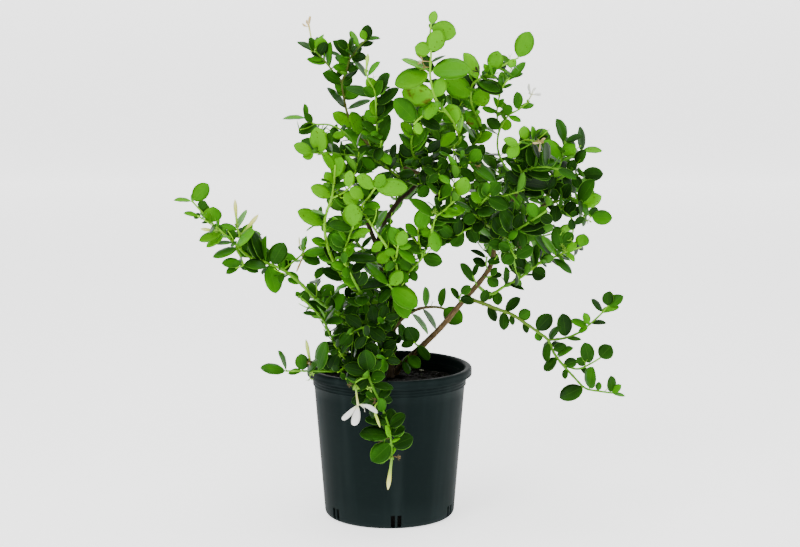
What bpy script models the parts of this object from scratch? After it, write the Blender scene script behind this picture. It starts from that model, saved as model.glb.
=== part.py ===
"""A potted natal plum: a thorny evergreen shrub with glossy round leaves in a black nursery pot.

Metres, +Z up. The origin is the centre of the pot's underside, on the floor, and the camera
that took the photograph looks along +Y. Shoots are traced in the photograph: a route point is
(pixel across, pixel down, depth in mm behind the pot's axis), and photo_point gives its place.
"""

import math
import random
from collections import Counter

import bmesh
import bpy
from mathutils import Matrix, Vector
from mathutils.bvhtree import BVHTree

# Pot
POT_HEIGHT = 0.230
POT_RIM_RADIUS = 0.125
POT_NECK_RADIUS = 0.1165
POT_BASE_RADIUS = 0.099
POT_WALL = 0.0022
POT_FLOOR = 0.003
RIM_DEPTH = 0.013
RIM_CORNER = (0.0022, 0.0045)
NECK_BAND = 0.013
NECK_STEP = 0.0016
FOOT_CORNER = (0.0018, 0.004)
POT_SIDES = 28
POT_CLEARANCE = 0.001
SHARP_ANGLE = math.radians(35)
DRAIN_COUNT = 6
DRAIN_FIRST_ANGLE = math.radians(6)
DRAIN_SLIT = (0.0048, 0.014, 0.024)
DRAIN_SLIT_OFFSET = 0.0040
DRAIN_SLIT_DROP = 0.002

# Soil and stems
SOIL_TOP = 0.205
SOIL_DOME = 0.004
SOIL_EDGE = (0.004, 0.003)
SOIL_WALL_GAP = 0.0009
ROOT_DEPTH = 0.045
FIT_GAP = 0.0003
ODD_WAY = Vector((0.31, 0.87, 0.38))
SHOOT_STEP = 0.030
WOOD_STEP = 0.028
WELD = 0.000003
FLAT_ANGLE = math.radians(0.4)

# Leaves
BLADE_THICKNESS = 0.0008
BLADE_CLEARANCE = 0.0006
BLADE_WIDTH_SHARE = 0.64
BLADE_FULLNESS = 0.6
BLADE_TIPWARD = 0.85
BLUNT_OUTLINE = ((0.40, 1.0), (0.94, 0.6))
TINY_OUTLINE = ((0.50, 1.0),)
ROOT_SINK_SHARE = 0.2
BLADE_FOLD = math.radians(13)
LARGE_LEAF = 0.046
SMALL_LEAF = 0.034
TINY_LEAF = 0.019
BARE_SHARE = 0.25
ROOT_SHARE = 0.3
SAME_ROOT = 0.005
STEM_CLEARANCE = 0.0005
STEM_END_MARGIN = 0.0006
TREE_MARGIN = 0.003
LEANS = (-0.15, 0.15, -0.35, 0.35, -0.55, 0.6, -0.75, -0.95, 0.9, -1.2)
LEAN_JITTER = 0.08
LEAN_SHRINK = 0.02
TRIES = 7
TRY_SHRINK = 0.05
TIP_SHRINK = 0.3
SPREAD = math.radians(58)
SPREAD_DRAW = (-0.2, 0.25)
TURN_DRAW = 0.4
LIGHT = Vector((0, -0.25, 0.75))
LIGHT_DRAW = 0.3
OUTWARD_PULL = 2.2
STEM_PULL = 0.6
SEED = 41

# Blooms
BLOOM_REACH = 0.06
BLOOM_LINE = (0.0, 0.35, 0.75, 1.0)
FLOWER_FLARE = (0.75, 0.8, 0.9, 1.1)
BUD_FLARE = (0.7, 0.75, 1.25, 0.35)
BLOOM_GAP = 0.0004
BLOOM_END_GAP = 0.0005
BLOOM_SIDE_ROOM = 0.0001
STEEPEST_BLOOM = 0.35
IN_LINE = 0.7
PETALS = 5
PETAL_WIDTH_SHARE = 0.42
PETAL_SINK = 0.0012
PETAL_SPACING = 0.0005
FADED_REACH = 0.020

# The photograph's camera
PHOTO_CENTRE = (400.0, 273.5)
FOCAL_PIXELS = 2094.0
CAMERA_PLACE = Vector((0.016, -3.12, 0.854))
CAMERA_TILT = math.radians(8.8)
PIXEL = 0.00152


def shoot(route, thick, traced=(), leaf=0, gap=0):
    """One shoot: its route, its thickness in mm at each end, and its leaves, either those that the
    photograph shows, as (root x, root y, tip x, tip y, width) in pixels, or pairs set by a rule,
    with their length and the gap between pairs in mm."""
    return {"route": route, "thick": thick, "traced": traced, "leaf": leaf, "gap": gap}


WOOD = {
    "trunk_centre": [
        shoot([(390, 384, 12), (391, 360, 8), (393, 335, 4), (389, 305, 4), (382, 272, 6), (377, 248, 8),
               (370, 229, 6), (363, 212, 2)], (12, 6)),
        shoot([(377, 248, 8), (383, 226, 16), (397, 203, 24), (409, 192, 30), (422, 178, 36),
               (432, 160, 38), (438, 142, 36)], (8, 5)),
    ],
    "trunk_right": [
        shoot([(392, 383, 36), (400, 366, 18), (420, 348, -6), (442, 326, -24), (462, 302, -32),
               (478, 284, -34), (490, 267, -32), (494, 252, -28), (495, 238, -20), (503, 218, -10)],
              (10, 7)),
        shoot([(503, 218, -10), (510, 206, -2), (517, 192, 4), (522, 174, 8)], (7, 4)),
        shoot([(495, 238, -20), (515, 226, 4), (535, 212, 22), (552, 198, 34)], (6, 4)),
    ],
}

SPRAYS = {
    "left_arm": ("trunk_centre", [
        shoot([(389, 318, 4), (362, 322, -10), (336, 312, -22), (314, 297, -30), (299, 282, -36),
               (283, 270, -40), (264, 262, -44), (248, 256, -46), (232, 241, -48), (213, 224, -50),
               (192, 201, -52)], (6, 2.4), [
            (192, 201, 208, 184, 15), (191, 202, 174, 200, 3), (199, 211, 205, 201, 10),
            (212, 223, 213, 207, 17), (222, 233, 199, 240, 8), (224, 235, 206, 246, 7),
            (233, 243, 215, 243, 3), (238, 248, 213, 257, 7), (266, 265, 247, 267, 10),
            (268, 264, 276, 293, 17), (272, 264, 284, 243, 17), (264, 261, 253, 231, 8),
            (256, 258, 263, 233, 8), (284, 270, 279, 254, 9), (301, 284, 287, 278, 7)]),
        shoot([(213, 224, -50), (205, 220, -56), (198, 216, -60)], (2.2, 1.6), [(198, 216, 184, 213, 4)]),
        shoot([(241, 250, -47), (240, 238, -43), (237, 227, -40)], (2.8, 2), [
            (237, 228, 224, 213, 10), (238, 227, 234, 207, 9), (239, 229, 246, 206, 6),
            (240, 238, 262, 232, 9), (240, 240, 252, 222, 9)]),
        shoot([(236, 246, -47), (240, 256, -54), (243, 265, -60), (236, 268, -64)], (2.4, 1.6), [
            (241, 264, 222, 263, 9), (240, 267, 226, 273, 6), (244, 266, 258, 272, 8)]),
        shoot([(283, 270, -40), (293, 262, -34), (302, 254, -28), (305, 246, -26)], (2.8, 1.8), [
            (303, 254, 327, 250, 8), (303, 251, 303, 238, 3), (305, 248, 306, 236, 3),
            (302, 256, 320, 263, 10), (297, 259, 280, 255, 7)]),
    ]),
    "left_outer": ("trunk_centre", [
        shoot([(390, 346, 6), (370, 355, -30), (352, 358, -66), (340, 351, -84), (331, 336, -96),
               (323, 320, -106), (312, 308, -114), (299, 296, -120)], (5, 2.2), [
            (318, 314, 303, 313, 4), (324, 322, 343, 321, 7), (331, 336, 325, 331, 8),
            (300, 297, 296, 292, 5), (308, 304, 303, 291, 8), (337, 346, 352, 338, 12)]),
        shoot([(352, 358, -66), (346, 366, -84), (338, 372, -98)], (3, 2), leaf=28, gap=22),
    ]),
    "left_inner": ("trunk_centre", [
        shoot([(390, 338, 5), (370, 334, 16), (350, 327, 26), (335, 316, 34), (322, 303, 42),
               (316, 292, 48)], (5, 2.4), [
            (331, 310, 308, 302, 10), (318, 297, 334, 286, 13), (334, 314, 343, 294, 11),
            (318, 296, 307, 284, 8), (345, 323, 356, 306, 16)]),
        shoot([(350, 327, 26), (352, 310, 50), (356, 297, 66)], (3, 2), [
            (356, 300, 363, 280, 12), (355, 300, 346, 288, 11)]),
        shoot([(370, 334, 16), (366, 318, 28), (370, 303, 36)], (3, 2), [
            (369, 306, 381, 294, 9), (367, 312, 358, 326, 12)]),
    ]),
    "low_left": ("trunk_centre", [
        shoot([(391, 362, 8), (374, 364, -16), (356, 367, -44), (338, 371, -72), (320, 371, -88),
               (300, 371, -98), (286, 371, -104)], (5, 2.2), [
            (286, 371, 261, 367, 9), (284, 371, 278, 351, 3), (303, 370, 301, 354, 13),
            (318, 369, 326, 342, 11), (302, 372, 288, 373, 6), (330, 370, 338, 354, 14),
            (307, 370, 320, 361, 7)]),
    ]),
    "front_trailing": ("trunk_centre", [
        shoot([(391, 353, 7), (384, 352, -30), (374, 358, -80), (368, 369, -118), (371, 383, -141),
               (380, 403, -145), (388, 424, -146), (391, 440, -146), (392, 456, -145)], (5, 2), [
            (366, 373, 365, 350, 17), (363, 374, 345, 366, 12), (370, 371, 381, 361, 11),
            (384, 412, 380, 398, 9), (386, 404, 402, 407, 9), (389, 437, 391, 408, 15),
            (390, 436, 404, 426, 12), (386, 437, 360, 433, 13), (391, 443, 372, 461, 19),
            (392, 446, 413, 437, 16), (388, 437, 385, 425, 5), (391, 442, 400, 438, 3),
            (380, 402, 371, 418, 8)]),
        shoot([(370, 377, -132), (361, 379, -140), (355, 383, -143)], (2.4, 1.8)),
    ]),
    "front_mass": ("trunk_centre", [
        shoot([(392, 340, 5), (384, 334, -36), (374, 326, -66), (362, 328, -90), (350, 334, -104)],
              (4, 2.2), [
            (374, 327, 372, 305, 13), (362, 328, 346, 316, 12), (352, 333, 341, 345, 13),
            (368, 327, 385, 340, 13)]),
        shoot([(384, 334, -36), (384, 346, -64), (378, 358, -84)], (3, 2), [
            (383, 350, 396, 342, 12), (380, 355, 366, 345, 12)]),
    ]),
    "left_bright": ("trunk_centre", [
        shoot([(388, 306, 4), (366, 298, -14), (348, 283, -30), (335, 264, -44), (327, 244, -56),
               (324.5, 225, -66), (327, 211, -72), (332, 197, -76), (334, 182, -78), (335, 166, -80)],
              (5, 2.4), [
            (325, 225, 298, 211, 12), (326, 225, 346, 219, 10), (332, 197, 311, 187, 12),
            (335, 178, 341, 157, 14), (334, 170, 322, 153, 9), (325, 247, 312, 239, 8),
            (334, 184, 325, 172, 10), (328, 247, 337, 230, 11)]),
        shoot([(332, 198, -76), (341, 194, -84), (349, 188, -92), (352, 184, -95)], (2.6, 1.8), [
            (349, 189, 350, 171, 11), (350, 188, 363, 198, 14), (344, 193, 357, 204, 14)]),
    ]),
    "left_front": ("trunk_centre", [
        shoot([(391, 325, 3), (376, 312, -40), (361, 293, -76), (350, 273, -98), (344, 257, -110),
               (348, 240, -120), (353, 227, -126)], (5, 2.2), [
            (353, 227, 352, 204, 18), (347, 243, 333, 217, 5), (349, 238, 370, 231, 7),
            (345, 250, 331, 240, 12), (344, 258, 354, 244, 9), (348, 268, 332, 264, 9),
            (350, 273, 366, 262, 8), (357, 287, 342, 277, 9)]),
    ]),
    "centre_low": ("trunk_centre", [
        shoot([(390, 314, 4), (397, 302, -32), (394, 292, -62), (389, 285, -76)], (4, 2.4), [
            (387, 284, 402, 272, 13), (391, 287, 417, 306, 19), (387, 286, 352, 287, 9),
            (388, 284, 366, 263, 7), (395, 293, 408, 318, 16), (392, 289, 378, 302, 9)]),
    ]),
    "centre_bright": ("trunk_centre", [
        shoot([(386, 292, 5), (396, 278, -30), (395, 262, -54), (386, 246, -70), (376, 231, -80),
               (367, 218, -88), (362, 207, -94), (368, 198, -98), (375, 188, -102)], (4.4, 2.2), [
            (363, 206, 380, 206, 9), (375, 188, 357, 176, 12), (376, 188, 384, 175, 11),
            (376, 189, 407, 187, 17), (376, 231, 387, 210, 5), (383, 241, 372, 251, 9),
            (390, 252, 377, 262, 12), (396, 272, 408, 282, 12)]),
        shoot([(395, 262, -54), (397, 252, -70), (398, 246, -78)], (2.6, 2), [
            (398, 246, 391, 227, 14), (399, 245, 405, 231, 12), (399, 247, 411, 246, 7),
            (398, 249, 415, 263, 8), (397, 252, 384, 252, 8)]),
    ]),
    "centre_right": ("trunk_centre", [
        shoot([(392, 300, 4), (402, 282, -20), (412, 269, -38), (422, 257, -50), (419, 242, -62),
               (418, 228, -68)], (4.4, 2.2), [
            (418, 230, 426, 208, 16), (423, 257, 442, 262, 14), (419, 236, 406, 224, 9),
            (420, 254, 407, 241, 12), (411, 270, 416, 281, 8), (410, 270, 400, 259, 13)]),
        shoot([(422, 257, -50), (430, 241, -64), (433, 228, -74), (436, 217, -82), (447, 208, -88),
               (459, 196, -94)], (2.8, 1.8), [
            (459, 196, 466, 178, 15), (431, 238, 421, 226, 10), (435, 216, 411, 199, 9),
            (439, 215, 465, 209, 11), (433, 230, 437, 252, 13)]),
    ]),
    "arc": ("trunk_centre", [
        shoot([(393, 331, 4), (400, 321, 10), (410, 313, 18), (422, 308, 24), (436, 307, 28),
               (445, 309, 30)], (5, 2.6), [
            (426, 307, 425, 287, 6), (441, 307, 444, 288, 7), (422, 308, 436, 329, 4),
            (411, 313, 428, 334, 4), (443, 308, 462, 322, 18), (399, 322, 405, 341, 8)]),
    ]),
    "twig_soil": ("trunk_right", [
        shoot([(401, 366, 17), (404, 360, 4), (408, 356, -2)], (2.8, 2), [
            (408, 356, 421, 368, 13), (404, 361, 409, 375, 7)]),
    ]),
    "twig_low": ("trunk_right", [
        shoot([(421, 347, -7), (417, 345, -20), (414, 342, -28)], (2.8, 2), [
            (416, 344, 407, 327, 17), (417, 346, 417, 364, 11), (414, 342, 401, 346, 8)]),
    ]),
    "twig_middle": ("trunk_right", [
        shoot([(461, 303, -31), (459, 299, -42), (461, 294, -48)], (2.8, 2), [
            (459, 300, 451, 288, 5), (461, 294, 470, 286, 9), (460, 297, 474, 303, 9)]),
    ]),
    "twig_high": ("trunk_right", [
        shoot([(477, 286, -34), (475, 281, -46), (473, 276, -50)], (2.8, 2), [
            (475, 283, 460, 264, 7), (473, 276, 479, 264, 5)]),
    ]),
    "twig_front": ("trunk_right", [
        shoot([(484, 277, -34), (488, 277, -46), (491, 276, -50)], (2.8, 2), [
            (490, 276, 502, 275, 6), (487, 278, 498, 286, 11), (491, 276, 497, 268, 6)]),
    ]),
    "twig_top": ("trunk_right", [
        shoot([(488, 271, -33), (486, 264, -42), (487, 257, -46)], (2.8, 2), [
            (487, 266, 473, 259, 8), (487, 258, 471, 250, 4), (488, 262, 500, 262, 7)]),
    ]),
    "right_arm": ("trunk_right", [
        shoot([(466, 298, -33), (482, 303, -52), (497, 309, -62), (511, 314, -70), (525, 323, -78),
               (538, 332, -84), (548, 340, -90), (554, 353, -94), (562, 364, -98), (573, 376, -102),
               (585, 388, -106), (598, 391, -110), (612, 393, -114)], (4.4, 1.8), [
            (505, 311, 520, 298, 9), (503, 312, 504, 330, 10), (511, 314, 513, 325, 5),
            (518, 319, 530, 311, 11), (523, 323, 527, 333, 6), (536, 331, 551, 315, 15),
            (537, 331, 540, 341, 8), (549, 342, 546, 362, 8), (553, 350, 566, 345, 9),
            (556, 356, 573, 348, 6), (556, 357, 546, 371, 9), (566, 368, 565, 379, 6),
            (563, 365, 577, 361, 10), (583, 388, 560, 398, 15), (589, 389, 592, 367, 11),
            (598, 391, 599, 382, 6), (611, 392, 611, 376, 8), (612, 392, 621, 385, 7),
            (612, 393, 625, 396, 3), (488, 305, 496, 321, 8), (482, 303, 487, 290, 9)]),
        shoot([(548, 340, -90), (565, 338, -84), (580, 332, -78), (590, 324, -72), (600, 315, -68),
               (608, 306, -64)], (2.8, 1.6), [
            (566, 338, 563, 314, 14), (549, 339, 560, 326, 6), (566, 338, 581, 339, 4),
            (588, 326, 571, 321, 7), (589, 325, 584, 313, 7), (591, 324, 606, 323, 4),
            (603, 312, 592, 299, 5), (604, 310, 619, 307, 7), (608, 306, 608, 292, 11),
            (608, 306, 623, 296, 10)]),
        shoot([(562, 364, -98), (577, 369, -102), (590, 364, -106), (600, 358, -108)], (2.4, 1.6), [
            (590, 364, 585, 343, 13), (600, 358, 611, 346, 15), (580, 369, 590, 374, 6),
            (586, 366, 577, 358, 8)]),
    ]),
    "right_shelf": ("trunk_right", [
        shoot([(477, 285, -34), (490, 294, -14), (505, 286, 2), (520, 278, 12), (531, 270, 20),
               (540, 263, 26), (552, 258, 30), (566, 252, 32), (581, 247, 34)], (4, 1.8), [
            (506, 285, 506, 267, 5), (508, 285, 524, 290, 3), (497, 291, 498, 305, 10),
            (493, 293, 485, 298, 9), (523, 276, 512, 251, 14), (532, 270, 545, 277, 14),
            (552, 258, 534, 234, 7), (557, 256, 542, 237, 6), (553, 259, 572, 273, 6),
            (564, 252, 556, 227, 17), (581, 247, 584, 234, 14), (566, 252, 576, 243, 9)]),
    ]),
    "right_front": ("trunk_right", [
        shoot([(494, 246, -24), (506, 236, -52), (520, 228, -76), (536, 218, -94), (546, 211, -104)],
              (4, 2), [
            (526, 224, 546, 208, 12), (514, 231, 498, 232, 10), (520, 228, 545, 231, 12),
            (508, 235, 512, 215, 15), (517, 230, 522, 248, 15), (536, 218, 530, 203, 12),
            (540, 215, 552, 222, 11)]),
        shoot([(506, 236, -52), (510, 248, -66), (516, 258, -76)], (2.6, 1.8), [
            (515, 256, 533, 247, 14), (514, 256, 503, 262, 12), (511, 250, 499, 244, 11)]),
    ]),
    "right_left": ("trunk_right", [
        shoot([(497, 233, -18), (486, 224, -40), (474, 213, -60), (482, 203, -76), (490, 194, -86)],
              (3.6, 2), [
            (482, 203, 471, 193, 9), (474, 212, 495, 211, 10), (485, 200, 480, 184, 9),
            (489, 196, 499, 182, 14), (476, 214, 464, 222, 12)]),
        shoot([(486, 224, -40), (470, 228, -52), (456, 236, -60), (448, 240, -64)], (2.6, 1.8), [
            (456, 236, 459, 219, 12), (452, 238, 440, 226, 13), (462, 232, 452, 246, 14),
            (470, 228, 476, 243, 12), (448, 240, 436, 242, 11)]),
    ]),
    "right_crown": ("trunk_right", [
        shoot([(516, 194, 3), (519, 184, -20), (522, 173, -38), (532, 168, -50), (546, 167, -58),
               (558, 169, -62)], (3.4, 2), [
            (530, 168, 556, 162, 10), (525, 171, 550, 176, 10), (557, 169, 576, 179, 7),
            (522, 173, 505, 157, 7), (522, 173, 523, 142, 12), (532, 168, 529, 146, 9),
            (519, 184, 506, 172, 12), (520, 182, 548, 187, 12), (546, 167, 541, 154, 11)]),
        shoot([(522, 173, -38), (516, 158, -52), (517, 146, -62), (525, 140, -68), (534, 141, -72)],
              (2.6, 1.8), [
            (525, 140, 524, 126, 11), (518, 143, 508, 157, 12), (533, 141, 551, 129, 7),
            (534, 141, 532, 126, 4), (518, 143, 504, 139, 8)]),
    ]),
    "right_top": ("trunk_right", [
        shoot([(545, 204, 29), (553, 182, 36), (561, 162, 40), (565, 142, 42)], (3.6, 2), [
            (565, 140, 557, 119, 9), (566, 140, 582, 135, 6), (561, 160, 545, 141, 13),
            (563, 155, 575, 145, 14), (556, 176, 547, 190, 10), (552, 184, 565, 192, 12)]),
        shoot([(553, 182, 36), (568, 174, 44), (578, 162, 50), (582, 150, 54)], (2.6, 1.8), [
            (580, 152, 580, 126, 7), (583, 149, 602, 150, 5), (576, 165, 585, 150, 10),
            (570, 173, 574, 160, 10)]),
        shoot([(568, 174, 44), (576, 175, 38), (582, 174, 36)], (2.4, 1.8), [
            (581, 174, 603, 174, 14), (574, 175, 580, 188, 10)]),
    ]),
    "right_side": ("trunk_right", [
        shoot([(540, 208, 25), (556, 202, 14), (570, 197, 8), (580, 205, 2), (586, 212, -2),
               (591, 217, -4)], (3.4, 1.8), [
            (591, 217, 612, 218, 15), (583, 204, 601, 196, 14), (580, 203, 594, 180, 12),
            (576, 200, 566, 215, 12), (562, 199, 570, 184, 11)]),
        shoot([(556, 202, 14), (564, 212, 0), (572, 219, -10), (573, 232, -16)], (2.4, 1.6), [
            (557, 204, 555, 222, 12), (573, 231, 571, 219, 8), (569, 217, 577, 212, 6),
            (573, 232, 564, 243, 11)]),
    ]),
    "top_left": ("trunk_centre", [
        shoot([(424, 175, 36), (405, 168, 42), (388, 160, 46), (372, 148, 50), (358, 132, 52),
               (348, 115, 52), (344, 98, 50), (342, 83, 48), (347, 70, 46), (350, 59, 44), (359, 47, 40),
               (366, 40, 36)], (5.6, 2.2), [
            (366, 41, 368, 25, 11), (367, 41, 380, 38, 3), (361, 46, 373, 43, 5), (359, 48, 350, 32, 5),
            (350, 59, 333, 41, 9), (351, 59, 366, 56, 9), (348, 69, 342, 56, 12), (349, 71, 333, 66, 7),
            (349, 72, 358, 67, 6), (343, 84, 323, 73, 10), (343, 85, 352, 78, 9), (344, 90, 335, 85, 7),
            (346, 109, 327, 88, 5), (347, 109, 370, 100, 4), (345, 97, 360, 90, 12),
            (355, 128, 333, 113, 12), (362, 136, 351, 112, 13), (375, 150, 342, 129, 13)]),
        shoot([(342, 83, 48), (335, 74, 52), (328, 65, 56), (320, 56, 60), (313, 49, 62)], (2.8, 1.8), [
            (326, 64, 307, 59, 6), (328, 65, 331, 42, 5), (318, 54, 323, 38, 15),
            (313, 49, 297, 40, 5), (314, 49, 321, 34, 5), (313, 49, 308, 37, 9)]),
        shoot([(350, 59, 44), (349, 50, 36), (348, 44, 32)], (2.2, 1.6), [
            (348, 50, 338, 40, 8), (349, 49, 354, 37, 5)]),
    ]),
    "top_left_low": ("trunk_centre", [
        shoot([(417, 185, 33), (398, 176, -4), (380, 163, -30), (362, 157, -46), (345, 155, -56),
               (330, 153, -64), (313, 153, -70)], (4.4, 1.8), [
            (323, 153, 316, 128, 18), (313, 153, 294, 145, 11), (314, 153, 303, 157, 9),
            (332, 154, 340, 166, 12), (361, 157, 374, 168, 11), (348, 155, 341, 145, 8),
            (380, 163, 358, 172, 11), (398, 176, 414, 173, 10)]),
        shoot([(380, 163, -30), (379, 146, -40), (377, 130, -46), (376, 110, -50), (375, 93, -52),
               (369, 81, -54), (366, 73, -54)], (3.4, 1.6), [
            (376, 94, 368, 77, 10), (375, 117, 374, 99, 12), (366, 74, 356, 62, 3),
            (367, 73, 380, 62, 4), (379, 146, 388, 115, 13), (377, 125, 366, 110, 12)]),
        shoot([(362, 157, -46), (346, 134, -36), (330, 125, -30), (314, 124, -26), (306, 118, -24)],
              (2.6, 1.6), [
            (306, 118, 283, 119, 3), (306, 118, 305, 104, 5), (312, 124, 304, 113, 8),
            (318, 125, 299, 133, 10), (332, 126, 338, 143, 10), (346, 134, 333, 136, 8)]),
    ]),
    "top_centre": ("trunk_centre", [
        shoot([(435, 152, 37), (450, 148, 14), (460, 140, -6), (455, 126, -20), (446, 112, -30),
               (437, 101, -36), (432, 88, -38), (430, 72, -38), (431, 55, -36), (430, 38, -34),
               (431, 24, -32)], (4.6, 2), [
            (431, 24, 435, 11, 9), (431, 27, 456, 34, 19), (431, 52, 440, 31, 18),
            (430, 52, 415, 47, 15), (429, 73, 395, 84, 19), (431, 71, 470, 69, 20),
            (435, 98, 402, 92, 22), (435, 98, 443, 78, 13), (438, 102, 419, 119, 15),
            (455, 126, 448, 104, 19), (458, 132, 441, 146, 10), (459, 136, 462, 115, 4)]),
        shoot([(446, 112, -30), (432, 110, -44), (420, 118, -54), (414, 124, -60)], (2.4, 1.8), [
            (416, 122, 395, 99, 18), (416, 122, 420, 134, 10)]),
    ]),
    "top_right": ("trunk_centre", [
        shoot([(438, 143, 36), (458, 154, 46), (474, 144, 42), (481, 130, 36), (475, 114, 30),
               (471, 99, 26), (473, 84, 22), (486, 75, 20), (502, 66, 18), (518, 58, 18)], (4.4, 2), [
            (518, 58, 530, 32, 18), (492, 71, 498, 51, 16), (472, 97, 446, 79, 21),
            (472, 102, 489, 92, 19), (474, 82, 503, 92, 13), (478, 79, 464, 53, 11),
            (488, 73, 484, 64, 5), (481, 130, 466, 112, 14), (474, 143, 492, 133, 10),
            (470, 147, 451, 141, 10), (516, 59, 509, 67, 8)]),
    ]),
    "top_far_right": ("trunk_right", [
        shoot([(520, 182, 6), (506, 168, 40), (498, 150, 54), (499, 132, 60), (508, 116, 64),
               (518, 110, 66), (527, 103, 68)], (3.6, 1.8), [
            (518, 110, 517, 92, 9), (520, 108, 534, 104, 6), (512, 113, 503, 107, 11),
            (507, 118, 505, 131, 12), (508, 116, 521, 121, 5), (500, 128, 487, 119, 11)]),
        shoot([(499, 132, 60), (497, 112, 66), (500, 94, 70), (506, 82, 74), (513, 76, 76)], (2.4, 1.6), [
            (497, 108, 494, 97, 4), (498, 108, 504, 99, 5), (497, 112, 482, 108, 5),
            (508, 80, 525, 62, 7), (511, 78, 523, 73, 5), (502, 88, 512, 84, 3),
            (501, 90, 500, 75, 5)]),
    ]),
    "crown_middle": ("trunk_centre", [
        shoot([(430, 166, 37), (423, 162, 12), (414, 156, -8), (411, 144, -22), (414, 130, -32)], (4, 2), [
            (413, 157, 400, 145, 14), (412, 150, 399, 133, 6), (411, 138, 401, 123, 8),
            (413, 146, 424, 129, 11)]),
        shoot([(423, 162, 12), (436, 170, -14), (452, 171, -34), (470, 162, -46)], (3.2, 2), [
            (470, 162, 480, 150, 12), (459, 170, 474, 181, 10), (446, 172, 440, 158, 10)]),
        shoot([(423, 162, 12), (424, 176, -16), (432, 190, -40), (442, 198, -52)], (3.2, 2), [
            (442, 198, 450, 184, 12), (430, 186, 418, 196, 11)]),
    ]),
    "back_left": ("trunk_centre", [
        shoot([(380, 264, 7), (366, 252, 56), (352, 236, 100), (342, 214, 132), (338, 190, 154)],
              (5, 2.2), leaf=33, gap=36),
        shoot([(352, 236, 100), (334, 232, 112), (318, 222, 122)], (3, 2), leaf=33, gap=30),
        shoot([(352, 236, 100), (366, 214, 130), (372, 196, 150)], (3, 2), leaf=33, gap=30),
    ]),
    "back_low": ("trunk_centre", [
        shoot([(392, 322, 4), (382, 310, 54), (368, 302, 98), (352, 300, 140)], (5, 2.2), leaf=33, gap=36),
        shoot([(382, 310, 54), (392, 290, 92), (396, 272, 120)], (3, 2), leaf=33, gap=30),
    ]),
    "back_centre": ("trunk_centre", [
        shoot([(385, 222, 18), (400, 204, 68), (410, 182, 110), (414, 160, 142), (412, 138, 164)],
              (5, 2.2), leaf=33, gap=36),
        shoot([(410, 182, 110), (392, 168, 136), (380, 150, 158)], (3, 2), leaf=33, gap=30),
        shoot([(410, 182, 110), (430, 178, 140), (444, 168, 164)], (3, 2), leaf=33, gap=30),
    ]),
    "back_top": ("trunk_centre", [
        shoot([(433, 158, 38), (442, 144, 80), (452, 124, 110), (456, 104, 132)], (4, 2), leaf=33, gap=36),
        shoot([(442, 144, 80), (424, 124, 104), (412, 106, 120)], (3, 2), leaf=33, gap=30),
    ]),
    "back_right": ("trunk_right", [
        shoot([(512, 228, 0), (512, 212, 52), (522, 194, 100), (532, 174, 134), (536, 152, 154)],
              (5, 2.2), leaf=33, gap=36),
        shoot([(522, 194, 100), (504, 178, 130), (492, 166, 150)], (3, 2), leaf=33, gap=30),
        shoot([(522, 194, 100), (546, 186, 126), (564, 176, 142)], (3, 2), leaf=33, gap=30),
    ]),
    "back_right_low": ("trunk_right", [
        shoot([(495, 240, -21), (494, 240, 34), (504, 236, 84), (516, 230, 124), (530, 226, 156)],
              (5, 2.2), leaf=33, gap=36),
        shoot([(504, 236, 84), (486, 224, 112), (470, 214, 136)], (3, 2), leaf=33, gap=30),
        shoot([(516, 230, 124), (540, 236, 138), (556, 232, 150)], (3, 2), leaf=33, gap=30),
    ]),
}

# Blooms: the spray, the root and tip in the photograph, how far the tip leans back in mm, the tube's
# thickness in mm, and the petals' reach in mm and opening, both 0 for a bud.
BLOOMS = {
    "flower_front": ("front_trailing", (356, 386), (358, 405), -16, 2.8, 28, 58),
    "bud_front": ("front_trailing", (392, 460), (388, 489), -4, 4.4, 0, 0),
    "bud_left_upright": ("left_arm", (231, 223), (235, 200), 0, 2.6, 0, 0),
    "bud_left_long": ("left_arm", (243, 236), (258, 215), -6, 2.8, 0, 0),
    "bud_left_low": ("left_arm", (221, 231), (201, 229), -4, 2.8, 0, 0),
    "bud_top": ("top_left_low", (366, 70), (368, 54), 0, 2.8, 0, 0),
    "bud_low_left": ("low_left", (312, 366), (306, 340), -4, 2.6, 0, 0),
    "flower_faded_left": ("top_left", (310, 38), (309, 26), 0, 1.8, 12, 30),
    "flower_faded_right": ("right_crown", (536, 142), (541, 143), -4, 2.0, 11, 50),
    "flower_pale_right": ("top_far_right", (529, 100), (532, 94), -3, 1.8, 13, 60),
}


def photo_point(across, down, depth_mm):
    """Where the camera's ray through a pixel of the photograph meets the upright plane at this depth."""
    sideways = (across - PHOTO_CENTRE[0]) / FOCAL_PIXELS
    upward = (PHOTO_CENTRE[1] - down) / FOCAL_PIXELS
    ray = Vector((
        sideways,
        math.cos(CAMERA_TILT) + upward * math.sin(CAMERA_TILT),
        upward * math.cos(CAMERA_TILT) - math.sin(CAMERA_TILT),
    ))
    return CAMERA_PLACE + ray * ((depth_mm / 1000 - CAMERA_PLACE.y) / ray.y)


def smooth_line(points, step):
    """A Catmull-Rom curve through the points, with a point about every step."""
    line = []
    for i in range(len(points) - 1):
        before = points[max(i - 1, 0)]
        a = points[i]
        b = points[i + 1]
        after = points[min(i + 2, len(points) - 1)]
        count = max(1, round((b - a).length / step))
        for k in range(count):
            t = k / count
            line.append(0.5 * (2 * a + (b - before) * t + (2 * before - 5 * a + 4 * b - after) * t ** 2
                               + (3 * a - before - 3 * b + after) * t ** 3))
    line.append(points[-1])
    return line


def line_of(shoot_row, step):
    return smooth_line([photo_point(*point) for point in shoot_row["route"]], step)


def lengths_along(line):
    """How far along the line each of its points is."""
    total = [0.0]
    for a, b in zip(line, line[1:]):
        total.append(total[-1] + (b - a).length)
    return total


def along(line, lengths, distance):
    """The point and the direction at a distance along the line."""
    last = len(line) - 1
    i = next((k for k in range(1, last) if lengths[k] >= distance), last)
    direction = (line[i] - line[i - 1]).normalized()
    return line[i - 1] + direction * (distance - lengths[i - 1]), direction


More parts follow.
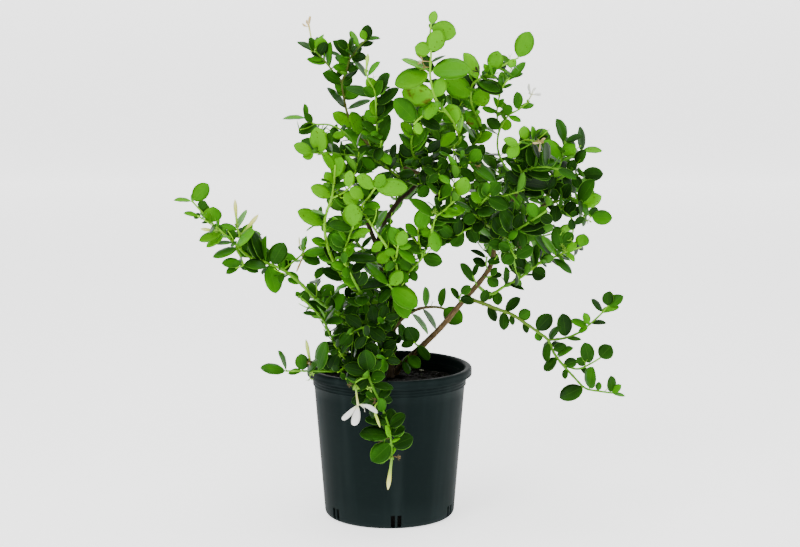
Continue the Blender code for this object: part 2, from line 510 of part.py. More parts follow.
def photo_pixel(point):
    """The pixel of the photograph that shows this point."""
    seen = point - CAMERA_PLACE
    forward = seen.y * math.cos(CAMERA_TILT) - seen.z * math.sin(CAMERA_TILT)
    upward = seen.y * math.sin(CAMERA_TILT) + seen.z * math.cos(CAMERA_TILT)
    return Vector((PHOTO_CENTRE[0] + FOCAL_PIXELS * seen.x / forward,
                   PHOTO_CENTRE[1] - FOCAL_PIXELS * upward / forward))


def nearest_along(line, lengths, pixel):
    """The distance along the line of its point that shows nearest to the pixel, and how near."""
    best, found = 1e9, 0.0
    pixels = [photo_pixel(point) for point in line]
    for k in range(len(line) - 1):
        span = pixels[k + 1] - pixels[k]
        share = min(1.0, max(0.0, (pixel - pixels[k]).dot(span) / max(span.length_squared, 0.01)))
        away = (pixels[k] + span * share - pixel).length
        if away < best:
            best, found = away, lengths[k] + share * (lengths[k + 1] - lengths[k])
    return found, best


def radius_at(thick_mm, share):
    return (thick_mm[0] + (thick_mm[1] - thick_mm[0]) * share) / 2000


def sunk_root(line, lengths, thick_mm, distance, way):
    """Where a leaf that points this way starts: a little under the surface of the side that it leaves."""
    share = min(distance / lengths[-1], 1.0)
    point, stem_way = along(line, lengths, min(distance, lengths[-1] - STEM_END_MARGIN))
    radial = way - stem_way * way.dot(stem_way)
    return point + radial * radius_at(thick_mm, share) * ROOT_SINK_SHARE


# Leaf placing: a leaf is its root, the way it points, its upper side, its length and its width


def traced_leaf(line, lengths, thick_mm, row, attempt, draw):
    """A leaf that the photograph shows. One that looks narrower than a blade is turned about its rib.
    Each further try leans more, to the camera or away from it, and is a little smaller."""
    root_x, root_y, tip_x, tip_y, width_px = row
    distance, _ = nearest_along(line, lengths, Vector((root_x, root_y)))
    root, _ = along(line, lengths, distance)
    depth = root.y * 1000
    flat = (photo_point(tip_x, tip_y, depth) - root).length
    lean = LEANS[attempt] + draw.uniform(-LEAN_JITTER, LEAN_JITTER)
    tip = photo_point(tip_x, tip_y, depth + lean * flat * 1000)
    root = sunk_root(line, lengths, thick_mm, distance, (tip - root).normalized())
    way = (tip - root).normalized()
    shrink = 1 - LEAN_SHRINK * attempt
    length = (tip - root).length * shrink
    seen = width_px * PIXEL * shrink
    width = max(seen, BLADE_WIDTH_SHARE * length)
    turn = math.acos(min(1.0, seen / width))
    to_camera = (CAMERA_PLACE - root).normalized()
    facing = (to_camera - way * to_camera.dot(way)).normalized()
    side = way.cross(facing)
    if side.z < 0:
        side = -side
    return root, way, (facing * math.cos(turn) + side * math.sin(turn)).normalized(), length, width


def ruled_leaf(line, lengths, thick_mm, distance, angle, length, draw):
    """A leaf of an opposite pair: it leans off the stem, with its upper side turned to the light."""
    _, stem_way = along(line, lengths, distance)
    toward = Vector((0, -1, 0)) if abs(stem_way.y) < 0.9 else Vector((0, 0, 1))
    front = (toward - stem_way * toward.dot(stem_way)).normalized()
    radial = front * math.cos(angle) + stem_way.cross(front) * math.sin(angle)
    spread = SPREAD + draw.uniform(*SPREAD_DRAW)
    way = (stem_way * math.cos(spread) + radial * math.sin(spread)).normalized()
    root = sunk_root(line, lengths, thick_mm, distance, way)
    outward = Vector((root.x, root.y, 0)) * OUTWARD_PULL
    chance = Vector([draw.uniform(-LIGHT_DRAW, LIGHT_DRAW) for _ in range(3)])
    upper = LIGHT + chance + outward + stem_way * STEM_PULL
    normal = (upper - way * upper.dot(way)).normalized()
    return root, way, normal, length, length * BLADE_WIDTH_SHARE * draw.uniform(0.92, 1.12)


def outline(count):
    """Shares of the length and of the half-width down one side of a blade, ends left out."""
    shares = [(1 - math.cos(math.pi * i / count)) / 2 for i in range(1, count)]
    return [(t ** BLADE_TIPWARD, (4 * t * (1 - t)) ** BLADE_FULLNESS) for t in shares]


def blade_sides(leaf, shares, fold, grow):
    """The points down each side of a blade, which may be folded along its rib."""
    root, way, normal, length, width = leaf
    side = way.cross(normal)
    sides = []
    for sign in (1, -1):
        reach = (side * sign * math.cos(fold) + normal * math.sin(fold)) * (width / 2 + grow)
        sides.append([root + way * length * t + reach * share for t, share in shares])
    return sides


def blade_mesh(leaf, thickness, grow=0.0, count=0):
    """The closed blade, thickened evenly about its middle surface. Large ones are folded along the
    rib and the others are flat. A small one has a blunt end, and a tiny one is a kite. A count, for
    petals, gives the spans down each side of a flat blade instead."""
    root, way, normal, length, _ = leaf
    large = length > LARGE_LEAF and not count
    small = TINY_LEAF < length < SMALL_LEAF and not count
    if small:
        shares = BLUNT_OUTLINE
    elif length <= TINY_LEAF and not count:
        shares = TINY_OUTLINE
    else:
        shares = outline(count or (4 if large else 3))
    left, right = blade_sides(leaf, shares, BLADE_FOLD if large else 0.0, grow)
    mesh = bmesh.new()
    first = mesh.verts.new(root)
    left = [mesh.verts.new(point) for point in left]
    right = [mesh.verts.new(point) for point in right[::-1]]
    end = [] if small else [mesh.verts.new(root + way * (length + grow))]
    if large:
        faces = [mesh.faces.new([first, *left, *end]), mesh.faces.new([*end, *right, first])]
    else:
        faces = [mesh.faces.new([first, *left, *end, *right])]
    mesh.normal_update()
    if faces[0].normal.dot(normal) < 0:
        bmesh.ops.reverse_faces(mesh, faces=faces)
        mesh.normal_update()
    for vert in mesh.verts:
        vert.co += vert.normal * thickness / 2
    bmesh.ops.solidify(mesh, geom=faces, thickness=thickness)
    bmesh.ops.recalc_face_normals(mesh, faces=mesh.faces)
    return mesh


def tube_tree(line, radii, extra):
    """A search tree of a six-sided tube along the line, from the first radius to the last."""
    corners, faces = [], []
    for i, point in enumerate(line):
        way = (line[min(i + 1, len(line) - 1)] - line[max(i - 1, 0)]).normalized()
        across = way.cross(ODD_WAY).normalized()
        reach = radii[0] + (radii[1] - radii[0]) * i / (len(line) - 1) + extra
        for k in range(6):
            corners.append(point + Matrix.Rotation(math.tau * k / 6, 3, way) @ (across * reach))
    for i in range(len(line) - 1):
        for k in range(6):
            n = (k + 1) % 6
            faces.append((i * 6 + k, i * 6 + n, i * 6 + 6 + n, i * 6 + 6 + k))
    faces += [tuple(range(6)), tuple(range(len(corners) - 6, len(corners)))]
    return BVHTree.FromPolygons(corners, faces)


def pot_tree():
    """A search tree of the pot's outer shape and the soil, for keeping the leaves off them."""
    under_rim = POT_HEIGHT - RIM_DEPTH
    rings = [
        (POT_BASE_RADIUS, 0.0), (POT_NECK_RADIUS, under_rim), (POT_RIM_RADIUS, under_rim),
        (POT_RIM_RADIUS, POT_HEIGHT), (POT_NECK_RADIUS - POT_WALL, POT_HEIGHT),
        (POT_NECK_RADIUS - 2 * POT_WALL, SOIL_TOP + SOIL_DOME),
    ]
    corners, faces = [], []
    for radius, height in rings:
        for k in range(POT_SIDES):
            turned_by = Matrix.Rotation(math.tau * k / POT_SIDES, 3, "Z")
            corners.append(turned_by @ Vector((radius + POT_CLEARANCE, 0, height)))
    for i in range(len(rings) - 1):
        for k in range(POT_SIDES):
            low, after = i * POT_SIDES + k, i * POT_SIDES + (k + 1) % POT_SIDES
            faces.append((low, after, after + POT_SIDES, low + POT_SIDES))
    faces.append(tuple(range(len(corners) - POT_SIDES, len(corners))))
    return BVHTree.FromPolygons(corners, faces)


class Thicket:
    """What is placed so far, so that nothing crosses. A thing may meet its own node's stems, and
    leaves with the same root, in the first third of its length."""

    def __init__(self):
        self.things = []

    def add(self, tree, middle, reach, node=None, root=None):
        self.things.append((tree, middle, reach, node, root))

    def is_clear(self, leaf, node):
        root, way, normal, length, width = leaf
        middle = root + way * length / 2
        reach = length / 2 + TREE_MARGIN
        whole = tree_of(blade_mesh(leaf, BLADE_THICKNESS + 2 * BLADE_CLEARANCE, BLADE_CLEARANCE))
        free_start = root + way * length * ROOT_SHARE
        outer = (free_start, way, normal, length * (1 - ROOT_SHARE), width * 0.9)
        free_part = tree_of(blade_mesh(outer, BLADE_THICKNESS + BLADE_CLEARANCE))
        for tree, place, size, of, start in self.things:
            if (place - middle).length > size + reach:
                continue
            joined = of == node and (start is None or (start - root).length < SAME_ROOT)
            if tree.overlap(free_part if joined else whole):
                return False
        return True


def tree_of(mesh):
    tree = BVHTree.FromBMesh(mesh)
    mesh.free()
    return tree


def try_leaf(thicket, leaf, node, keep):
    """Adds the leaf if its blade, made a little fat, meets nothing that it may not meet."""
    root, way, _, length, _ = leaf
    if not thicket.is_clear(leaf, node):
        return False
    blade = tree_of(blade_mesh(leaf, BLADE_THICKNESS))
    thicket.add(blade, root + way * length / 2, length / 2 + TREE_MARGIN, node, root)
    keep.append(leaf)
    return True


def place_leaves():
    """The leaves of every spray, as {node: [leaf, ...]}, those that the photograph shows first."""
    thicket = Thicket()
    thicket.add(pot_tree(), Vector((0, 0, POT_HEIGHT / 2)), POT_HEIGHT)
    rows = []
    for node, shoots in [*WOOD.items(), *((name, spray[1]) for name, spray in SPRAYS.items())]:
        for row in shoots:
            line = line_of(row, SHOOT_STEP)
            lengths = lengths_along(line)
            stem = tube_tree(line, [part / 2000 for part in row["thick"]], STEM_CLEARANCE)
            thicket.add(stem, (line[0] + line[-1]) / 2, lengths[-1], node)
            rows.append((node, row, line, lengths))
    for name in BLOOMS:
        line, radii, petals = bloom_shape(name)
        thicket.add(tube_tree(line, (max(radii), max(radii)), STEM_CLEARANCE), line[0], BLOOM_REACH)
        for petal in petals:
            thicket.add(tree_of(blade_mesh(petal, BLADE_THICKNESS)), line[0], BLOOM_REACH)
    leaves = {name: [] for name in SPRAYS}
    draw = random.Random(SEED)
    for node, row, line, lengths in rows:
        for traced in row["traced"]:
            for attempt in range(len(LEANS)):
                leaf = traced_leaf(line, lengths, row["thick"], traced, attempt, draw)
                if try_leaf(thicket, leaf, node, leaves[node]):
                    break
    for node, row, line, lengths in rows:
        if row["gap"]:
            place_pairs(thicket, row, line, lengths, node, leaves[node], draw)
    return leaves


def place_pairs(thicket, row, line, lengths, node, keep, draw):
    """Opposite pairs up the shoot, each pair a quarter turn on from the last, and one at the tip."""
    gap = row["gap"] / 1000
    distance = lengths[-1] * BARE_SHARE + gap / 2
    angle = draw.uniform(0, math.pi)
    while distance < lengths[-1]:
        size = row["leaf"] / 1000 * (1 - TIP_SHRINK * (distance / lengths[-1]) ** 3)
        for half_turn in (0, math.pi):
            for attempt in range(TRIES):
                length = size * draw.uniform(0.8, 1.12) * (1 - TRY_SHRINK * attempt)
                turned_by = angle + half_turn + draw.uniform(-TURN_DRAW, TURN_DRAW)
                leaf = ruled_leaf(line, lengths, row["thick"], distance, turned_by, length, draw)
                if try_leaf(thicket, leaf, node, keep):
                    break
        angle += math.pi / 2
        distance += gap * draw.uniform(0.85, 1.15)


# Making objects


def new_collection(name, parent=None):
    made = bpy.data.collections.new(name)
    (parent or bpy.context.scene.collection).children.link(made)
    return made


def new_object(name, mesh, collection):
    made = bpy.data.objects.new(name, mesh)
    collection.objects.link(made)
    return made


def material(name, colour, roughness):
    made = bpy.data.materials.new(name)
    made.use_nodes = True
    shader = made.node_tree.nodes["Principled BSDF"]
    shader.inputs["Base Color"].default_value = (*colour, 1)
    shader.inputs["Roughness"].default_value = roughness
    return made


def drop_scraps(whole):
    """Leaves only the body with the most points."""
    left = set(whole.verts)
    bodies = []
    while left:
        body = [left.pop()]
        for vert in body:
            near = {edge.other_vert(vert) for edge in vert.link_edges} & left
            left -= near
            body.extend(near)
        bodies.append(body)
    largest = max(bodies, key=len)
    for body in bodies:
        if body is not largest:
            bmesh.ops.delete(whole, geom=body, context="VERTS")


def mesh_of(made, collection=None):
    """The evaluated object as a plain mesh object with its seams welded, in place of the first."""
    bpy.context.view_layer.update()
    graph = bpy.context.evaluated_depsgraph_get()
    mesh = bpy.data.meshes.new_from_object(made.evaluated_get(graph))
    whole = bmesh.new()
    whole.from_mesh(mesh)
    bmesh.ops.remove_doubles(whole, verts=whole.verts, dist=WELD)
    bmesh.ops.dissolve_limit(whole, angle_limit=FLAT_ANGLE, verts=whole.verts, edges=whole.edges)
    drop_scraps(whole)
    bmesh.ops.recalc_face_normals(whole, faces=whole.faces)
    whole.to_mesh(mesh)
    whole.free()
    plain = bpy.data.objects.new(made.name + "_mesh", mesh)
    plain.matrix_world = made.matrix_world
    (collection or made.users_collection[0]).objects.link(plain)
    bpy.data.objects.remove(made)
    return plain


def bevelled(name, line, radii, collection, profile=None, resolution=1):
    """A tube along the line: a bevelled poly curve with filled caps, made a mesh."""
    curve = bpy.data.curves.new(name, "CURVE")
    curve.dimensions = "3D"
    curve.use_fill_caps = True
    if profile:
        curve.bevel_mode = "OBJECT"
        curve.bevel_object = profile
    else:
        curve.bevel_depth = 1.0
        curve.bevel_resolution = resolution
    spline = curve.splines.new("POLY")
    spline.points.add(len(line) - 1)
    for i, (point, radius) in enumerate(zip(line, radii)):
        spline.points[i].co = (*point, 1)
        spline.points[i].radius = radius
    return mesh_of(new_object(name, curve, collection))


def tube(name, line, thick_mm, collection, extra=0.0, profile=None):
    """A tube that tapers evenly."""
    last = len(line) - 1
    radii = [radius_at(thick_mm, i / last) + extra for i in range(last + 1)]
    return bevelled(name, line, radii, collection, profile)


def three_sided(collection):
    """The outline that shoots are swept with: an equal triangle of radius 1."""
    curve = bpy.data.curves.new("shoot_outline", "CURVE")
    spline = curve.splines.new("POLY")
    spline.points.add(2)
    for k in range(3):
        spline.points[k].co = (math.cos(math.tau * k / 3), math.sin(math.tau * k / 3), 0, 1)
    spline.use_cyclic_u = True
    return new_object("shoot_outline", curve, collection)


def empty_collection(collection):
    for made in list(collection.objects):
        bpy.data.objects.remove(made)
    bpy.data.collections.remove(collection)


def is_closed(made):
    """Whether every edge of the evaluated object has two faces."""
    bpy.context.view_layer.update()
    graph = bpy.context.evaluated_depsgraph_get()
    faces_of = Counter(key for face in made.evaluated_get(graph).data.polygons for key in face.edge_keys)
    return all(count == 2 for count in faces_of.values())


def fuse(name, body, others, finish, collection):
    """One Boolean union of the body with a collection's objects, applied."""
    union = body.modifiers.new("join", "BOOLEAN")
    union.operand_type = "COLLECTION"
    union.collection = others
    union.operation = "UNION"
    union.solver = "EXACT"
    if not is_closed(body):
        union.solver = "MANIFOLD"
    joined = mesh_of(body, collection)
    empty_collection(others)
    joined.name = name
    joined.data.materials.clear()
    joined.data.materials.append(finish)
    return joined


def cut(body, cutter):
    """The body with the cutter taken away, applied."""
    name, finish = body.name, body.data.materials[0]
    away = body.modifiers.new("cut", "BOOLEAN")
    away.object = cutter
    away.operation = "DIFFERENCE"
    away.solver = "EXACT"
    made = mesh_of(body)
    made.name = name
    made.data.materials.clear()
    made.data.materials.append(finish)
    return made


def blade_object(leaf, index, collection, count=0):
    mesh = bpy.data.meshes.new(f"leaf_{index}")
    blade = blade_mesh(leaf, BLADE_THICKNESS, 0.0, count)
    blade.to_mesh(mesh)
    blade.free()
    return new_object(f"leaf_{index}", mesh, collection)


def turned(name, profile, collection, finish):
    """A profile of (radius, height) turned about Z, from the axis down its outer side and back."""
    points = [(radius, 0, height) for radius, height in profile]
    mesh = bpy.data.meshes.new(name)
    mesh.from_pydata(points, [(i, i + 1) for i in range(len(points) - 1)], [])
    made = new_object(name, mesh, collection)
    screw = made.modifiers.new("turn", "SCREW")
    screw.axis = "Z"
    screw.steps = screw.render_steps = POT_SIDES
    screw.use_merge_vertices = True
    screw.merge_threshold = 0.00002
    made = mesh_of(made)
    made.name = name
    made.data.materials.append(finish)
    return made


def wood_line(row, is_trunk):
    """A wood's line: a trunk's goes straight on down into the soil."""
    line = line_of(row, WOOD_STEP)
    if is_trunk:
        line = [Vector((line[0].x, line[0].y, SOIL_TOP - ROOT_DEPTH))] + line
    return line


def build_pot(collection, cutters, plastic):
    """The pot: a tapered shell with a rolled rim, a band under it, and pairs of drain slits."""
    under_rim = POT_HEIGHT - RIM_DEPTH
    corner_in, corner_down = RIM_CORNER
    foot_in, foot_up = FOOT_CORNER
    band_radius = POT_NECK_RADIUS - NECK_STEP / 3
    profile = [
        (0.0, POT_FLOOR), (POT_BASE_RADIUS - POT_WALL, POT_FLOOR),
        (POT_NECK_RADIUS - POT_WALL, under_rim), (POT_NECK_RADIUS, POT_HEIGHT),
        (POT_RIM_RADIUS - corner_in, POT_HEIGHT), (POT_RIM_RADIUS, POT_HEIGHT - corner_down),
        (POT_RIM_RADIUS, under_rim), (POT_NECK_RADIUS, under_rim),
        (band_radius, under_rim - NECK_BAND), (band_radius - NECK_STEP, under_rim - NECK_BAND - NECK_STEP),
        (POT_BASE_RADIUS, foot_up), (POT_BASE_RADIUS - foot_in, 0.0), (0.0, 0.0),
    ]
    pot = turned("pot", profile[::-1], collection, plastic)
    pot = cut(pot, drain_slits(cutters))
    pot.data.shade_smooth()
    pot.data.set_sharp_from_angle(angle=SHARP_ANGLE)
    return pot


def drain_slits(cutters):
    """The cutter of the drain slits: pairs of upright boxes through the foot of the wall."""
    width, deep, height = DRAIN_SLIT
    slits = bmesh.new()
    for k in range(DRAIN_COUNT):
        around = Matrix.Rotation(DRAIN_FIRST_ANGLE + math.tau * k / DRAIN_COUNT, 4, "Z")
        for offset in (-DRAIN_SLIT_OFFSET, DRAIN_SLIT_OFFSET):
            place = Matrix.Translation((offset, -POT_BASE_RADIUS, height / 2 - DRAIN_SLIT_DROP))
            size = Matrix.Diagonal((width, deep, height, 1))
            bmesh.ops.create_cube(slits, size=1, matrix=around @ place @ size)
    mesh = bpy.data.meshes.new("drain_slits")
    slits.to_mesh(mesh)
    slits.free()
    return new_object("drain_slits", mesh, cutters)


def build_soil(collection, earth, trunks):
    """The potting mix, slightly domed, with a plain hole for each trunk. It rests just off the
    pot's floor and wall."""
    under_rim = POT_HEIGHT - RIM_DEPTH
    bottom = POT_FLOOR + FIT_GAP
    slope = (POT_NECK_RADIUS - POT_BASE_RADIUS) / (under_rim - POT_FLOOR)
    base = POT_BASE_RADIUS - POT_WALL - SOIL_WALL_GAP
    edge = base + slope * (SOIL_TOP - bottom)
    edge_in, edge_down = SOIL_EDGE
    profile = [
        (0.0, SOIL_TOP + SOIL_DOME), (edge / 2, SOIL_TOP + SOIL_DOME * 0.75),
        (edge - edge_in, SOIL_TOP), (edge, SOIL_TOP - edge_down), (base, bottom), (0.0, bottom),
    ]
    soil = turned("soil", profile, collection, earth)
    for trunk in trunks:
        soil = cut(soil, trunk)
    return soil


def build_wood(collection, cutters, bark):
    """Each trunk fused with its forks, and a fat copy of its wood for cutting others."""
    cutters_of = {}
    for name, shoots in WOOD.items():
        parts = new_collection(name + "_parts")
        fat_parts = new_collection(name + "_fat_parts")
        lines = [wood_line(row, k == 0) for k, row in enumerate(shoots)]
        body = tube(name + "_stem", lines[0], shoots[0]["thick"], cutters)
        fat = tube(name + "_fat_stem", lines[0], shoots[0]["thick"], cutters, FIT_GAP)
        for k, (row, line) in enumerate(zip(shoots[1:], lines[1:])):
            tube(f"{name}_fork_{k}", line, row["thick"], parts)
            tube(f"{name}_fat_fork_{k}", line, row["thick"], fat_parts, FIT_GAP)
        fuse(name, body, parts, bark, collection)
        fat = fuse(name + "_cutter", fat, fat_parts, bark, cutters)
        cutters_of[name] = fat
    return cutters_of


def build_spray(name, collection, workshop, profile, leaf_green, cutters_of, leaves):
    """A leafy spray: its shoots and leaves fused, and its root cut to sit against the wood."""
    wood, shoots = SPRAYS[name]
    parts = new_collection(name + "_parts")
    body = None
    for k, row in enumerate(shoots):
        line = line_of(row, SHOOT_STEP)
        if k == 0:
            body = tube(f"{name}_stem", line, row["thick"], workshop, 0.0, profile)
        else:
            tube(f"{name}_shoot_{k}", line, row["thick"], parts, 0.0, profile)
    for index, leaf in enumerate(leaves[name]):
        blade_object(leaf, index, parts)
    spray = fuse("spray_" + name, body, parts, leaf_green, collection)
    return cut(spray, cutters_of[wood])


def bloom_shape(name):
    """A bloom's line and radii, and its petals, which are blades spread evenly about its tip."""
    spray, root_px, tip_px, lean, thick, reach, opening = BLOOMS[name]
    root, tip = bloom_ends(spray, root_px, tip_px, lean)
    way = (tip - root).normalized()
    line = [root + (tip - root) * share for share in BLOOM_LINE]
    radii = [thick * share / 2000 for share in (FLOWER_FLARE if reach else BUD_FLARE)]
    across = way.cross(ODD_WAY).normalized()
    opened = math.radians(opening)
    petals = []
    for k in range(PETALS if reach else 0):
        radial = Matrix.Rotation(math.tau * k / PETALS, 3, way) @ across
        petal_way = radial * math.sin(opened) + way * math.cos(opened)
        normal = (way - petal_way * way.dot(petal_way)).normalized()
        petal_root = tip - way * PETAL_SINK + radial * PETAL_SPACING
        petals.append((petal_root, petal_way, normal, reach / 1000, reach / 1000 * PETAL_WIDTH_SHARE))
    return line, radii, petals


def build_bloom(name, collection, workshop, finish):
    """A bud, or a tube with five petals, standing just off its shoot."""
    line, radii, petals = bloom_shape(name)
    parts = new_collection(name + "_parts")
    body = bevelled(name + "_tube", line, radii, workshop, resolution=0)
    for k, petal in enumerate(petals):
        blade_object(petal, k, parts, 3 if petal[3] > FADED_REACH else 2)
    return fuse(name, body, parts, finish, collection)


def bloom_ends(spray, root_px, tip_px, lean):
    """A bloom's two ends: its root is moved to just off the surface of the nearest shoot."""
    best = 1e9
    for row in SPRAYS[spray][1]:
        line = line_of(row, SHOOT_STEP)
        lengths = lengths_along(line)
        distance, away = nearest_along(line, lengths, Vector(root_px))
        if away < best:
            best = away
            near, stem_way = along(line, lengths, distance)
            radius = radius_at(row["thick"], distance / lengths[-1])
            at_tip = distance >= lengths[-1] - STEM_END_MARGIN
    tip = photo_point(*tip_px, near.y * 1000 + lean)
    way = (tip - near).normalized()
    in_line = abs(way.dot(stem_way))
    if at_tip and in_line > IN_LINE:
        return near + way * BLOOM_END_GAP, tip
    steepness = max(STEEPEST_BLOOM, math.sqrt(1 - in_line ** 2))
    return near + way * ((radius + BLOOM_GAP) / steepness + BLOOM_SIDE_ROOM), tip


def main():
    for old in list(bpy.data.objects):
        bpy.data.objects.remove(old)
    plant = new_collection("potted_natal_plum")
    workshop = new_collection("workshop")
    plastic = material("black_plastic", (0.012, 0.020, 0.021), 0.38)
    earth = material("potting_mix", (0.020, 0.013, 0.009), 0.95)
    bark = material("bark", (0.16, 0.075, 0.035), 0.8)
    leaf_green = material("leaf_green", (0.055, 0.22, 0.012), 0.35)
    petal_white = material("petal_white", (0.85, 0.83, 0.78), 0.5)

    leaves = place_leaves()
    outline_curve = three_sided(workshop)
    cutters_of = build_wood(plant, workshop, bark)
    build_pot(plant, workshop, plastic)
    build_soil(plant, earth, list(cutters_of.values()))
    for name in SPRAYS:
        build_spray(name, plant, workshop, outline_curve, leaf_green, cutters_of, leaves)
    for name in BLOOMS:
        build_bloom(name, plant, workshop, petal_white)
    for helper in workshop.objects:
        helper.hide_render = True
        helper.display_type = "WIRE"


main()
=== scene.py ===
import math
import random

import bmesh
import bpy
import numpy as np
from mathutils import Matrix, Vector
from mathutils.bvhtree import BVHTree


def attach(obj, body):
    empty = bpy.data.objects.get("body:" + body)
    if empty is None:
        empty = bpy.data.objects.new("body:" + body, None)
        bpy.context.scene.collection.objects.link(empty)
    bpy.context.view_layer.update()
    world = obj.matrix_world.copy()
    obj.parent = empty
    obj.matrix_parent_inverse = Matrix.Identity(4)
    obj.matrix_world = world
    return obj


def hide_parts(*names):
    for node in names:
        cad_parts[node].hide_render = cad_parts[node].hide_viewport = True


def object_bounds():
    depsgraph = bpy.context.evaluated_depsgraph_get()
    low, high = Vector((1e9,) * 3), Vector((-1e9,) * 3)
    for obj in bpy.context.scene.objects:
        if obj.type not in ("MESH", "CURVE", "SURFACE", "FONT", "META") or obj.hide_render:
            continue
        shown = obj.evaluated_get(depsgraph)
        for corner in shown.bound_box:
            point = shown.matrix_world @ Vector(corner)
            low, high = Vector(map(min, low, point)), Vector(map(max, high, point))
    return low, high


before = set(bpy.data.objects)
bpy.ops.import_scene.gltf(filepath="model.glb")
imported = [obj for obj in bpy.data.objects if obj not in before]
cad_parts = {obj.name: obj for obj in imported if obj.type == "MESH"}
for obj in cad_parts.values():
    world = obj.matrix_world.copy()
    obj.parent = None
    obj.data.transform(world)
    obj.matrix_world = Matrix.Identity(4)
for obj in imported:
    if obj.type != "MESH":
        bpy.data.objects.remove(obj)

cadLow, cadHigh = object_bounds()
print("frame loaded:", len(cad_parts), "nodes")

# The photograph's camera: pixels for its centre, focal length and width, metres for its place
photo = {
    "centre": (400.0, 273.5), "focal": 2094.0, "width": 800.0, "pixel": 0.00152,
    "place": Vector((0.016, -3.12, 0.854)), "tilt": math.radians(8.8),
}

# Pot: the frame's sizes, in metres
pot = {
    "height": 0.230, "rimRadius": 0.125, "neckRadius": 0.1165, "baseRadius": 0.099, "wall": 0.0022,
    "floor": 0.003, "rimDepth": 0.013, "band": 0.013, "step": 0.0016, "testSides": 28, "clearance": 0.001,
    "drainPairs": 6, "drainFirst": math.radians(6), "drainHalf": 0.0031, "drainOffset": 0.0048,
    "drainTop": 0.022, "drainIn": 0.0055,
}
soil = {"top": 0.205, "dome": 0.004, "bottom": 0.0033, "wallGap": 0.0009}

# How leaves are placed, which is the frame's own rule, so that fine ones lie where its blades do
leafRule = {
    "thickness": 0.0008, "clearance": 0.0006, "widthShare": 0.64, "fullness": 0.6, "tipward": 0.85,
    "blunt": ((0.40, 1.0), (0.94, 0.6)), "kite": ((0.50, 1.0),), "sink": 0.2, "fold": math.radians(13),
    "large": 0.046, "small": 0.034, "tiny": 0.019, "bare": 0.25, "rootShare": 0.3, "sameRoot": 0.005,
    "stemClearance": 0.0005, "endMargin": 0.0006, "margin": 0.003, "shootStep": 0.030,
    "leans": (-0.15, 0.15, -0.35, 0.35, -0.55, 0.6, -0.75, -0.95, 0.9, -1.2),
    "leanJitter": 0.08, "leanShrink": 0.02, "tries": 7, "tryShrink": 0.05, "tipShrink": 0.3,
    "spread": math.radians(58), "spreadDraw": (-0.2, 0.25), "turnDraw": 0.4,
    "light": Vector((0, -0.25, 0.75)), "lightDraw": 0.3, "outward": 2.2, "stemPull": 0.6, "seed": 41,
    "widthDraw": (0.92, 1.12), "sizeDraw": (0.8, 1.12), "gapDraw": (0.85, 1.15), "outerWidth": 0.9,
    "mostThings": 9000,
}
oddWay = Vector((0.31, 0.87, 0.38))


def shoot(route, thick, traced=(), leaf=0, gap=0):
    # One shoot: route points (pixel across, pixel down, mm behind the pot's axis), thickness in mm at each
    # end, and its leaves: (root x, root y, tip x, tip y, width) in pixels, or pairs by a rule, in mm
    return {"route": route, "thick": thick, "traced": traced, "leaf": leaf, "gap": gap}


woodShoots = {
    "trunk_centre": [
        shoot([(390, 384, 12), (391, 360, 8), (393, 335, 4), (389, 305, 4), (382, 272, 6), (377, 248, 8),
               (370, 229, 6), (363, 212, 2)], (12, 6)),
        shoot([(377, 248, 8), (383, 226, 16), (397, 203, 24), (409, 192, 30), (422, 178, 36),
               (432, 160, 38), (438, 142, 36)], (8, 5)),
    ],
    "trunk_right": [
        shoot([(392, 383, 36), (400, 366, 18), (420, 348, -6), (442, 326, -24), (462, 302, -32),
               (478, 284, -34), (490, 267, -32), (494, 252, -28), (495, 238, -20), (503, 218, -10)],
              (10, 7)),
        shoot([(503, 218, -10), (510, 206, -2), (517, 192, 4), (522, 174, 8)], (7, 4)),
        shoot([(495, 238, -20), (515, 226, 4), (535, 212, 22), (552, 198, 34)], (6, 4)),
    ],
}

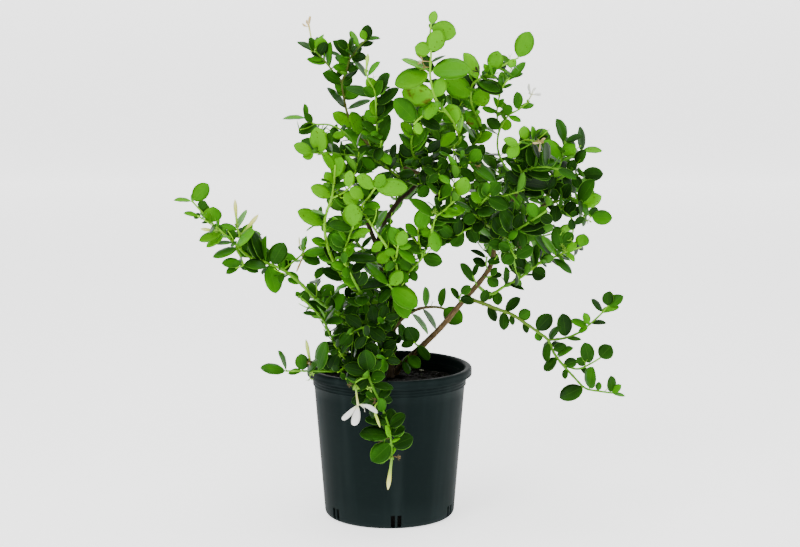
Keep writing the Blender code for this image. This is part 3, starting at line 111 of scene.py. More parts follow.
leafySprays = {
    "left_arm": ("trunk_centre", [
        shoot([(389, 318, 4), (362, 322, -10), (336, 312, -22), (314, 297, -30), (299, 282, -36),
               (283, 270, -40), (264, 262, -44), (248, 256, -46), (232, 241, -48), (213, 224, -50),
               (192, 201, -52)], (6, 2.4), [
            (192, 201, 208, 184, 15), (191, 202, 174, 200, 3), (199, 211, 205, 201, 10),
            (212, 223, 213, 207, 17), (222, 233, 199, 240, 8), (224, 235, 206, 246, 7),
            (233, 243, 215, 243, 3), (238, 248, 213, 257, 7), (266, 265, 247, 267, 10),
            (268, 264, 276, 293, 17), (272, 264, 284, 243, 17), (264, 261, 253, 231, 8),
            (256, 258, 263, 233, 8), (284, 270, 279, 254, 9), (301, 284, 287, 278, 7)]),
        shoot([(213, 224, -50), (205, 220, -56), (198, 216, -60)], (2.2, 1.6), [(198, 216, 184, 213, 4)]),
        shoot([(241, 250, -47), (240, 238, -43), (237, 227, -40)], (2.8, 2), [
            (237, 228, 224, 213, 10), (238, 227, 234, 207, 9), (239, 229, 246, 206, 6),
            (240, 238, 262, 232, 9), (240, 240, 252, 222, 9)]),
        shoot([(236, 246, -47), (240, 256, -54), (243, 265, -60), (236, 268, -64)], (2.4, 1.6), [
            (241, 264, 222, 263, 9), (240, 267, 226, 273, 6), (244, 266, 258, 272, 8)]),
        shoot([(283, 270, -40), (293, 262, -34), (302, 254, -28), (305, 246, -26)], (2.8, 1.8), [
            (303, 254, 327, 250, 8), (303, 251, 303, 238, 3), (305, 248, 306, 236, 3),
            (302, 256, 320, 263, 10), (297, 259, 280, 255, 7)]),
    ]),
    "left_outer": ("trunk_centre", [
        shoot([(390, 346, 6), (370, 355, -30), (352, 358, -66), (340, 351, -84), (331, 336, -96),
               (323, 320, -106), (312, 308, -114), (299, 296, -120)], (5, 2.2), [
            (318, 314, 303, 313, 4), (324, 322, 343, 321, 7), (331, 336, 325, 331, 8),
            (300, 297, 296, 292, 5), (308, 304, 303, 291, 8), (337, 346, 352, 338, 12)]),
        shoot([(352, 358, -66), (346, 366, -84), (338, 372, -98)], (3, 2), leaf=28, gap=22),
    ]),
    "left_inner": ("trunk_centre", [
        shoot([(390, 338, 5), (370, 334, 16), (350, 327, 26), (335, 316, 34), (322, 303, 42),
               (316, 292, 48)], (5, 2.4), [
            (331, 310, 308, 302, 10), (318, 297, 334, 286, 13), (334, 314, 343, 294, 11),
            (318, 296, 307, 284, 8), (345, 323, 356, 306, 16)]),
        shoot([(350, 327, 26), (352, 310, 50), (356, 297, 66)], (3, 2), [
            (356, 300, 363, 280, 12), (355, 300, 346, 288, 11)]),
        shoot([(370, 334, 16), (366, 318, 28), (370, 303, 36)], (3, 2), [
            (369, 306, 381, 294, 9), (367, 312, 358, 326, 12)]),
    ]),
    "low_left": ("trunk_centre", [
        shoot([(391, 362, 8), (374, 364, -16), (356, 367, -44), (338, 371, -72), (320, 371, -88),
               (300, 371, -98), (286, 371, -104)], (5, 2.2), [
            (286, 371, 261, 367, 9), (284, 371, 278, 351, 3), (303, 370, 301, 354, 13),
            (318, 369, 326, 342, 11), (302, 372, 288, 373, 6), (330, 370, 338, 354, 14),
            (307, 370, 320, 361, 7)]),
    ]),
    "front_trailing": ("trunk_centre", [
        shoot([(391, 353, 7), (384, 352, -30), (374, 358, -80), (368, 369, -118), (371, 383, -141),
               (380, 403, -145), (388, 424, -146), (391, 440, -146), (392, 456, -145)], (5, 2), [
            (366, 373, 365, 350, 17), (363, 374, 345, 366, 12), (370, 371, 381, 361, 11),
            (384, 412, 380, 398, 9), (386, 404, 402, 407, 9), (389, 437, 391, 408, 15),
            (390, 436, 404, 426, 12), (386, 437, 360, 433, 13), (391, 443, 372, 461, 19),
            (392, 446, 413, 437, 16), (388, 437, 385, 425, 5), (391, 442, 400, 438, 3),
            (380, 402, 371, 418, 8)]),
        shoot([(370, 377, -132), (361, 379, -140), (355, 383, -143)], (2.4, 1.8)),
    ]),
    "front_mass": ("trunk_centre", [
        shoot([(392, 340, 5), (384, 334, -36), (374, 326, -66), (362, 328, -90), (350, 334, -104)],
              (4, 2.2), [
            (374, 327, 372, 305, 13), (362, 328, 346, 316, 12), (352, 333, 341, 345, 13),
            (368, 327, 385, 340, 13)]),
        shoot([(384, 334, -36), (384, 346, -64), (378, 358, -84)], (3, 2), [
            (383, 350, 396, 342, 12), (380, 355, 366, 345, 12)]),
    ]),
    "left_bright": ("trunk_centre", [
        shoot([(388, 306, 4), (366, 298, -14), (348, 283, -30), (335, 264, -44), (327, 244, -56),
               (324.5, 225, -66), (327, 211, -72), (332, 197, -76), (334, 182, -78), (335, 166, -80)],
              (5, 2.4), [
            (325, 225, 298, 211, 12), (326, 225, 346, 219, 10), (332, 197, 311, 187, 12),
            (335, 178, 341, 157, 14), (334, 170, 322, 153, 9), (325, 247, 312, 239, 8),
            (334, 184, 325, 172, 10), (328, 247, 337, 230, 11)]),
        shoot([(332, 198, -76), (341, 194, -84), (349, 188, -92), (352, 184, -95)], (2.6, 1.8), [
            (349, 189, 350, 171, 11), (350, 188, 363, 198, 14), (344, 193, 357, 204, 14)]),
    ]),
    "left_front": ("trunk_centre", [
        shoot([(391, 325, 3), (376, 312, -40), (361, 293, -76), (350, 273, -98), (344, 257, -110),
               (348, 240, -120), (353, 227, -126)], (5, 2.2), [
            (353, 227, 352, 204, 18), (347, 243, 333, 217, 5), (349, 238, 370, 231, 7),
            (345, 250, 331, 240, 12), (344, 258, 354, 244, 9), (348, 268, 332, 264, 9),
            (350, 273, 366, 262, 8), (357, 287, 342, 277, 9)]),
    ]),
    "centre_low": ("trunk_centre", [
        shoot([(390, 314, 4), (397, 302, -32), (394, 292, -62), (389, 285, -76)], (4, 2.4), [
            (387, 284, 402, 272, 13), (391, 287, 417, 306, 19), (387, 286, 352, 287, 9),
            (388, 284, 366, 263, 7), (395, 293, 408, 318, 16), (392, 289, 378, 302, 9)]),
    ]),
    "centre_bright": ("trunk_centre", [
        shoot([(386, 292, 5), (396, 278, -30), (395, 262, -54), (386, 246, -70), (376, 231, -80),
               (367, 218, -88), (362, 207, -94), (368, 198, -98), (375, 188, -102)], (4.4, 2.2), [
            (363, 206, 380, 206, 9), (375, 188, 357, 176, 12), (376, 188, 384, 175, 11),
            (376, 189, 407, 187, 17), (376, 231, 387, 210, 5), (383, 241, 372, 251, 9),
            (390, 252, 377, 262, 12), (396, 272, 408, 282, 12)]),
        shoot([(395, 262, -54), (397, 252, -70), (398, 246, -78)], (2.6, 2), [
            (398, 246, 391, 227, 14), (399, 245, 405, 231, 12), (399, 247, 411, 246, 7),
            (398, 249, 415, 263, 8), (397, 252, 384, 252, 8)]),
    ]),
    "centre_right": ("trunk_centre", [
        shoot([(392, 300, 4), (402, 282, -20), (412, 269, -38), (422, 257, -50), (419, 242, -62),
               (418, 228, -68)], (4.4, 2.2), [
            (418, 230, 426, 208, 16), (423, 257, 442, 262, 14), (419, 236, 406, 224, 9),
            (420, 254, 407, 241, 12), (411, 270, 416, 281, 8), (410, 270, 400, 259, 13)]),
        shoot([(422, 257, -50), (430, 241, -64), (433, 228, -74), (436, 217, -82), (447, 208, -88),
               (459, 196, -94)], (2.8, 1.8), [
            (459, 196, 466, 178, 15), (431, 238, 421, 226, 10), (435, 216, 411, 199, 9),
            (439, 215, 465, 209, 11), (433, 230, 437, 252, 13)]),
    ]),
    "arc": ("trunk_centre", [
        shoot([(393, 331, 4), (400, 321, 10), (410, 313, 18), (422, 308, 24), (436, 307, 28),
               (445, 309, 30)], (5, 2.6), [
            (426, 307, 425, 287, 6), (441, 307, 444, 288, 7), (422, 308, 436, 329, 4),
            (411, 313, 428, 334, 4), (443, 308, 462, 322, 18), (399, 322, 405, 341, 8)]),
    ]),
    "twig_soil": ("trunk_right", [
        shoot([(401, 366, 17), (404, 360, 4), (408, 356, -2)], (2.8, 2), [
            (408, 356, 421, 368, 13), (404, 361, 409, 375, 7)]),
    ]),
    "twig_low": ("trunk_right", [
        shoot([(421, 347, -7), (417, 345, -20), (414, 342, -28)], (2.8, 2), [
            (416, 344, 407, 327, 17), (417, 346, 417, 364, 11), (414, 342, 401, 346, 8)]),
    ]),
    "twig_middle": ("trunk_right", [
        shoot([(461, 303, -31), (459, 299, -42), (461, 294, -48)], (2.8, 2), [
            (459, 300, 451, 288, 5), (461, 294, 470, 286, 9), (460, 297, 474, 303, 9)]),
    ]),
    "twig_high": ("trunk_right", [
        shoot([(477, 286, -34), (475, 281, -46), (473, 276, -50)], (2.8, 2), [
            (475, 283, 460, 264, 7), (473, 276, 479, 264, 5)]),
    ]),
    "twig_front": ("trunk_right", [
        shoot([(484, 277, -34), (488, 277, -46), (491, 276, -50)], (2.8, 2), [
            (490, 276, 502, 275, 6), (487, 278, 498, 286, 11), (491, 276, 497, 268, 6)]),
    ]),
    "twig_top": ("trunk_right", [
        shoot([(488, 271, -33), (486, 264, -42), (487, 257, -46)], (2.8, 2), [
            (487, 266, 473, 259, 8), (487, 258, 471, 250, 4), (488, 262, 500, 262, 7)]),
    ]),
    "right_arm": ("trunk_right", [
        shoot([(466, 298, -33), (482, 303, -52), (497, 309, -62), (511, 314, -70), (525, 323, -78),
               (538, 332, -84), (548, 340, -90), (554, 353, -94), (562, 364, -98), (573, 376, -102),
               (585, 388, -106), (598, 391, -110), (612, 393, -114)], (4.4, 1.8), [
            (505, 311, 520, 298, 9), (503, 312, 504, 330, 10), (511, 314, 513, 325, 5),
            (518, 319, 530, 311, 11), (523, 323, 527, 333, 6), (536, 331, 551, 315, 15),
            (537, 331, 540, 341, 8), (549, 342, 546, 362, 8), (553, 350, 566, 345, 9),
            (556, 356, 573, 348, 6), (556, 357, 546, 371, 9), (566, 368, 565, 379, 6),
            (563, 365, 577, 361, 10), (583, 388, 560, 398, 15), (589, 389, 592, 367, 11),
            (598, 391, 599, 382, 6), (611, 392, 611, 376, 8), (612, 392, 621, 385, 7),
            (612, 393, 625, 396, 3), (488, 305, 496, 321, 8), (482, 303, 487, 290, 9)]),
        shoot([(548, 340, -90), (565, 338, -84), (580, 332, -78), (590, 324, -72), (600, 315, -68),
               (608, 306, -64)], (2.8, 1.6), [
            (566, 338, 563, 314, 14), (549, 339, 560, 326, 6), (566, 338, 581, 339, 4),
            (588, 326, 571, 321, 7), (589, 325, 584, 313, 7), (591, 324, 606, 323, 4),
            (603, 312, 592, 299, 5), (604, 310, 619, 307, 7), (608, 306, 608, 292, 11),
            (608, 306, 623, 296, 10)]),
        shoot([(562, 364, -98), (577, 369, -102), (590, 364, -106), (600, 358, -108)], (2.4, 1.6), [
            (590, 364, 585, 343, 13), (600, 358, 611, 346, 15), (580, 369, 590, 374, 6),
            (586, 366, 577, 358, 8)]),
    ]),
    "right_shelf": ("trunk_right", [
        shoot([(477, 285, -34), (490, 294, -14), (505, 286, 2), (520, 278, 12), (531, 270, 20),
               (540, 263, 26), (552, 258, 30), (566, 252, 32), (581, 247, 34)], (4, 1.8), [
            (506, 285, 506, 267, 5), (508, 285, 524, 290, 3), (497, 291, 498, 305, 10),
            (493, 293, 485, 298, 9), (523, 276, 512, 251, 14), (532, 270, 545, 277, 14),
            (552, 258, 534, 234, 7), (557, 256, 542, 237, 6), (553, 259, 572, 273, 6),
            (564, 252, 556, 227, 17), (581, 247, 584, 234, 14), (566, 252, 576, 243, 9)]),
    ]),
    "right_front": ("trunk_right", [
        shoot([(494, 246, -24), (506, 236, -52), (520, 228, -76), (536, 218, -94), (546, 211, -104)],
              (4, 2), [
            (526, 224, 546, 208, 12), (514, 231, 498, 232, 10), (520, 228, 545, 231, 12),
            (508, 235, 512, 215, 15), (517, 230, 522, 248, 15), (536, 218, 530, 203, 12),
            (540, 215, 552, 222, 11)]),
        shoot([(506, 236, -52), (510, 248, -66), (516, 258, -76)], (2.6, 1.8), [
            (515, 256, 533, 247, 14), (514, 256, 503, 262, 12), (511, 250, 499, 244, 11)]),
    ]),
    "right_left": ("trunk_right", [
        shoot([(497, 233, -18), (486, 224, -40), (474, 213, -60), (482, 203, -76), (490, 194, -86)],
              (3.6, 2), [
            (482, 203, 471, 193, 9), (474, 212, 495, 211, 10), (485, 200, 480, 184, 9),
            (489, 196, 499, 182, 14), (476, 214, 464, 222, 12)]),
        shoot([(486, 224, -40), (470, 228, -52), (456, 236, -60), (448, 240, -64)], (2.6, 1.8), [
            (456, 236, 459, 219, 12), (452, 238, 440, 226, 13), (462, 232, 452, 246, 14),
            (470, 228, 476, 243, 12), (448, 240, 436, 242, 11)]),
    ]),
    "right_crown": ("trunk_right", [
        shoot([(516, 194, 3), (519, 184, -20), (522, 173, -38), (532, 168, -50), (546, 167, -58),
               (558, 169, -62)], (3.4, 2), [
            (530, 168, 556, 162, 10), (525, 171, 550, 176, 10), (557, 169, 576, 179, 7),
            (522, 173, 505, 157, 7), (522, 173, 523, 142, 12), (532, 168, 529, 146, 9),
            (519, 184, 506, 172, 12), (520, 182, 548, 187, 12), (546, 167, 541, 154, 11)]),
        shoot([(522, 173, -38), (516, 158, -52), (517, 146, -62), (525, 140, -68), (534, 141, -72)],
              (2.6, 1.8), [
            (525, 140, 524, 126, 11), (518, 143, 508, 157, 12), (533, 141, 551, 129, 7),
            (534, 141, 532, 126, 4), (518, 143, 504, 139, 8)]),
    ]),
    "right_top": ("trunk_right", [
        shoot([(545, 204, 29), (553, 182, 36), (561, 162, 40), (565, 142, 42)], (3.6, 2), [
            (565, 140, 557, 119, 9), (566, 140, 582, 135, 6), (561, 160, 545, 141, 13),
            (563, 155, 575, 145, 14), (556, 176, 547, 190, 10), (552, 184, 565, 192, 12)]),
        shoot([(553, 182, 36), (568, 174, 44), (578, 162, 50), (582, 150, 54)], (2.6, 1.8), [
            (580, 152, 580, 126, 7), (583, 149, 602, 150, 5), (576, 165, 585, 150, 10),
            (570, 173, 574, 160, 10)]),
        shoot([(568, 174, 44), (576, 175, 38), (582, 174, 36)], (2.4, 1.8), [
            (581, 174, 603, 174, 14), (574, 175, 580, 188, 10)]),
    ]),
    "right_side": ("trunk_right", [
        shoot([(540, 208, 25), (556, 202, 14), (570, 197, 8), (580, 205, 2), (586, 212, -2),
               (591, 217, -4)], (3.4, 1.8), [
            (591, 217, 612, 218, 15), (583, 204, 601, 196, 14), (580, 203, 594, 180, 12),
            (576, 200, 566, 215, 12), (562, 199, 570, 184, 11)]),
        shoot([(556, 202, 14), (564, 212, 0), (572, 219, -10), (573, 232, -16)], (2.4, 1.6), [
            (557, 204, 555, 222, 12), (573, 231, 571, 219, 8), (569, 217, 577, 212, 6),
            (573, 232, 564, 243, 11)]),
    ]),
    "top_left": ("trunk_centre", [
        shoot([(424, 175, 36), (405, 168, 42), (388, 160, 46), (372, 148, 50), (358, 132, 52),
               (348, 115, 52), (344, 98, 50), (342, 83, 48), (347, 70, 46), (350, 59, 44), (359, 47, 40),
               (366, 40, 36)], (5.6, 2.2), [
            (366, 41, 368, 25, 11), (367, 41, 380, 38, 3), (361, 46, 373, 43, 5), (359, 48, 350, 32, 5),
            (350, 59, 333, 41, 9), (351, 59, 366, 56, 9), (348, 69, 342, 56, 12), (349, 71, 333, 66, 7),
            (349, 72, 358, 67, 6), (343, 84, 323, 73, 10), (343, 85, 352, 78, 9), (344, 90, 335, 85, 7),
            (346, 109, 327, 88, 5), (347, 109, 370, 100, 4), (345, 97, 360, 90, 12),
            (355, 128, 333, 113, 12), (362, 136, 351, 112, 13), (375, 150, 342, 129, 13)]),
        shoot([(342, 83, 48), (335, 74, 52), (328, 65, 56), (320, 56, 60), (313, 49, 62)], (2.8, 1.8), [
            (326, 64, 307, 59, 6), (328, 65, 331, 42, 5), (318, 54, 323, 38, 15),
            (313, 49, 297, 40, 5), (314, 49, 321, 34, 5), (313, 49, 308, 37, 9)]),
        shoot([(350, 59, 44), (349, 50, 36), (348, 44, 32)], (2.2, 1.6), [
            (348, 50, 338, 40, 8), (349, 49, 354, 37, 5)]),
    ]),
    "top_left_low": ("trunk_centre", [
        shoot([(417, 185, 33), (398, 176, -4), (380, 163, -30), (362, 157, -46), (345, 155, -56),
               (330, 153, -64), (313, 153, -70)], (4.4, 1.8), [
            (323, 153, 316, 128, 18), (313, 153, 294, 145, 11), (314, 153, 303, 157, 9),
            (332, 154, 340, 166, 12), (361, 157, 374, 168, 11), (348, 155, 341, 145, 8),
            (380, 163, 358, 172, 11), (398, 176, 414, 173, 10)]),
        shoot([(380, 163, -30), (379, 146, -40), (377, 130, -46), (376, 110, -50), (375, 93, -52),
               (369, 81, -54), (366, 73, -54)], (3.4, 1.6), [
            (376, 94, 368, 77, 10), (375, 117, 374, 99, 12), (366, 74, 356, 62, 3),
            (367, 73, 380, 62, 4), (379, 146, 388, 115, 13), (377, 125, 366, 110, 12)]),
        shoot([(362, 157, -46), (346, 134, -36), (330, 125, -30), (314, 124, -26), (306, 118, -24)],
              (2.6, 1.6), [
            (306, 118, 283, 119, 3), (306, 118, 305, 104, 5), (312, 124, 304, 113, 8),
            (318, 125, 299, 133, 10), (332, 126, 338, 143, 10), (346, 134, 333, 136, 8)]),
    ]),
    "top_centre": ("trunk_centre", [
        shoot([(435, 152, 37), (450, 148, 14), (460, 140, -6), (455, 126, -20), (446, 112, -30),
               (437, 101, -36), (432, 88, -38), (430, 72, -38), (431, 55, -36), (430, 38, -34),
               (431, 24, -32)], (4.6, 2), [
            (431, 24, 435, 11, 9), (431, 27, 456, 34, 19), (431, 52, 440, 31, 18),
            (430, 52, 415, 47, 15), (429, 73, 395, 84, 19), (431, 71, 470, 69, 20),
            (435, 98, 402, 92, 22), (435, 98, 443, 78, 13), (438, 102, 419, 119, 15),
            (455, 126, 448, 104, 19), (458, 132, 441, 146, 10), (459, 136, 462, 115, 4)]),
        shoot([(446, 112, -30), (432, 110, -44), (420, 118, -54), (414, 124, -60)], (2.4, 1.8), [
            (416, 122, 395, 99, 18), (416, 122, 420, 134, 10)]),
    ]),
    "top_right": ("trunk_centre", [
        shoot([(438, 143, 36), (458, 154, 46), (474, 144, 42), (481, 130, 36), (475, 114, 30),
               (471, 99, 26), (473, 84, 22), (486, 75, 20), (502, 66, 18), (518, 58, 18)], (4.4, 2), [
            (518, 58, 530, 32, 18), (492, 71, 498, 51, 16), (472, 97, 446, 79, 21),
            (472, 102, 489, 92, 19), (474, 82, 503, 92, 13), (478, 79, 464, 53, 11),
            (488, 73, 484, 64, 5), (481, 130, 466, 112, 14), (474, 143, 492, 133, 10),
            (470, 147, 451, 141, 10), (516, 59, 509, 67, 8)]),
    ]),
    "top_far_right": ("trunk_right", [
        shoot([(520, 182, 6), (506, 168, 40), (498, 150, 54), (499, 132, 60), (508, 116, 64),
               (518, 110, 66), (527, 103, 68)], (3.6, 1.8), [
            (518, 110, 517, 92, 9), (520, 108, 534, 104, 6), (512, 113, 503, 107, 11),
            (507, 118, 505, 131, 12), (508, 116, 521, 121, 5), (500, 128, 487, 119, 11)]),
        shoot([(499, 132, 60), (497, 112, 66), (500, 94, 70), (506, 82, 74), (513, 76, 76)], (2.4, 1.6), [
            (497, 108, 494, 97, 4), (498, 108, 504, 99, 5), (497, 112, 482, 108, 5),
            (508, 80, 525, 62, 7), (511, 78, 523, 73, 5), (502, 88, 512, 84, 3),
            (501, 90, 500, 75, 5)]),
    ]),
    "crown_middle": ("trunk_centre", [
        shoot([(430, 166, 37), (423, 162, 12), (414, 156, -8), (411, 144, -22), (414, 130, -32)], (4, 2), [
            (413, 157, 400, 145, 14), (412, 150, 399, 133, 6), (411, 138, 401, 123, 8),
            (413, 146, 424, 129, 11)]),
        shoot([(423, 162, 12), (436, 170, -14), (452, 171, -34), (470, 162, -46)], (3.2, 2), [
            (470, 162, 480, 150, 12), (459, 170, 474, 181, 10), (446, 172, 440, 158, 10)]),
        shoot([(423, 162, 12), (424, 176, -16), (432, 190, -40), (442, 198, -52)], (3.2, 2), [
            (442, 198, 450, 184, 12), (430, 186, 418, 196, 11)]),
    ]),
    "back_left": ("trunk_centre", [
        shoot([(380, 264, 7), (366, 252, 56), (352, 236, 100), (342, 214, 132), (338, 190, 154)],
              (5, 2.2), leaf=33, gap=36),
        shoot([(352, 236, 100), (334, 232, 112), (318, 222, 122)], (3, 2), leaf=33, gap=30),
        shoot([(352, 236, 100), (366, 214, 130), (372, 196, 150)], (3, 2), leaf=33, gap=30),
    ]),
    "back_low": ("trunk_centre", [
        shoot([(392, 322, 4), (382, 310, 54), (368, 302, 98), (352, 300, 140)], (5, 2.2), leaf=33, gap=36),
        shoot([(382, 310, 54), (392, 290, 92), (396, 272, 120)], (3, 2), leaf=33, gap=30),
    ]),
    "back_centre": ("trunk_centre", [
        shoot([(385, 222, 18), (400, 204, 68), (410, 182, 110), (414, 160, 142), (412, 138, 164)],
              (5, 2.2), leaf=33, gap=36),
        shoot([(410, 182, 110), (392, 168, 136), (380, 150, 158)], (3, 2), leaf=33, gap=30),
        shoot([(410, 182, 110), (430, 178, 140), (444, 168, 164)], (3, 2), leaf=33, gap=30),
    ]),
    "back_top": ("trunk_centre", [
        shoot([(433, 158, 38), (442, 144, 80), (452, 124, 110), (456, 104, 132)], (4, 2), leaf=33, gap=36),
        shoot([(442, 144, 80), (424, 124, 104), (412, 106, 120)], (3, 2), leaf=33, gap=30),
    ]),
    "back_right": ("trunk_right", [
        shoot([(512, 228, 0), (512, 212, 52), (522, 194, 100), (532, 174, 134), (536, 152, 154)],
              (5, 2.2), leaf=33, gap=36),
        shoot([(522, 194, 100), (504, 178, 130), (492, 166, 150)], (3, 2), leaf=33, gap=30),
        shoot([(522, 194, 100), (546, 186, 126), (564, 176, 142)], (3, 2), leaf=33, gap=30),
    ]),
    "back_right_low": ("trunk_right", [
        shoot([(495, 240, -21), (494, 240, 34), (504, 236, 84), (516, 230, 124), (530, 226, 156)],
              (5, 2.2), leaf=33, gap=36),
        shoot([(504, 236, 84), (486, 224, 112), (470, 214, 136)], (3, 2), leaf=33, gap=30),
        shoot([(516, 230, 124), (540, 236, 138), (556, 232, 150)], (3, 2), leaf=33, gap=30),
    ]),
}

# Blooms: the spray, the root and tip in the photograph, how far the tip leans back in mm, the tube's
# thickness in mm, and the petals' reach in mm and opening, both 0 for a bud
blooms = {
    "flower_front": ("front_trailing", (356, 386), (358, 405), -16, 2.8, 28, 58),
    "bud_front": ("front_trailing", (392, 460), (388, 489), -4, 4.4, 0, 0),
    "bud_left_upright": ("left_arm", (231, 223), (235, 200), 0, 2.6, 0, 0),
    "bud_left_long": ("left_arm", (243, 236), (258, 215), -6, 2.8, 0, 0),
    "bud_left_low": ("left_arm", (221, 231), (201, 229), -4, 2.8, 0, 0),
    "bud_top": ("top_left_low", (366, 70), (368, 54), 0, 2.8, 0, 0),
    "bud_low_left": ("low_left", (312, 366), (306, 340), -4, 2.6, 0, 0),
    "flower_faded_left": ("top_left", (310, 38), (309, 26), 0, 1.8, 12, 30),
    "flower_faded_right": ("right_crown", (536, 142), (541, 143), -4, 2.0, 11, 50),
    "flower_pale_right": ("top_far_right", (529, 100), (532, 94), -3, 1.8, 13, 60),
}

# Where the photograph shows foliage, as outlines in pixels that extra leaves stay inside
foliage = {
    "crown": (
        (300, 281), (286, 280), (297, 253), (300, 240), (305, 236), (307, 248), (313, 246), (324, 240),
        (323, 227), (302, 218), (298, 211), (305, 207), (325, 214), (330, 197), (312, 191), (312, 184),
        (323, 179), (329, 163), (322, 156), (302, 162), (294, 152), (294, 145), (297, 133), (283, 118),
        (301, 119), (301, 110), (305, 104), (306, 118), (316, 126), (338, 128), (331, 117), (343, 109),
        (327, 88), (338, 86), (328, 80), (322, 72), (330, 66), (308, 60), (307, 50), (297, 40), (308, 36),
        (320, 34), (330, 45), (338, 40), (349, 41), (351, 32), (358, 38), (362, 29), (368, 25), (373, 30),
        (373, 39), (380, 39), (363, 52), (369, 58), (370, 75), (378, 81), (390, 72), (396, 76), (400, 60),
        (404, 58), (408, 65), (416, 66), (419, 60), (413, 47), (418, 41), (426, 42), (430, 12), (438, 11),
        (440, 19), (450, 18), (457, 30), (444, 50), (432, 52), (432, 65), (438, 57), (448, 54), (464, 51),
        (472, 70), (483, 70), (485, 60), (500, 50), (505, 60), (514, 58), (513, 48), (518, 36), (527, 31),
        (534, 36), (531, 50), (520, 60), (522, 75), (505, 82), (511, 86), (497, 97), (504, 104), (515, 104),
        (520, 91), (537, 94), (533, 105), (512, 116), (521, 121), (510, 137), (524, 127), (552, 129),
        (548, 137), (557, 147), (561, 142), (556, 121), (560, 119), (568, 133), (576, 135), (580, 125),
        (586, 145), (602, 151), (587, 153), (586, 165), (598, 166), (603, 175), (597, 188), (603, 196),
        (592, 207), (605, 209), (612, 218), (600, 226), (573, 228), (572, 236), (584, 234), (590, 240),
        (574, 262), (571, 274), (548, 262), (546, 277), (530, 277), (520, 279), (522, 290), (505, 288),
        (491, 262), (474, 243), (450, 248), (440, 241), (430, 252), (442, 263), (432, 268), (420, 264),
        (415, 278), (405, 283), (416, 295), (419, 306), (406, 318), (400, 340), (402, 372), (370, 378),
        (337, 366), (330, 340), (325, 337), (319, 320), (303, 313), (294, 293), (303, 290),
    ),
    "leftArm": (
        (174, 199), (187, 199), (186, 190), (203, 181), (210, 186), (200, 199), (208, 208), (221, 209),
        (218, 223), (228, 207), (234, 200), (236, 206), (245, 205), (246, 216), (259, 218), (263, 231),
        (261, 236), (268, 247), (267, 236), (280, 242), (300, 253), (297, 281), (286, 281), (277, 293),
        (268, 289), (263, 277), (248, 272), (226, 274), (220, 262), (238, 261), (236, 252), (213, 258),
        (226, 247), (198, 239), (207, 231), (200, 229), (211, 227), (184, 213), (190, 204),
    ),
    "lowLeft": (
        (261, 367), (278, 361), (278, 352), (286, 369), (295, 365), (297, 356), (309, 354), (305, 338),
        (312, 348), (326, 341), (337, 354), (337, 372), (300, 380), (270, 376),
    ),
    "trailing": (
        (340, 372), (402, 372), (404, 400), (398, 430), (404, 452), (392, 492), (380, 480), (372, 440),
        (350, 452), (336, 440), (344, 404),
    ),
    "rightArm": ((520, 300), (640, 296), (648, 352), (600, 362), (540, 352), (500, 330)),
}
clearGaps = (
    ((352, 70), (366, 70), (366, 86), (352, 86)),
    ((377, 171), (381, 166), (400, 168), (393, 178), (386, 177)),
    ((375, 192), (385, 192), (397, 196), (385, 212), (375, 200)),
    ((399, 207), (408, 199), (417, 207), (413, 218), (404, 224), (390, 221)),
    ((414, 197), (427, 190), (436, 195), (432, 202)),
    ((391, 120), (400, 120), (402, 132), (401, 144), (391, 157), (383, 151)),
    ((488, 137), (505, 137), (505, 153), (488, 153)),
    ((500, 162), (510, 162), (510, 171), (500, 171)),
    ((328, 212), (337, 201), (346, 219), (328, 225)),
    ((326, 228), (340, 228), (340, 238), (326, 238)),
    ((353, 227), (373, 227), (373, 231), (353, 231)),
    ((353, 239), (373, 239), (373, 249), (353, 249)),
    ((352, 259), (373, 259), (373, 268), (352, 268)),
    ((548, 220), (556, 228), (550, 242), (538, 236)),
    ((558, 215), (570, 215), (570, 222), (558, 222)),
    ((493, 265), (505, 265), (505, 273), (493, 273)),
    ((497, 278), (504, 278), (504, 286), (497, 286)),
    ((320, 281), (340, 281), (340, 288), (320, 288)),
    ((300, 271), (310, 271), (310, 278), (300, 278)),
    ((480, 108), (488, 108), (488, 122), (480, 122)),
    ((345, 95), (370, 95), (370, 110), (345, 110)),
    ((178, 186), (193, 196), (198, 206), (194, 213), (182, 208)),
)


# Placing


def photoPoint(across, down, depthMm):
    # Where the camera's ray through a pixel of the photograph meets the upright plane at this depth
    sideways = (across - photo["centre"][0]) / photo["focal"]
    upward = (photo["centre"][1] - down) / photo["focal"]
    ray = Vector((
        sideways,
        math.cos(photo["tilt"]) + upward * math.sin(photo["tilt"]),
        upward * math.cos(photo["tilt"]) - math.sin(photo["tilt"]),
    ))
    return photo["place"] + ray * ((depthMm / 1000 - photo["place"].y) / ray.y)


def photoPixel(point):
    # The pixel that shows this point: its offsets across and up over its distance, times the focal length
    seen = point - photo["place"]
    forward = seen.y * math.cos(photo["tilt"]) - seen.z * math.sin(photo["tilt"])
    upward = seen.y * math.sin(photo["tilt"]) + seen.z * math.cos(photo["tilt"])
    return Vector((photo["centre"][0] + photo["focal"] * seen.x / forward,
                   photo["centre"][1] - photo["focal"] * upward / forward))


def smoothLine(points, step):
    # A Catmull-Rom curve through the points, with a point about every step
    line = []
    for i in range(len(points) - 1):
        before = points[max(i - 1, 0)]
        a = points[i]
        b = points[i + 1]
        after = points[min(i + 2, len(points) - 1)]
        count = max(1, round((b - a).length / step))
        for k in range(count):
            t = k / count
            line.append(0.5 * (2 * a + (b - before) * t + (2 * before - 5 * a + 4 * b - after) * t ** 2
                               + (3 * a - before - 3 * b + after) * t ** 3))
    line.append(points[-1])
    return line


def lineOf(row, step):
    # A shoot's route as a smooth line in metres
    return smoothLine([photoPoint(*point) for point in row["route"]], step)


def lengthsAlong(line):
    # How far along the line each of its points is: the sum of the spans before it
    total = [0.0]
    for a, b in zip(line, line[1:]):
        total.append(total[-1] + (b - a).length)
    return total


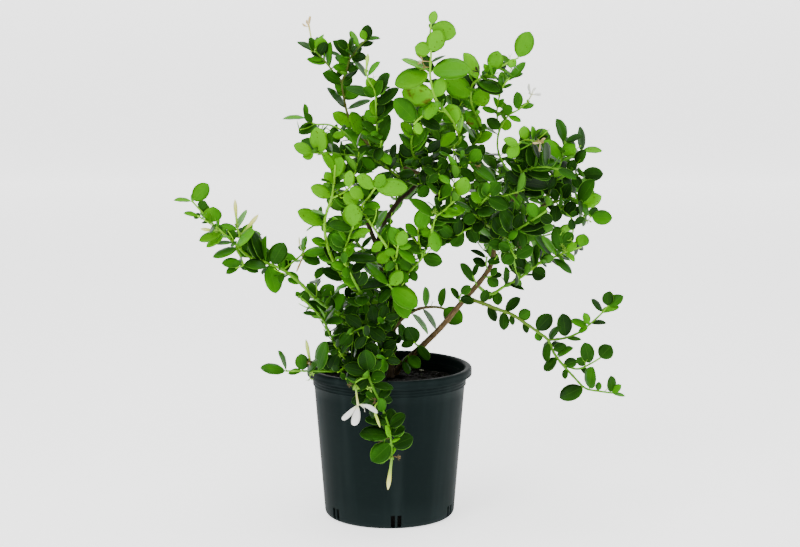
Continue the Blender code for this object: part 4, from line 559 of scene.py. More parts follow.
def along(line, lengths, distance):
    # The point and the direction at a distance along the line
    last = len(line) - 1
    i = next((k for k in range(1, last) if lengths[k] >= distance), last)
    direction = (line[i] - line[i - 1]).normalized()
    return line[i - 1] + direction * (distance - lengths[i - 1]), direction


def nearestAlong(line, lengths, pixel):
    # The distance along the line of its point that shows nearest to the pixel, and how near
    best, found = 1e9, 0.0
    pixels = [photoPixel(point) for point in line]
    for k in range(len(line) - 1):
        span = pixels[k + 1] - pixels[k]
        share = min(1.0, max(0.0, (pixel - pixels[k]).dot(span) / max(span.length_squared, 0.01)))
        away = (pixels[k] + span * share - pixel).length
        if away < best:
            best, found = away, lengths[k] + share * (lengths[k + 1] - lengths[k])
    return found, best


def radiusAt(thick, share):
    # A stem's radius in metres at a share of its length: it tapers evenly
    return (thick[0] + (thick[1] - thick[0]) * share) / 2000


def sunkRoot(line, lengths, thick, distance, way):
    # Where a leaf that points this way starts: a little under the surface of the side that it leaves
    share = min(distance / lengths[-1], 1.0)
    point, stemWay = along(line, lengths, min(distance, lengths[-1] - leafRule["endMargin"]))
    radial = way - stemWay * way.dot(stemWay)
    return point + radial * radiusAt(thick, share) * leafRule["sink"]


def tracedLeaf(line, lengths, thick, row, attempt, draw):
    # A leaf that the photograph shows, turned about its rib where it looks narrow, leaning more each try
    rootX, rootY, tipX, tipY, widthPixels = row
    distance, _ = nearestAlong(line, lengths, Vector((rootX, rootY)))
    root, _ = along(line, lengths, distance)
    depth = root.y * 1000
    flat = (photoPoint(tipX, tipY, depth) - root).length
    lean = leafRule["leans"][attempt] + draw.uniform(-leafRule["leanJitter"], leafRule["leanJitter"])
    tip = photoPoint(tipX, tipY, depth + lean * flat * 1000)
    root = sunkRoot(line, lengths, thick, distance, (tip - root).normalized())
    way = (tip - root).normalized()
    shrink = 1 - leafRule["leanShrink"] * attempt
    length = (tip - root).length * shrink
    seen = widthPixels * photo["pixel"] * shrink
    width = max(seen, leafRule["widthShare"] * length)
    turn = math.acos(min(1.0, seen / width))
    toCamera = (photo["place"] - root).normalized()
    facing = (toCamera - way * toCamera.dot(way)).normalized()
    side = way.cross(facing)
    if side.z < 0:
        side = -side
    return root, way, (facing * math.cos(turn) + side * math.sin(turn)).normalized(), length, width


def radialWay(stemWay, angle):
    # A way square to the stem: towards the camera, then turned about the stem by the angle
    toward = Vector((0, -1, 0)) if abs(stemWay.y) < 0.9 else Vector((0, 0, 1))
    front = (toward - stemWay * toward.dot(stemWay)).normalized()
    return front * math.cos(angle) + stemWay.cross(front) * math.sin(angle)


def ruledLeaf(line, lengths, thick, distance, angle, length, draw):
    # A leaf of an opposite pair: it leans off the stem, with its upper side turned to the light
    _, stemWay = along(line, lengths, distance)
    radial = radialWay(stemWay, angle)
    spread = leafRule["spread"] + draw.uniform(*leafRule["spreadDraw"])
    way = (stemWay * math.cos(spread) + radial * math.sin(spread)).normalized()
    root = sunkRoot(line, lengths, thick, distance, way)
    outward = Vector((root.x, root.y, 0)) * leafRule["outward"]
    lightDraw = leafRule["lightDraw"]
    chance = Vector([draw.uniform(-lightDraw, lightDraw) for _ in range(3)])
    upper = leafRule["light"] + chance + outward + stemWay * leafRule["stemPull"]
    normal = (upper - way * upper.dot(way)).normalized()
    width = length * leafRule["widthShare"] * draw.uniform(*leafRule["widthDraw"])
    return root, way, normal, length, width


def bladeTree(leaf, thickness, grow=0.0):
    # A search tree of the leaf as a plain closed blade: an outline with even thickness, folded along the
    # rib where it is large, blunt where it is small and a kite where it is tiny
    root, way, normal, length, width = leaf
    large = length > leafRule["large"]
    small = leafRule["tiny"] < length < leafRule["small"]
    if small:
        shares = leafRule["blunt"]
    elif length <= leafRule["tiny"]:
        shares = leafRule["kite"]
    else:
        spans = 4 if large else 3
        cuts = [(1 - math.cos(math.pi * i / spans)) / 2 for i in range(1, spans)]
        shares = [(t ** leafRule["tipward"], (4 * t * (1 - t)) ** leafRule["fullness"]) for t in cuts]
    fold = leafRule["fold"] if large else 0.0
    side = way.cross(normal)
    mesh = bmesh.new()
    halves = []
    for sign in (1, -1):
        reach = (side * sign * math.cos(fold) + normal * math.sin(fold)) * (width / 2 + grow)
        halves.append([mesh.verts.new(root + way * length * t + reach * share) for t, share in shares])
    first = mesh.verts.new(root)
    end = [] if small else [mesh.verts.new(root + way * (length + grow))]
    left, right = halves[0], halves[1][::-1]
    if large:
        faces = [mesh.faces.new([first, *left, *end]), mesh.faces.new([*end, *right, first])]
    else:
        faces = [mesh.faces.new([first, *left, *end, *right])]
    mesh.normal_update()
    if faces[0].normal.dot(normal) < 0:
        bmesh.ops.reverse_faces(mesh, faces=faces)
        mesh.normal_update()
    for vert in mesh.verts:
        vert.co += vert.normal * thickness / 2
    bmesh.ops.solidify(mesh, geom=faces, thickness=thickness)
    tree = BVHTree.FromBMesh(mesh)
    mesh.free()
    return tree


def tubeTree(line, radii, extra):
    # A search tree of a six-sided tube along the line, from the first radius to the last
    corners, faces = [], []
    for i, point in enumerate(line):
        way = (line[min(i + 1, len(line) - 1)] - line[max(i - 1, 0)]).normalized()
        across = way.cross(oddWay).normalized()
        reach = radii[0] + (radii[1] - radii[0]) * i / (len(line) - 1) + extra
        for k in range(6):
            corners.append(point + Matrix.Rotation(math.tau * k / 6, 3, way) @ (across * reach))
    for i in range(len(line) - 1):
        for k in range(6):
            n = (k + 1) % 6
            faces.append((i * 6 + k, i * 6 + n, i * 6 + 6 + n, i * 6 + 6 + k))
    faces += [tuple(range(6)), tuple(range(len(corners) - 6, len(corners)))]
    return BVHTree.FromPolygons(corners, faces)


def potTree():
    # A search tree of the pot's outer shape and the mix, for keeping leaves off them
    underRim = pot["height"] - pot["rimDepth"]
    rings = [
        (pot["baseRadius"], 0.0), (pot["neckRadius"], underRim), (pot["rimRadius"], underRim),
        (pot["rimRadius"], pot["height"]), (pot["neckRadius"] - pot["wall"], pot["height"]),
        (pot["neckRadius"] - 2 * pot["wall"], soil["top"] + soil["dome"]),
    ]
    sides = pot["testSides"]
    corners, faces = [], []
    for radius, height in rings:
        for k in range(sides):
            turnedBy = Matrix.Rotation(math.tau * k / sides, 3, "Z")
            corners.append(turnedBy @ Vector((radius + pot["clearance"], 0, height)))
    for i in range(len(rings) - 1):
        for k in range(sides):
            low, after = i * sides + k, i * sides + (k + 1) % sides
            faces.append((low, after, after + sides, low + sides))
    faces.append(tuple(range(len(corners) - sides, len(corners))))
    return BVHTree.FromPolygons(corners, faces)


class Thicket:
    # What is placed so far, so that nothing crosses. A thing may meet its own spray's stems, and leaves
    # with the same root, in the first third of its length.

    def __init__(self):
        self.things = []
        self.middles = np.zeros((leafRule["mostThings"], 3))
        self.reaches = np.zeros(leafRule["mostThings"])

    def add(self, tree, middle, reach, node=None, root=None):
        # Keeps a search tree with its middle and reach, its spray and where its root is
        self.middles[len(self.things)] = middle
        self.reaches[len(self.things)] = reach
        self.things.append((tree, node, root))

    def near(self, middle, reach):
        # The things whose reach about their middle meets this one
        count = len(self.things)
        away = np.linalg.norm(self.middles[:count] - np.array(middle), axis=1)
        return [self.things[i] for i in np.nonzero(away <= self.reaches[:count] + reach)[0]]

    def isClear(self, leaf, node):
        # Whether the whole leaf misses all other things, and its outer part those that it may meet
        root, way, normal, length, width = leaf
        thickness, clearance = leafRule["thickness"], leafRule["clearance"]
        whole = bladeTree(leaf, thickness + 2 * clearance, clearance)
        outer = (root + way * length * leafRule["rootShare"], way, normal,
                 length * (1 - leafRule["rootShare"]), width * leafRule["outerWidth"])
        freePart = bladeTree(outer, thickness + clearance)
        for tree, of, start in self.near(root + way * length / 2, length / 2 + leafRule["margin"]):
            joined = of == node and (start is None or (start - root).length < leafRule["sameRoot"])
            if tree.overlap(freePart if joined else whole):
                return False
        return True

    def tryLeaf(self, leaf, node, sights=None):
        # Keeps the leaf if its blade, made a little fat, meets nothing that it may not meet, and it hides
        # nothing in the list of sights
        root, way, _, length, _ = leaf
        blade = bladeTree(leaf, leafRule["thickness"])
        if sights and sights.hiddenBy(blade, root + way * length / 2, length):
            return False
        if not self.isClear(leaf, node):
            return False
        self.add(blade, root + way * length / 2, length / 2 + leafRule["margin"], node, root)
        return True


bloomRule = {
    "reach": 0.06, "line": (0.0, 0.35, 0.75, 1.0), "flowerFlare": (0.75, 0.8, 0.9, 1.1),
    "budFlare": (0.7, 0.75, 1.25, 0.35), "gap": 0.0004, "endGap": 0.0005, "sideRoom": 0.0001,
    "steepest": 0.35, "inLine": 0.7, "petals": 5, "widthShare": 0.42, "sink": 0.0012, "spacing": 0.0005,
}


def bloomEnds(spray, rootPixel, tipPixel, lean):
    # A bloom's two ends: its root is moved to just off the surface of the nearest shoot
    best = 1e9
    for row in leafySprays[spray][1]:
        line = lineOf(row, leafRule["shootStep"])
        lengths = lengthsAlong(line)
        distance, away = nearestAlong(line, lengths, Vector(rootPixel))
        if away < best:
            best = away
            near, stemWay = along(line, lengths, distance)
            radius = radiusAt(row["thick"], distance / lengths[-1])
            atTip = distance >= lengths[-1] - leafRule["endMargin"]
    tip = photoPoint(*tipPixel, near.y * 1000 + lean)
    way = (tip - near).normalized()
    inLine = abs(way.dot(stemWay))
    if atTip and inLine > bloomRule["inLine"]:
        return near + way * bloomRule["endGap"], tip
    steepness = max(bloomRule["steepest"], math.sqrt(1 - inLine ** 2))
    return near + way * ((radius + bloomRule["gap"]) / steepness + bloomRule["sideRoom"]), tip


def bloomShape(name):
    # A bloom's line and radii, and its petals, spread evenly about its tip
    spray, rootPixel, tipPixel, lean, thick, reach, opening = blooms[name]
    root, tip = bloomEnds(spray, rootPixel, tipPixel, lean)
    way = (tip - root).normalized()
    line = [root + (tip - root) * share for share in bloomRule["line"]]
    flare = bloomRule["flowerFlare"] if reach else bloomRule["budFlare"]
    radii = [thick * share / 2000 for share in flare]
    across = way.cross(oddWay).normalized()
    opened = math.radians(opening)
    petals = []
    for k in range(bloomRule["petals"] if reach else 0):
        radial = Matrix.Rotation(math.tau * k / bloomRule["petals"], 3, way) @ across
        petalWay = radial * math.sin(opened) + way * math.cos(opened)
        normal = (way - petalWay * way.dot(petalWay)).normalized()
        petalRoot = tip - way * bloomRule["sink"] + radial * bloomRule["spacing"]
        petals.append((petalRoot, petalWay, normal, reach / 1000, reach / 1000 * bloomRule["widthShare"]))
    return line, radii, petals


def placeFrameLeaves(thicket, rows):
    # The frame's own leaves, as {spray: [leaf, ...]}, those that the photograph shows first
    thicket.add(potTree(), Vector((0, 0, pot["height"] / 2)), pot["height"])
    for node, row, line, lengths in rows:
        stem = tubeTree(line, [part / 2000 for part in row["thick"]], leafRule["stemClearance"])
        thicket.add(stem, (line[0] + line[-1]) / 2, lengths[-1], node)
    for name in blooms:
        line, radii, petals = bloomShape(name)
        tube = tubeTree(line, (max(radii), max(radii)), leafRule["stemClearance"])
        thicket.add(tube, line[0], bloomRule["reach"])
        for petal in petals:
            thicket.add(bladeTree(petal, leafRule["thickness"]), line[0], bloomRule["reach"])
    leaves = {name: [] for name in leafySprays}
    draw = random.Random(leafRule["seed"])
    for node, row, line, lengths in rows:
        for traced in row["traced"]:
            for attempt in range(len(leafRule["leans"])):
                leaf = tracedLeaf(line, lengths, row["thick"], traced, attempt, draw)
                if thicket.tryLeaf(leaf, node):
                    leaves[node].append(leaf)
                    break
    for node, row, line, lengths in rows:
        if row["gap"]:
            placePairs(thicket, row, line, lengths, node, leaves[node], draw)
    return leaves


def placePairs(thicket, row, line, lengths, node, keep, draw):
    # Opposite pairs up the shoot, each pair a quarter turn on from the last
    gap = row["gap"] / 1000
    distance = lengths[-1] * leafRule["bare"] + gap / 2
    angle = draw.uniform(0, math.pi)
    while distance < lengths[-1]:
        size = row["leaf"] / 1000 * (1 - leafRule["tipShrink"] * (distance / lengths[-1]) ** 3)
        for halfTurn in (0, math.pi):
            for attempt in range(leafRule["tries"]):
                length = size * draw.uniform(*leafRule["sizeDraw"]) * (1 - leafRule["tryShrink"] * attempt)
                turnedBy = angle + halfTurn + draw.uniform(-leafRule["turnDraw"], leafRule["turnDraw"])
                leaf = ruledLeaf(line, lengths, row["thick"], distance, turnedBy, length, draw)
                if thicket.tryLeaf(leaf, node):
                    keep.append(leaf)
                    break
        angle += math.pi / 2
        distance += gap * draw.uniform(*leafRule["gapDraw"])


shootRows = []
for nodeName, shoots in [*woodShoots.items(), *((name, spray[1]) for name, spray in leafySprays.items())]:
    for shootRow in shoots:
        routeLine = lineOf(shootRow, leafRule["shootStep"])
        shootRows.append((nodeName, shootRow, routeLine, lengthsAlong(routeLine)))
thicket = Thicket()
frameLeaves = placeFrameLeaves(thicket, shootRows)
print("leaves of the frame:", sum(len(found) for found in frameLeaves.values()))


# More leaves that the photograph shows, as traced ones with their lightness, partly their own colour and
# partly painted shade, each on the nearest shoot
moreLeaves = (
    (375, 383, 393, 388, 6, 0.15), (398, 456, 397, 445, 3, 0.85), (330, 67, 331, 43, 5, 0.35),
    (354, 60, 366, 77, 4, 0.2), (366, 77, 380, 62, 4, 0.4), (392, 96, 388, 73, 9, 0.2),
    (380, 97, 382, 80, 8, 0.3), (390, 104, 398, 88, 9, 0.08), (388, 118, 396, 102, 10, 0.05),
    (372, 95, 386, 89, 6, 0.35), (362, 97, 346, 88, 8, 0.2), (326, 57, 310, 59, 5, 0.5),
    (349, 50, 339, 39, 6, 0.1), (350, 56, 353, 38, 4, 0.15), (361, 48, 350, 31, 5, 0.55),
    (361, 51, 375, 40, 4, 0.12), (368, 40, 368, 25, 9, 0.1), (369, 42, 361, 30, 8, 0.65),
    (351, 72, 335, 65, 5, 0.5), (346, 82, 358, 67, 5, 0.2), (347, 93, 335, 85, 5, 0.5),
    (354, 98, 358, 86, 12, 0.35), (371, 97, 363, 87, 10, 0.22), (392, 94, 390, 72, 9, 0.35),
    (392, 104, 384, 96, 8, 0.05), (392, 116, 384, 103, 9, 0.03), (377, 122, 386, 111, 5, 0.55),
    (404, 69, 402, 59, 4, 0.7), (459, 63, 465, 52, 7, 0.75), (478, 82, 500, 92, 9, 0.2),
    (422, 122, 440, 128, 10, 0.05), (415, 152, 428, 128, 10, 0.4), (409, 133, 402, 122, 6, 0.65),
    (413, 146, 401, 136, 6, 0.35), (394, 157, 395, 144, 6, 0.02), (406, 165, 404, 145, 13, 0.02),
    (465, 145, 441, 145, 5, 0.45), (478, 168, 460, 162, 10, 0.3), (476, 171, 496, 181, 9, 0.2),
    (418, 168, 394, 178, 7, 0.1), (528, 168, 560, 165, 9, 0.35), (526, 172, 551, 178, 10, 0.15),
    (518, 190, 548, 181, 8, 0.05), (512, 190, 507, 172, 10, 0.08), (548, 160, 545, 141, 8, 0.1),
    (556, 159, 550, 143, 9, 0.4), (490, 200, 486, 182, 10, 0.25), (556, 197, 552, 189, 8, 0.05),
    (562, 180, 578, 192, 10, 0.02), (590, 214, 582, 204, 7, 0.3), (520, 231, 547, 224, 9, 0.03),
    (529, 262, 537, 245, 8, 0.25), (522, 278, 511, 252, 16, 0.08), (506, 236, 494, 218, 14, 0.05),
    (488, 198, 508, 207, 13, 0.08), (512, 232, 500, 208, 14, 0.05), (490, 226, 503, 238, 13, 0.05),
    (346, 225, 328, 224, 10, 0.15), (345, 245, 332, 235, 13, 0.2), (340, 262, 326, 241, 10, 0.03),
    (345, 257, 377, 259, 9, 0.15), (381, 281, 358, 262, 6, 0.5), (345, 280, 322, 270, 10, 0.03),
    (352, 282, 357, 267, 9, 0.05), (362, 283, 366, 272, 12, 0.05), (337, 372, 322, 356, 16, 0.03),
    (550, 341, 546, 363, 7, 0.15), (556, 358, 544, 371, 8, 0.08), (552, 346, 567, 345, 9, 0.05),
    (560, 356, 573, 347, 4, 0.15), (590, 388, 592, 366, 11, 0.3), (601, 313, 619, 306, 6, 0.75),
    (612, 305, 610, 291, 10, 0.2), (614, 305, 617, 293, 8, 0.5), (549, 338, 558, 325, 5, 0.1),
    (573, 321, 588, 328, 5, 0.45), (232, 232, 221, 225, 6, 0.5), (237, 243, 255, 229, 9, 0.55),
    (262, 259, 249, 235, 13, 0.08), (271, 250, 266, 236, 4, 0.5), (282, 268, 264, 277, 8, 0.4),
    (302, 276, 288, 270, 6, 0.55), (203, 216, 203, 201, 11, 0.2), (262, 264, 262, 246, 10, 0.15),
    (246, 263, 266, 266, 9, 0.1), (250, 257, 240, 251, 8, 0.3), (317, 53, 297, 40, 6, 0.15),
    (316, 52, 309, 37, 7, 0.14), (317, 53, 323, 33, 5, 0.6), (319, 55, 326, 42, 12, 0.05),
    (322, 58, 311, 50, 6, 0.12), (440, 104, 418, 118, 12, 0.6), (436, 101, 426, 122, 14, 0.62),
    (444, 110, 430, 128, 10, 0.3), (379, 400, 366, 392, 8, 0.12), (380, 398, 391, 388, 8, 0.12),
    (388, 420, 378, 424, 6, 0.12), (504, 220, 512, 200, 12, 0.06), (515, 230, 522, 214, 12, 0.08),
    (500, 214, 512, 208, 9, 0.04), (391, 441, 390, 409, 17, 0.3), (390, 426, 406, 415, 12, 0.08),
    (391, 434, 405, 429, 8, 0.12), (386, 424, 364, 417, 10, 0.06), (387, 430, 371, 430, 9, 0.25),
    (376, 398, 364, 404, 8, 0.08), (566, 252, 575, 261, 5, 0.7), (556, 257, 564, 244, 5, 0.62),
    (572, 250, 577, 240, 4, 0.7),
)


moreRule = {"seed": 71, "shoots": 4, "reach": 6, "slack": 1}  # reach and slack in pixels


def placeMoreLeaves():
    # As the frame's traced leaves, on the shoot in view that shows nearest to the leaf's root, or on
    # another that shows nearly as near where the leaf has no room on the first
    draw = random.Random(moreRule["seed"])
    spots = []
    for *traced, tone in moreLeaves:
        options = []
        for i, (node, _, line, lengths) in enumerate(shootRows):
            if not node.startswith(("back_", "trunk_")):
                options.append((nearestAlong(line, lengths, Vector(traced[:2]))[1], i))
        options.sort()
        limit = max(moreRule["reach"], options[0][0] + moreRule["slack"])
        near = [i for away, i in options[:moreRule["shoots"]] if away < limit]
        for i, attempt in ((i, attempt) for i in near for attempt in range(len(leafRule["leans"]))):
            node, row, line, lengths = shootRows[i]
            leaf = tracedLeaf(line, lengths, row["thick"], traced, attempt, draw)
            if thicket.tryLeaf(leaf, node):
                frameLeaves[node].append(leaf)
                spots.append((*pixelsOf(np.array([leaf[0] + leaf[1] * leaf[3] / 2]))[0], tone))
                break
    return spots


# Extra leaves and side twigs, inside the foliage outlines and clear of everything

fill = {
    "seed": 7, "pairGap": (0.012, 0.018), "leaf": (0.028, 0.042), "tries": 6, "bare": 0.12,
    "twigGap": (0.020, 0.034), "twigLength": (0.030, 0.072), "twigThick": (2.0, 1.2), "twigBare": 0.22,
    "twigPairGap": (0.010, 0.014), "twigLeaf": (0.022, 0.034), "rise": 0.55, "outward": 3.0,
    "lateGap": (0.009, 0.014), "lateLeaf": (0.018, 0.029), "lateShare": 0.6, "boxInset": 0.002,
    "testAside": 0.4, "testAlong": 0.55, "sightStep": 0.006, "sightPixels": 2, "sightClearance": 0.002,
    "turnDraw": 0.6, "tryShrink": 0.08, "twigWay": 0.7, "pullDraw": 0.3, "pull": 0.22, "twigSpans": 4,
    "twigStart": 0.1, "twigStartDraw": 0.01, "twigEnd": 0.95, "twigTries": 6, "twigShrink": 0.1,
    "twigShare": 0.95, "usual": (0.9, 0.9),
    "shownAt": ((0.2, 0.0), (0.35, 0.2), (0.35, -0.2), (0.5, 0.0), (0.52, 0.36), (0.52, -0.36), (0.7, 0.32),
                (0.7, -0.32), (0.75, 0.0), (0.86, 0.16), (0.86, -0.16), (0.94, 0.0)),
    # parts of shoots and wood in plain view: first and last pixel across and down
    "shownShoots": {
        "trunk_right": ((383, 252, 500, 380),), "trunk_centre": ((365, 195, 420, 272),),
        "left_bright": ((300, 150, 345, 245),), "left_front": ((330, 170, 400, 245),),
        "centre_bright": ((370, 180, 440, 260),), "centre_right": ((415, 195, 450, 262),),
        "top_centre": ((425, 20, 470, 140),), "arc": ((400, 285, 470, 320),),
        "left_arm": ((205, 190, 300, 290),), "left_outer": ((300, 290, 345, 355),),
    },
    # how much of the rule each sparse spray gets: pairs on its shoots, side twigs
    "sparse": {
        "left_arm": (0.9, 0.5), "right_arm": (0.0, 0.0), "top_centre": (0.45, 0.25),
        "top_far_right": (0.4, 0.2), "arc": (0.25, 0.0), "twig_soil": (0.2, 0.0), "twig_low": (0.2, 0.0),
        "twig_middle": (0.15, 0.0), "twig_high": (0.15, 0.0), "twig_front": (0.15, 0.0),
        "twig_top": (0.15, 0.0), "front_trailing": (0.5, 0.2), "low_left": (0.3, 0.0),
    },
}


def inside(pixels, polygon):
    # Whether each pixel is in the polygon: a line to its right crosses an odd number of the edges
    a = np.array(polygon, dtype=float)
    b = np.roll(a, -1, axis=0)
    x, y = pixels[:, :1], pixels[:, 1:]
    spans = (a[:, 1] > y) != (b[:, 1] > y)
    rise = np.where(b[:, 1] == a[:, 1], 1.0, b[:, 1] - a[:, 1])
    crossing = (b[:, 0] - a[:, 0]) * (y - a[:, 1]) / rise + a[:, 0]
    return (spans & (x < crossing)).sum(axis=1) % 2 == 1


def pixelsOf(points):
    # The pixels that show these points, worked out as photoPixel does, all at once
    seen = points - np.array(photo["place"])
    cosTilt, sinTilt = math.cos(photo["tilt"]), math.sin(photo["tilt"])
    forward = seen[:, 1] * cosTilt - seen[:, 2] * sinTilt
    upward = seen[:, 1] * sinTilt + seen[:, 2] * cosTilt
    return np.stack([photo["centre"][0] + photo["focal"] * seen[:, 0] / forward,
                     photo["centre"][1] - photo["focal"] * upward / forward], axis=1)


def showsFoliage(points):
    # Whether every point shows inside one of the outlines and in no gap, and lies in the frame's box
    low, high = np.array(cadLow) + fill["boxInset"], np.array(cadHigh) - fill["boxInset"]
    if (points < low).any() or (points > high).any():
        return False
    pixels = pixelsOf(points)
    covered = np.zeros(len(pixels), dtype=bool)
    for polygon in foliage.values():
        covered |= inside(pixels, polygon)
    return bool(covered.all()) and not any(inside(pixels, gap).any() for gap in clearGaps)


def leafPoints(leaf):
    # Four points that stand for the leaf: its middle, its tip and a point near each margin
    root, way, normal, length, width = leaf
    side = way.cross(normal) * width * fill["testAside"]
    middle = root + way * length * fill["testAlong"]
    tip = root + way * length
    return np.array([middle, tip, middle + side, middle - side])


class Sights:
    # Points of what the photograph shows, which extra leaves may not hide from its camera

    def __init__(self):
        points = []
        for name, leaves in frameLeaves.items():
            if name.startswith("back_"):
                continue
            for root, way, normal, length, width in leaves:
                side = way.cross(normal) * width
                points += [root + way * length * t + side * v for t, v in fill["shownAt"]]
        for node, _, line, _ in shootRows:
            for firstX, firstY, lastX, lastY in fill["shownShoots"].get(node, ()):
                for point in smoothLine(line, fill["sightStep"]):
                    x, y = photoPixel(point)
                    if firstX <= x <= lastX and firstY <= y <= lastY:
                        points.append(point)
        self.points = points
        self.pixels = pixelsOf(np.array(points))

    def hiddenBy(self, tree, middle, length):
        # Whether a ray from the camera to one of the points near it meets the tree first
        place = photo["place"]
        centre = pixelsOf(np.array([middle]))[0]
        reach = length / 2 * photo["focal"] / (middle - place).length + fill["sightPixels"]
        for i in np.nonzero(np.linalg.norm(self.pixels - centre, axis=1) < reach)[0]:
            sight = self.points[i] - place
            far = sight.length
            if tree.ray_cast(place, sight / far, far - fill["sightClearance"])[0] is not None:
                return True
        return False


def fillPairs(row, line, lengths, node, gaps, sizes, start, share, keep, draw):
    # Opposite pairs, each a quarter turn on from the last, left out where the share says so
    distance = lengths[-1] * start
    angle = draw.uniform(0, math.pi)
    while distance < lengths[-1]:
        for halfTurn in (0, math.pi):
            if draw.random() > share:
                continue
            size = draw.uniform(*sizes)
            for attempt in range(fill["tries"]):
                turnedBy = angle + halfTurn + draw.uniform(-fill["turnDraw"], fill["turnDraw"])
                length = size * (1 - fill["tryShrink"] * attempt)
                leaf = ruledLeaf(line, lengths, row["thick"], distance, turnedBy, length, draw)
                if showsFoliage(leafPoints(leaf)) and thicket.tryLeaf(leaf, node, sights):
                    keep.append(leaf)
                    break
        angle += math.pi / 2
        distance += draw.uniform(*gaps)


def twigLine(line, lengths, distance, angle, length, draw):
    # A side twig: it leaves the shoot at about half a right angle and bends outward and up
    point, stemWay = along(line, lengths, distance)
    way = (stemWay * fill["twigWay"] + radialWay(stemWay, angle)).normalized()
    pull = Vector((point.x, point.y, 0)) * fill["outward"] + Vector((0, 0, fill["rise"]))
    pull += Vector([draw.uniform(-fill["pullDraw"], fill["pullDraw"]) for _ in range(3)])
    points = [point]
    for _ in range(fill["twigSpans"]):
        points.append(points[-1] + way * (length / fill["twigSpans"]))
        way = (way + pull * fill["pull"]).normalized()
    return points


def twigMeets(line, lengths):
    # Whether a twig meets anything past its root, or hides what the photograph shows
    radii = [part / 2000 for part in fill["twigThick"]]
    tree = tubeTree(line[1:], radii, leafRule["stemClearance"])
    if sights.hiddenBy(tree, (line[0] + line[-1]) / 2, lengths[-1]):
        return True
    nearby = thicket.near((line[0] + line[-1]) / 2, lengths[-1] / 2 + leafRule["margin"])
    return any(other.overlap(tree) for other, _, _ in nearby)


def placeTwig(line, lengths, node, distance, keep, draw):
    # A side twig at this distance with leaves of its own, shorter each try, or nothing where it has no room
    for attempt in range(fill["twigTries"]):
        length = draw.uniform(*fill["twigLength"]) * (1 - fill["twigShrink"] * attempt)
        points = twigLine(line, lengths, distance, draw.uniform(0, math.tau), length, draw)
        spans = lengthsAlong(points)
        if not showsFoliage(np.array(points[1:])) or twigMeets(points, spans):
            continue
        radii = [part / 2000 for part in fill["twigThick"]]
        stem = tubeTree(points, radii, leafRule["stemClearance"])
        thicket.add(stem, (points[0] + points[-1]) / 2, spans[-1] / 2 + leafRule["margin"], node)
        fillPairs({"thick": fill["twigThick"]}, points, spans, node, fill["twigPairGap"],
                  fill["twigLeaf"], fill["twigBare"], fill["twigShare"], keep, draw)
        return [points]
    return []


def growFill():
    # Extra leaves on the shoots first, then side twigs with leaves of their own, then late small leaves
    draw = random.Random(fill["seed"])
    extra = {name: [] for name in leafySprays}
    twigs = {name: [] for name in leafySprays}
    leafy = [(*found, *fill["sparse"].get(found[0], fill["usual"]))
             for found in shootRows if found[0] in extra]
    for node, row, line, lengths, share, _ in leafy:
        fillPairs(row, line, lengths, node, fill["pairGap"], fill["leaf"], fill["bare"], share,
                  extra[node], draw)
    for node, _, line, lengths, _, share in leafy:
        distance = lengths[-1] * fill["twigStart"] + draw.uniform(0, fill["twigStartDraw"])
        while distance < lengths[-1] * fill["twigEnd"]:
            if draw.random() < share:
                twigs[node] += placeTwig(line, lengths, node, distance, extra[node], draw)
            distance += draw.uniform(*fill["twigGap"])
    for node, row, line, lengths, share, _ in leafy:
        fillPairs(row, line, lengths, node, fill["lateGap"], fill["lateLeaf"], fill["bare"],
                  share * fill["lateShare"], extra[node], draw)
    return extra, twigs


moreSpots = placeMoreLeaves()
print("more traced leaves:", len(moreSpots), "of", len(moreLeaves))
sights = Sights()
extraLeaves, sideTwigs = growFill()
print("extra leaves:", sum(len(found) for found in extraLeaves.values()),
      "side twigs:", sum(len(found) for found in sideTwigs.values()))


def turnLeaf(node, index, tipPixel):
    # Turns a leaf about its root until its tip shows at this pixel
    root, way, normal, length, width = frameLeaves[node][index]
    toward = (photoPoint(*tipPixel, root.y * 1000) - root).normalized()
    frameLeaves[node][index] = (root, toward, way.rotation_difference(toward) @ normal, length, width)


turnLeaf("twig_low", 1, (430, 362))  # off the right trunk's foot, which the photograph shows


# Meshes: shapes worked out as whole arrays of rings


def cellNoise(points, size, seed):
    # Smooth noise from -1 to 1: chance values at the corners of cells of this size, blended across each
    place = np.asarray(points) / size + 100.0
    cell = np.floor(place).astype(np.int64)
    part = place - cell
    part = part * part * (3 - 2 * part)
    total = np.zeros(place.shape[:-1])
    for corner in range(8):
        step = np.array([corner & 1, corner >> 1 & 1, corner >> 2 & 1])
        x, y, z = np.moveaxis(cell + step, -1, 0)
        mixed = (x * 73856093) ^ (y * 19349663) ^ (z * 83492791) ^ (seed * 26544357)
        mixed = (mixed ^ (mixed >> 13)) * 12741261 & 0xFFFFFF
        weight = np.prod(np.where(step == 1, part, 1 - part), axis=-1)
        total += weight * (mixed / 0x7FFFFF - 1)
    return total


def loft(rings):
    # Closed shapes from rings of points (shape, ring, point, xyz): quads between neighbouring rings and
    # flat caps of quads. A shape with a negative volume has its faces turned round.
    many, count, around, _ = rings.shape
    i, k = np.meshgrid(np.arange(count - 1), np.arange(around), indexing="ij")
    n = (k + 1) % around
    walls = np.stack([i * around + k, i * around + n, (i + 1) * around + n, (i + 1) * around + k], -1)
    c = np.arange(around // 2 - 1)
    cap = np.stack([c, c + 1, around - 2 - c, around - 1 - c], -1)
    faces = np.concatenate([walls.reshape(-1, 4), cap[:, ::-1], cap + (count - 1) * around])
    points = rings.reshape(many, -1, 3)
    corners = (points - points.mean(axis=1, keepdims=True))[:, faces]
    a, b, c, d = np.moveaxis(corners, 2, 0)
    volume = (a * (np.cross(b, c) + np.cross(c, d))).sum(axis=(1, 2))
    faces = faces[None] + (np.arange(many) * count * around)[:, None, None]
    faces = np.where((volume < 0)[:, None, None], faces[..., ::-1], faces)
    return points.reshape(-1, 3), faces.reshape(-1, 4)


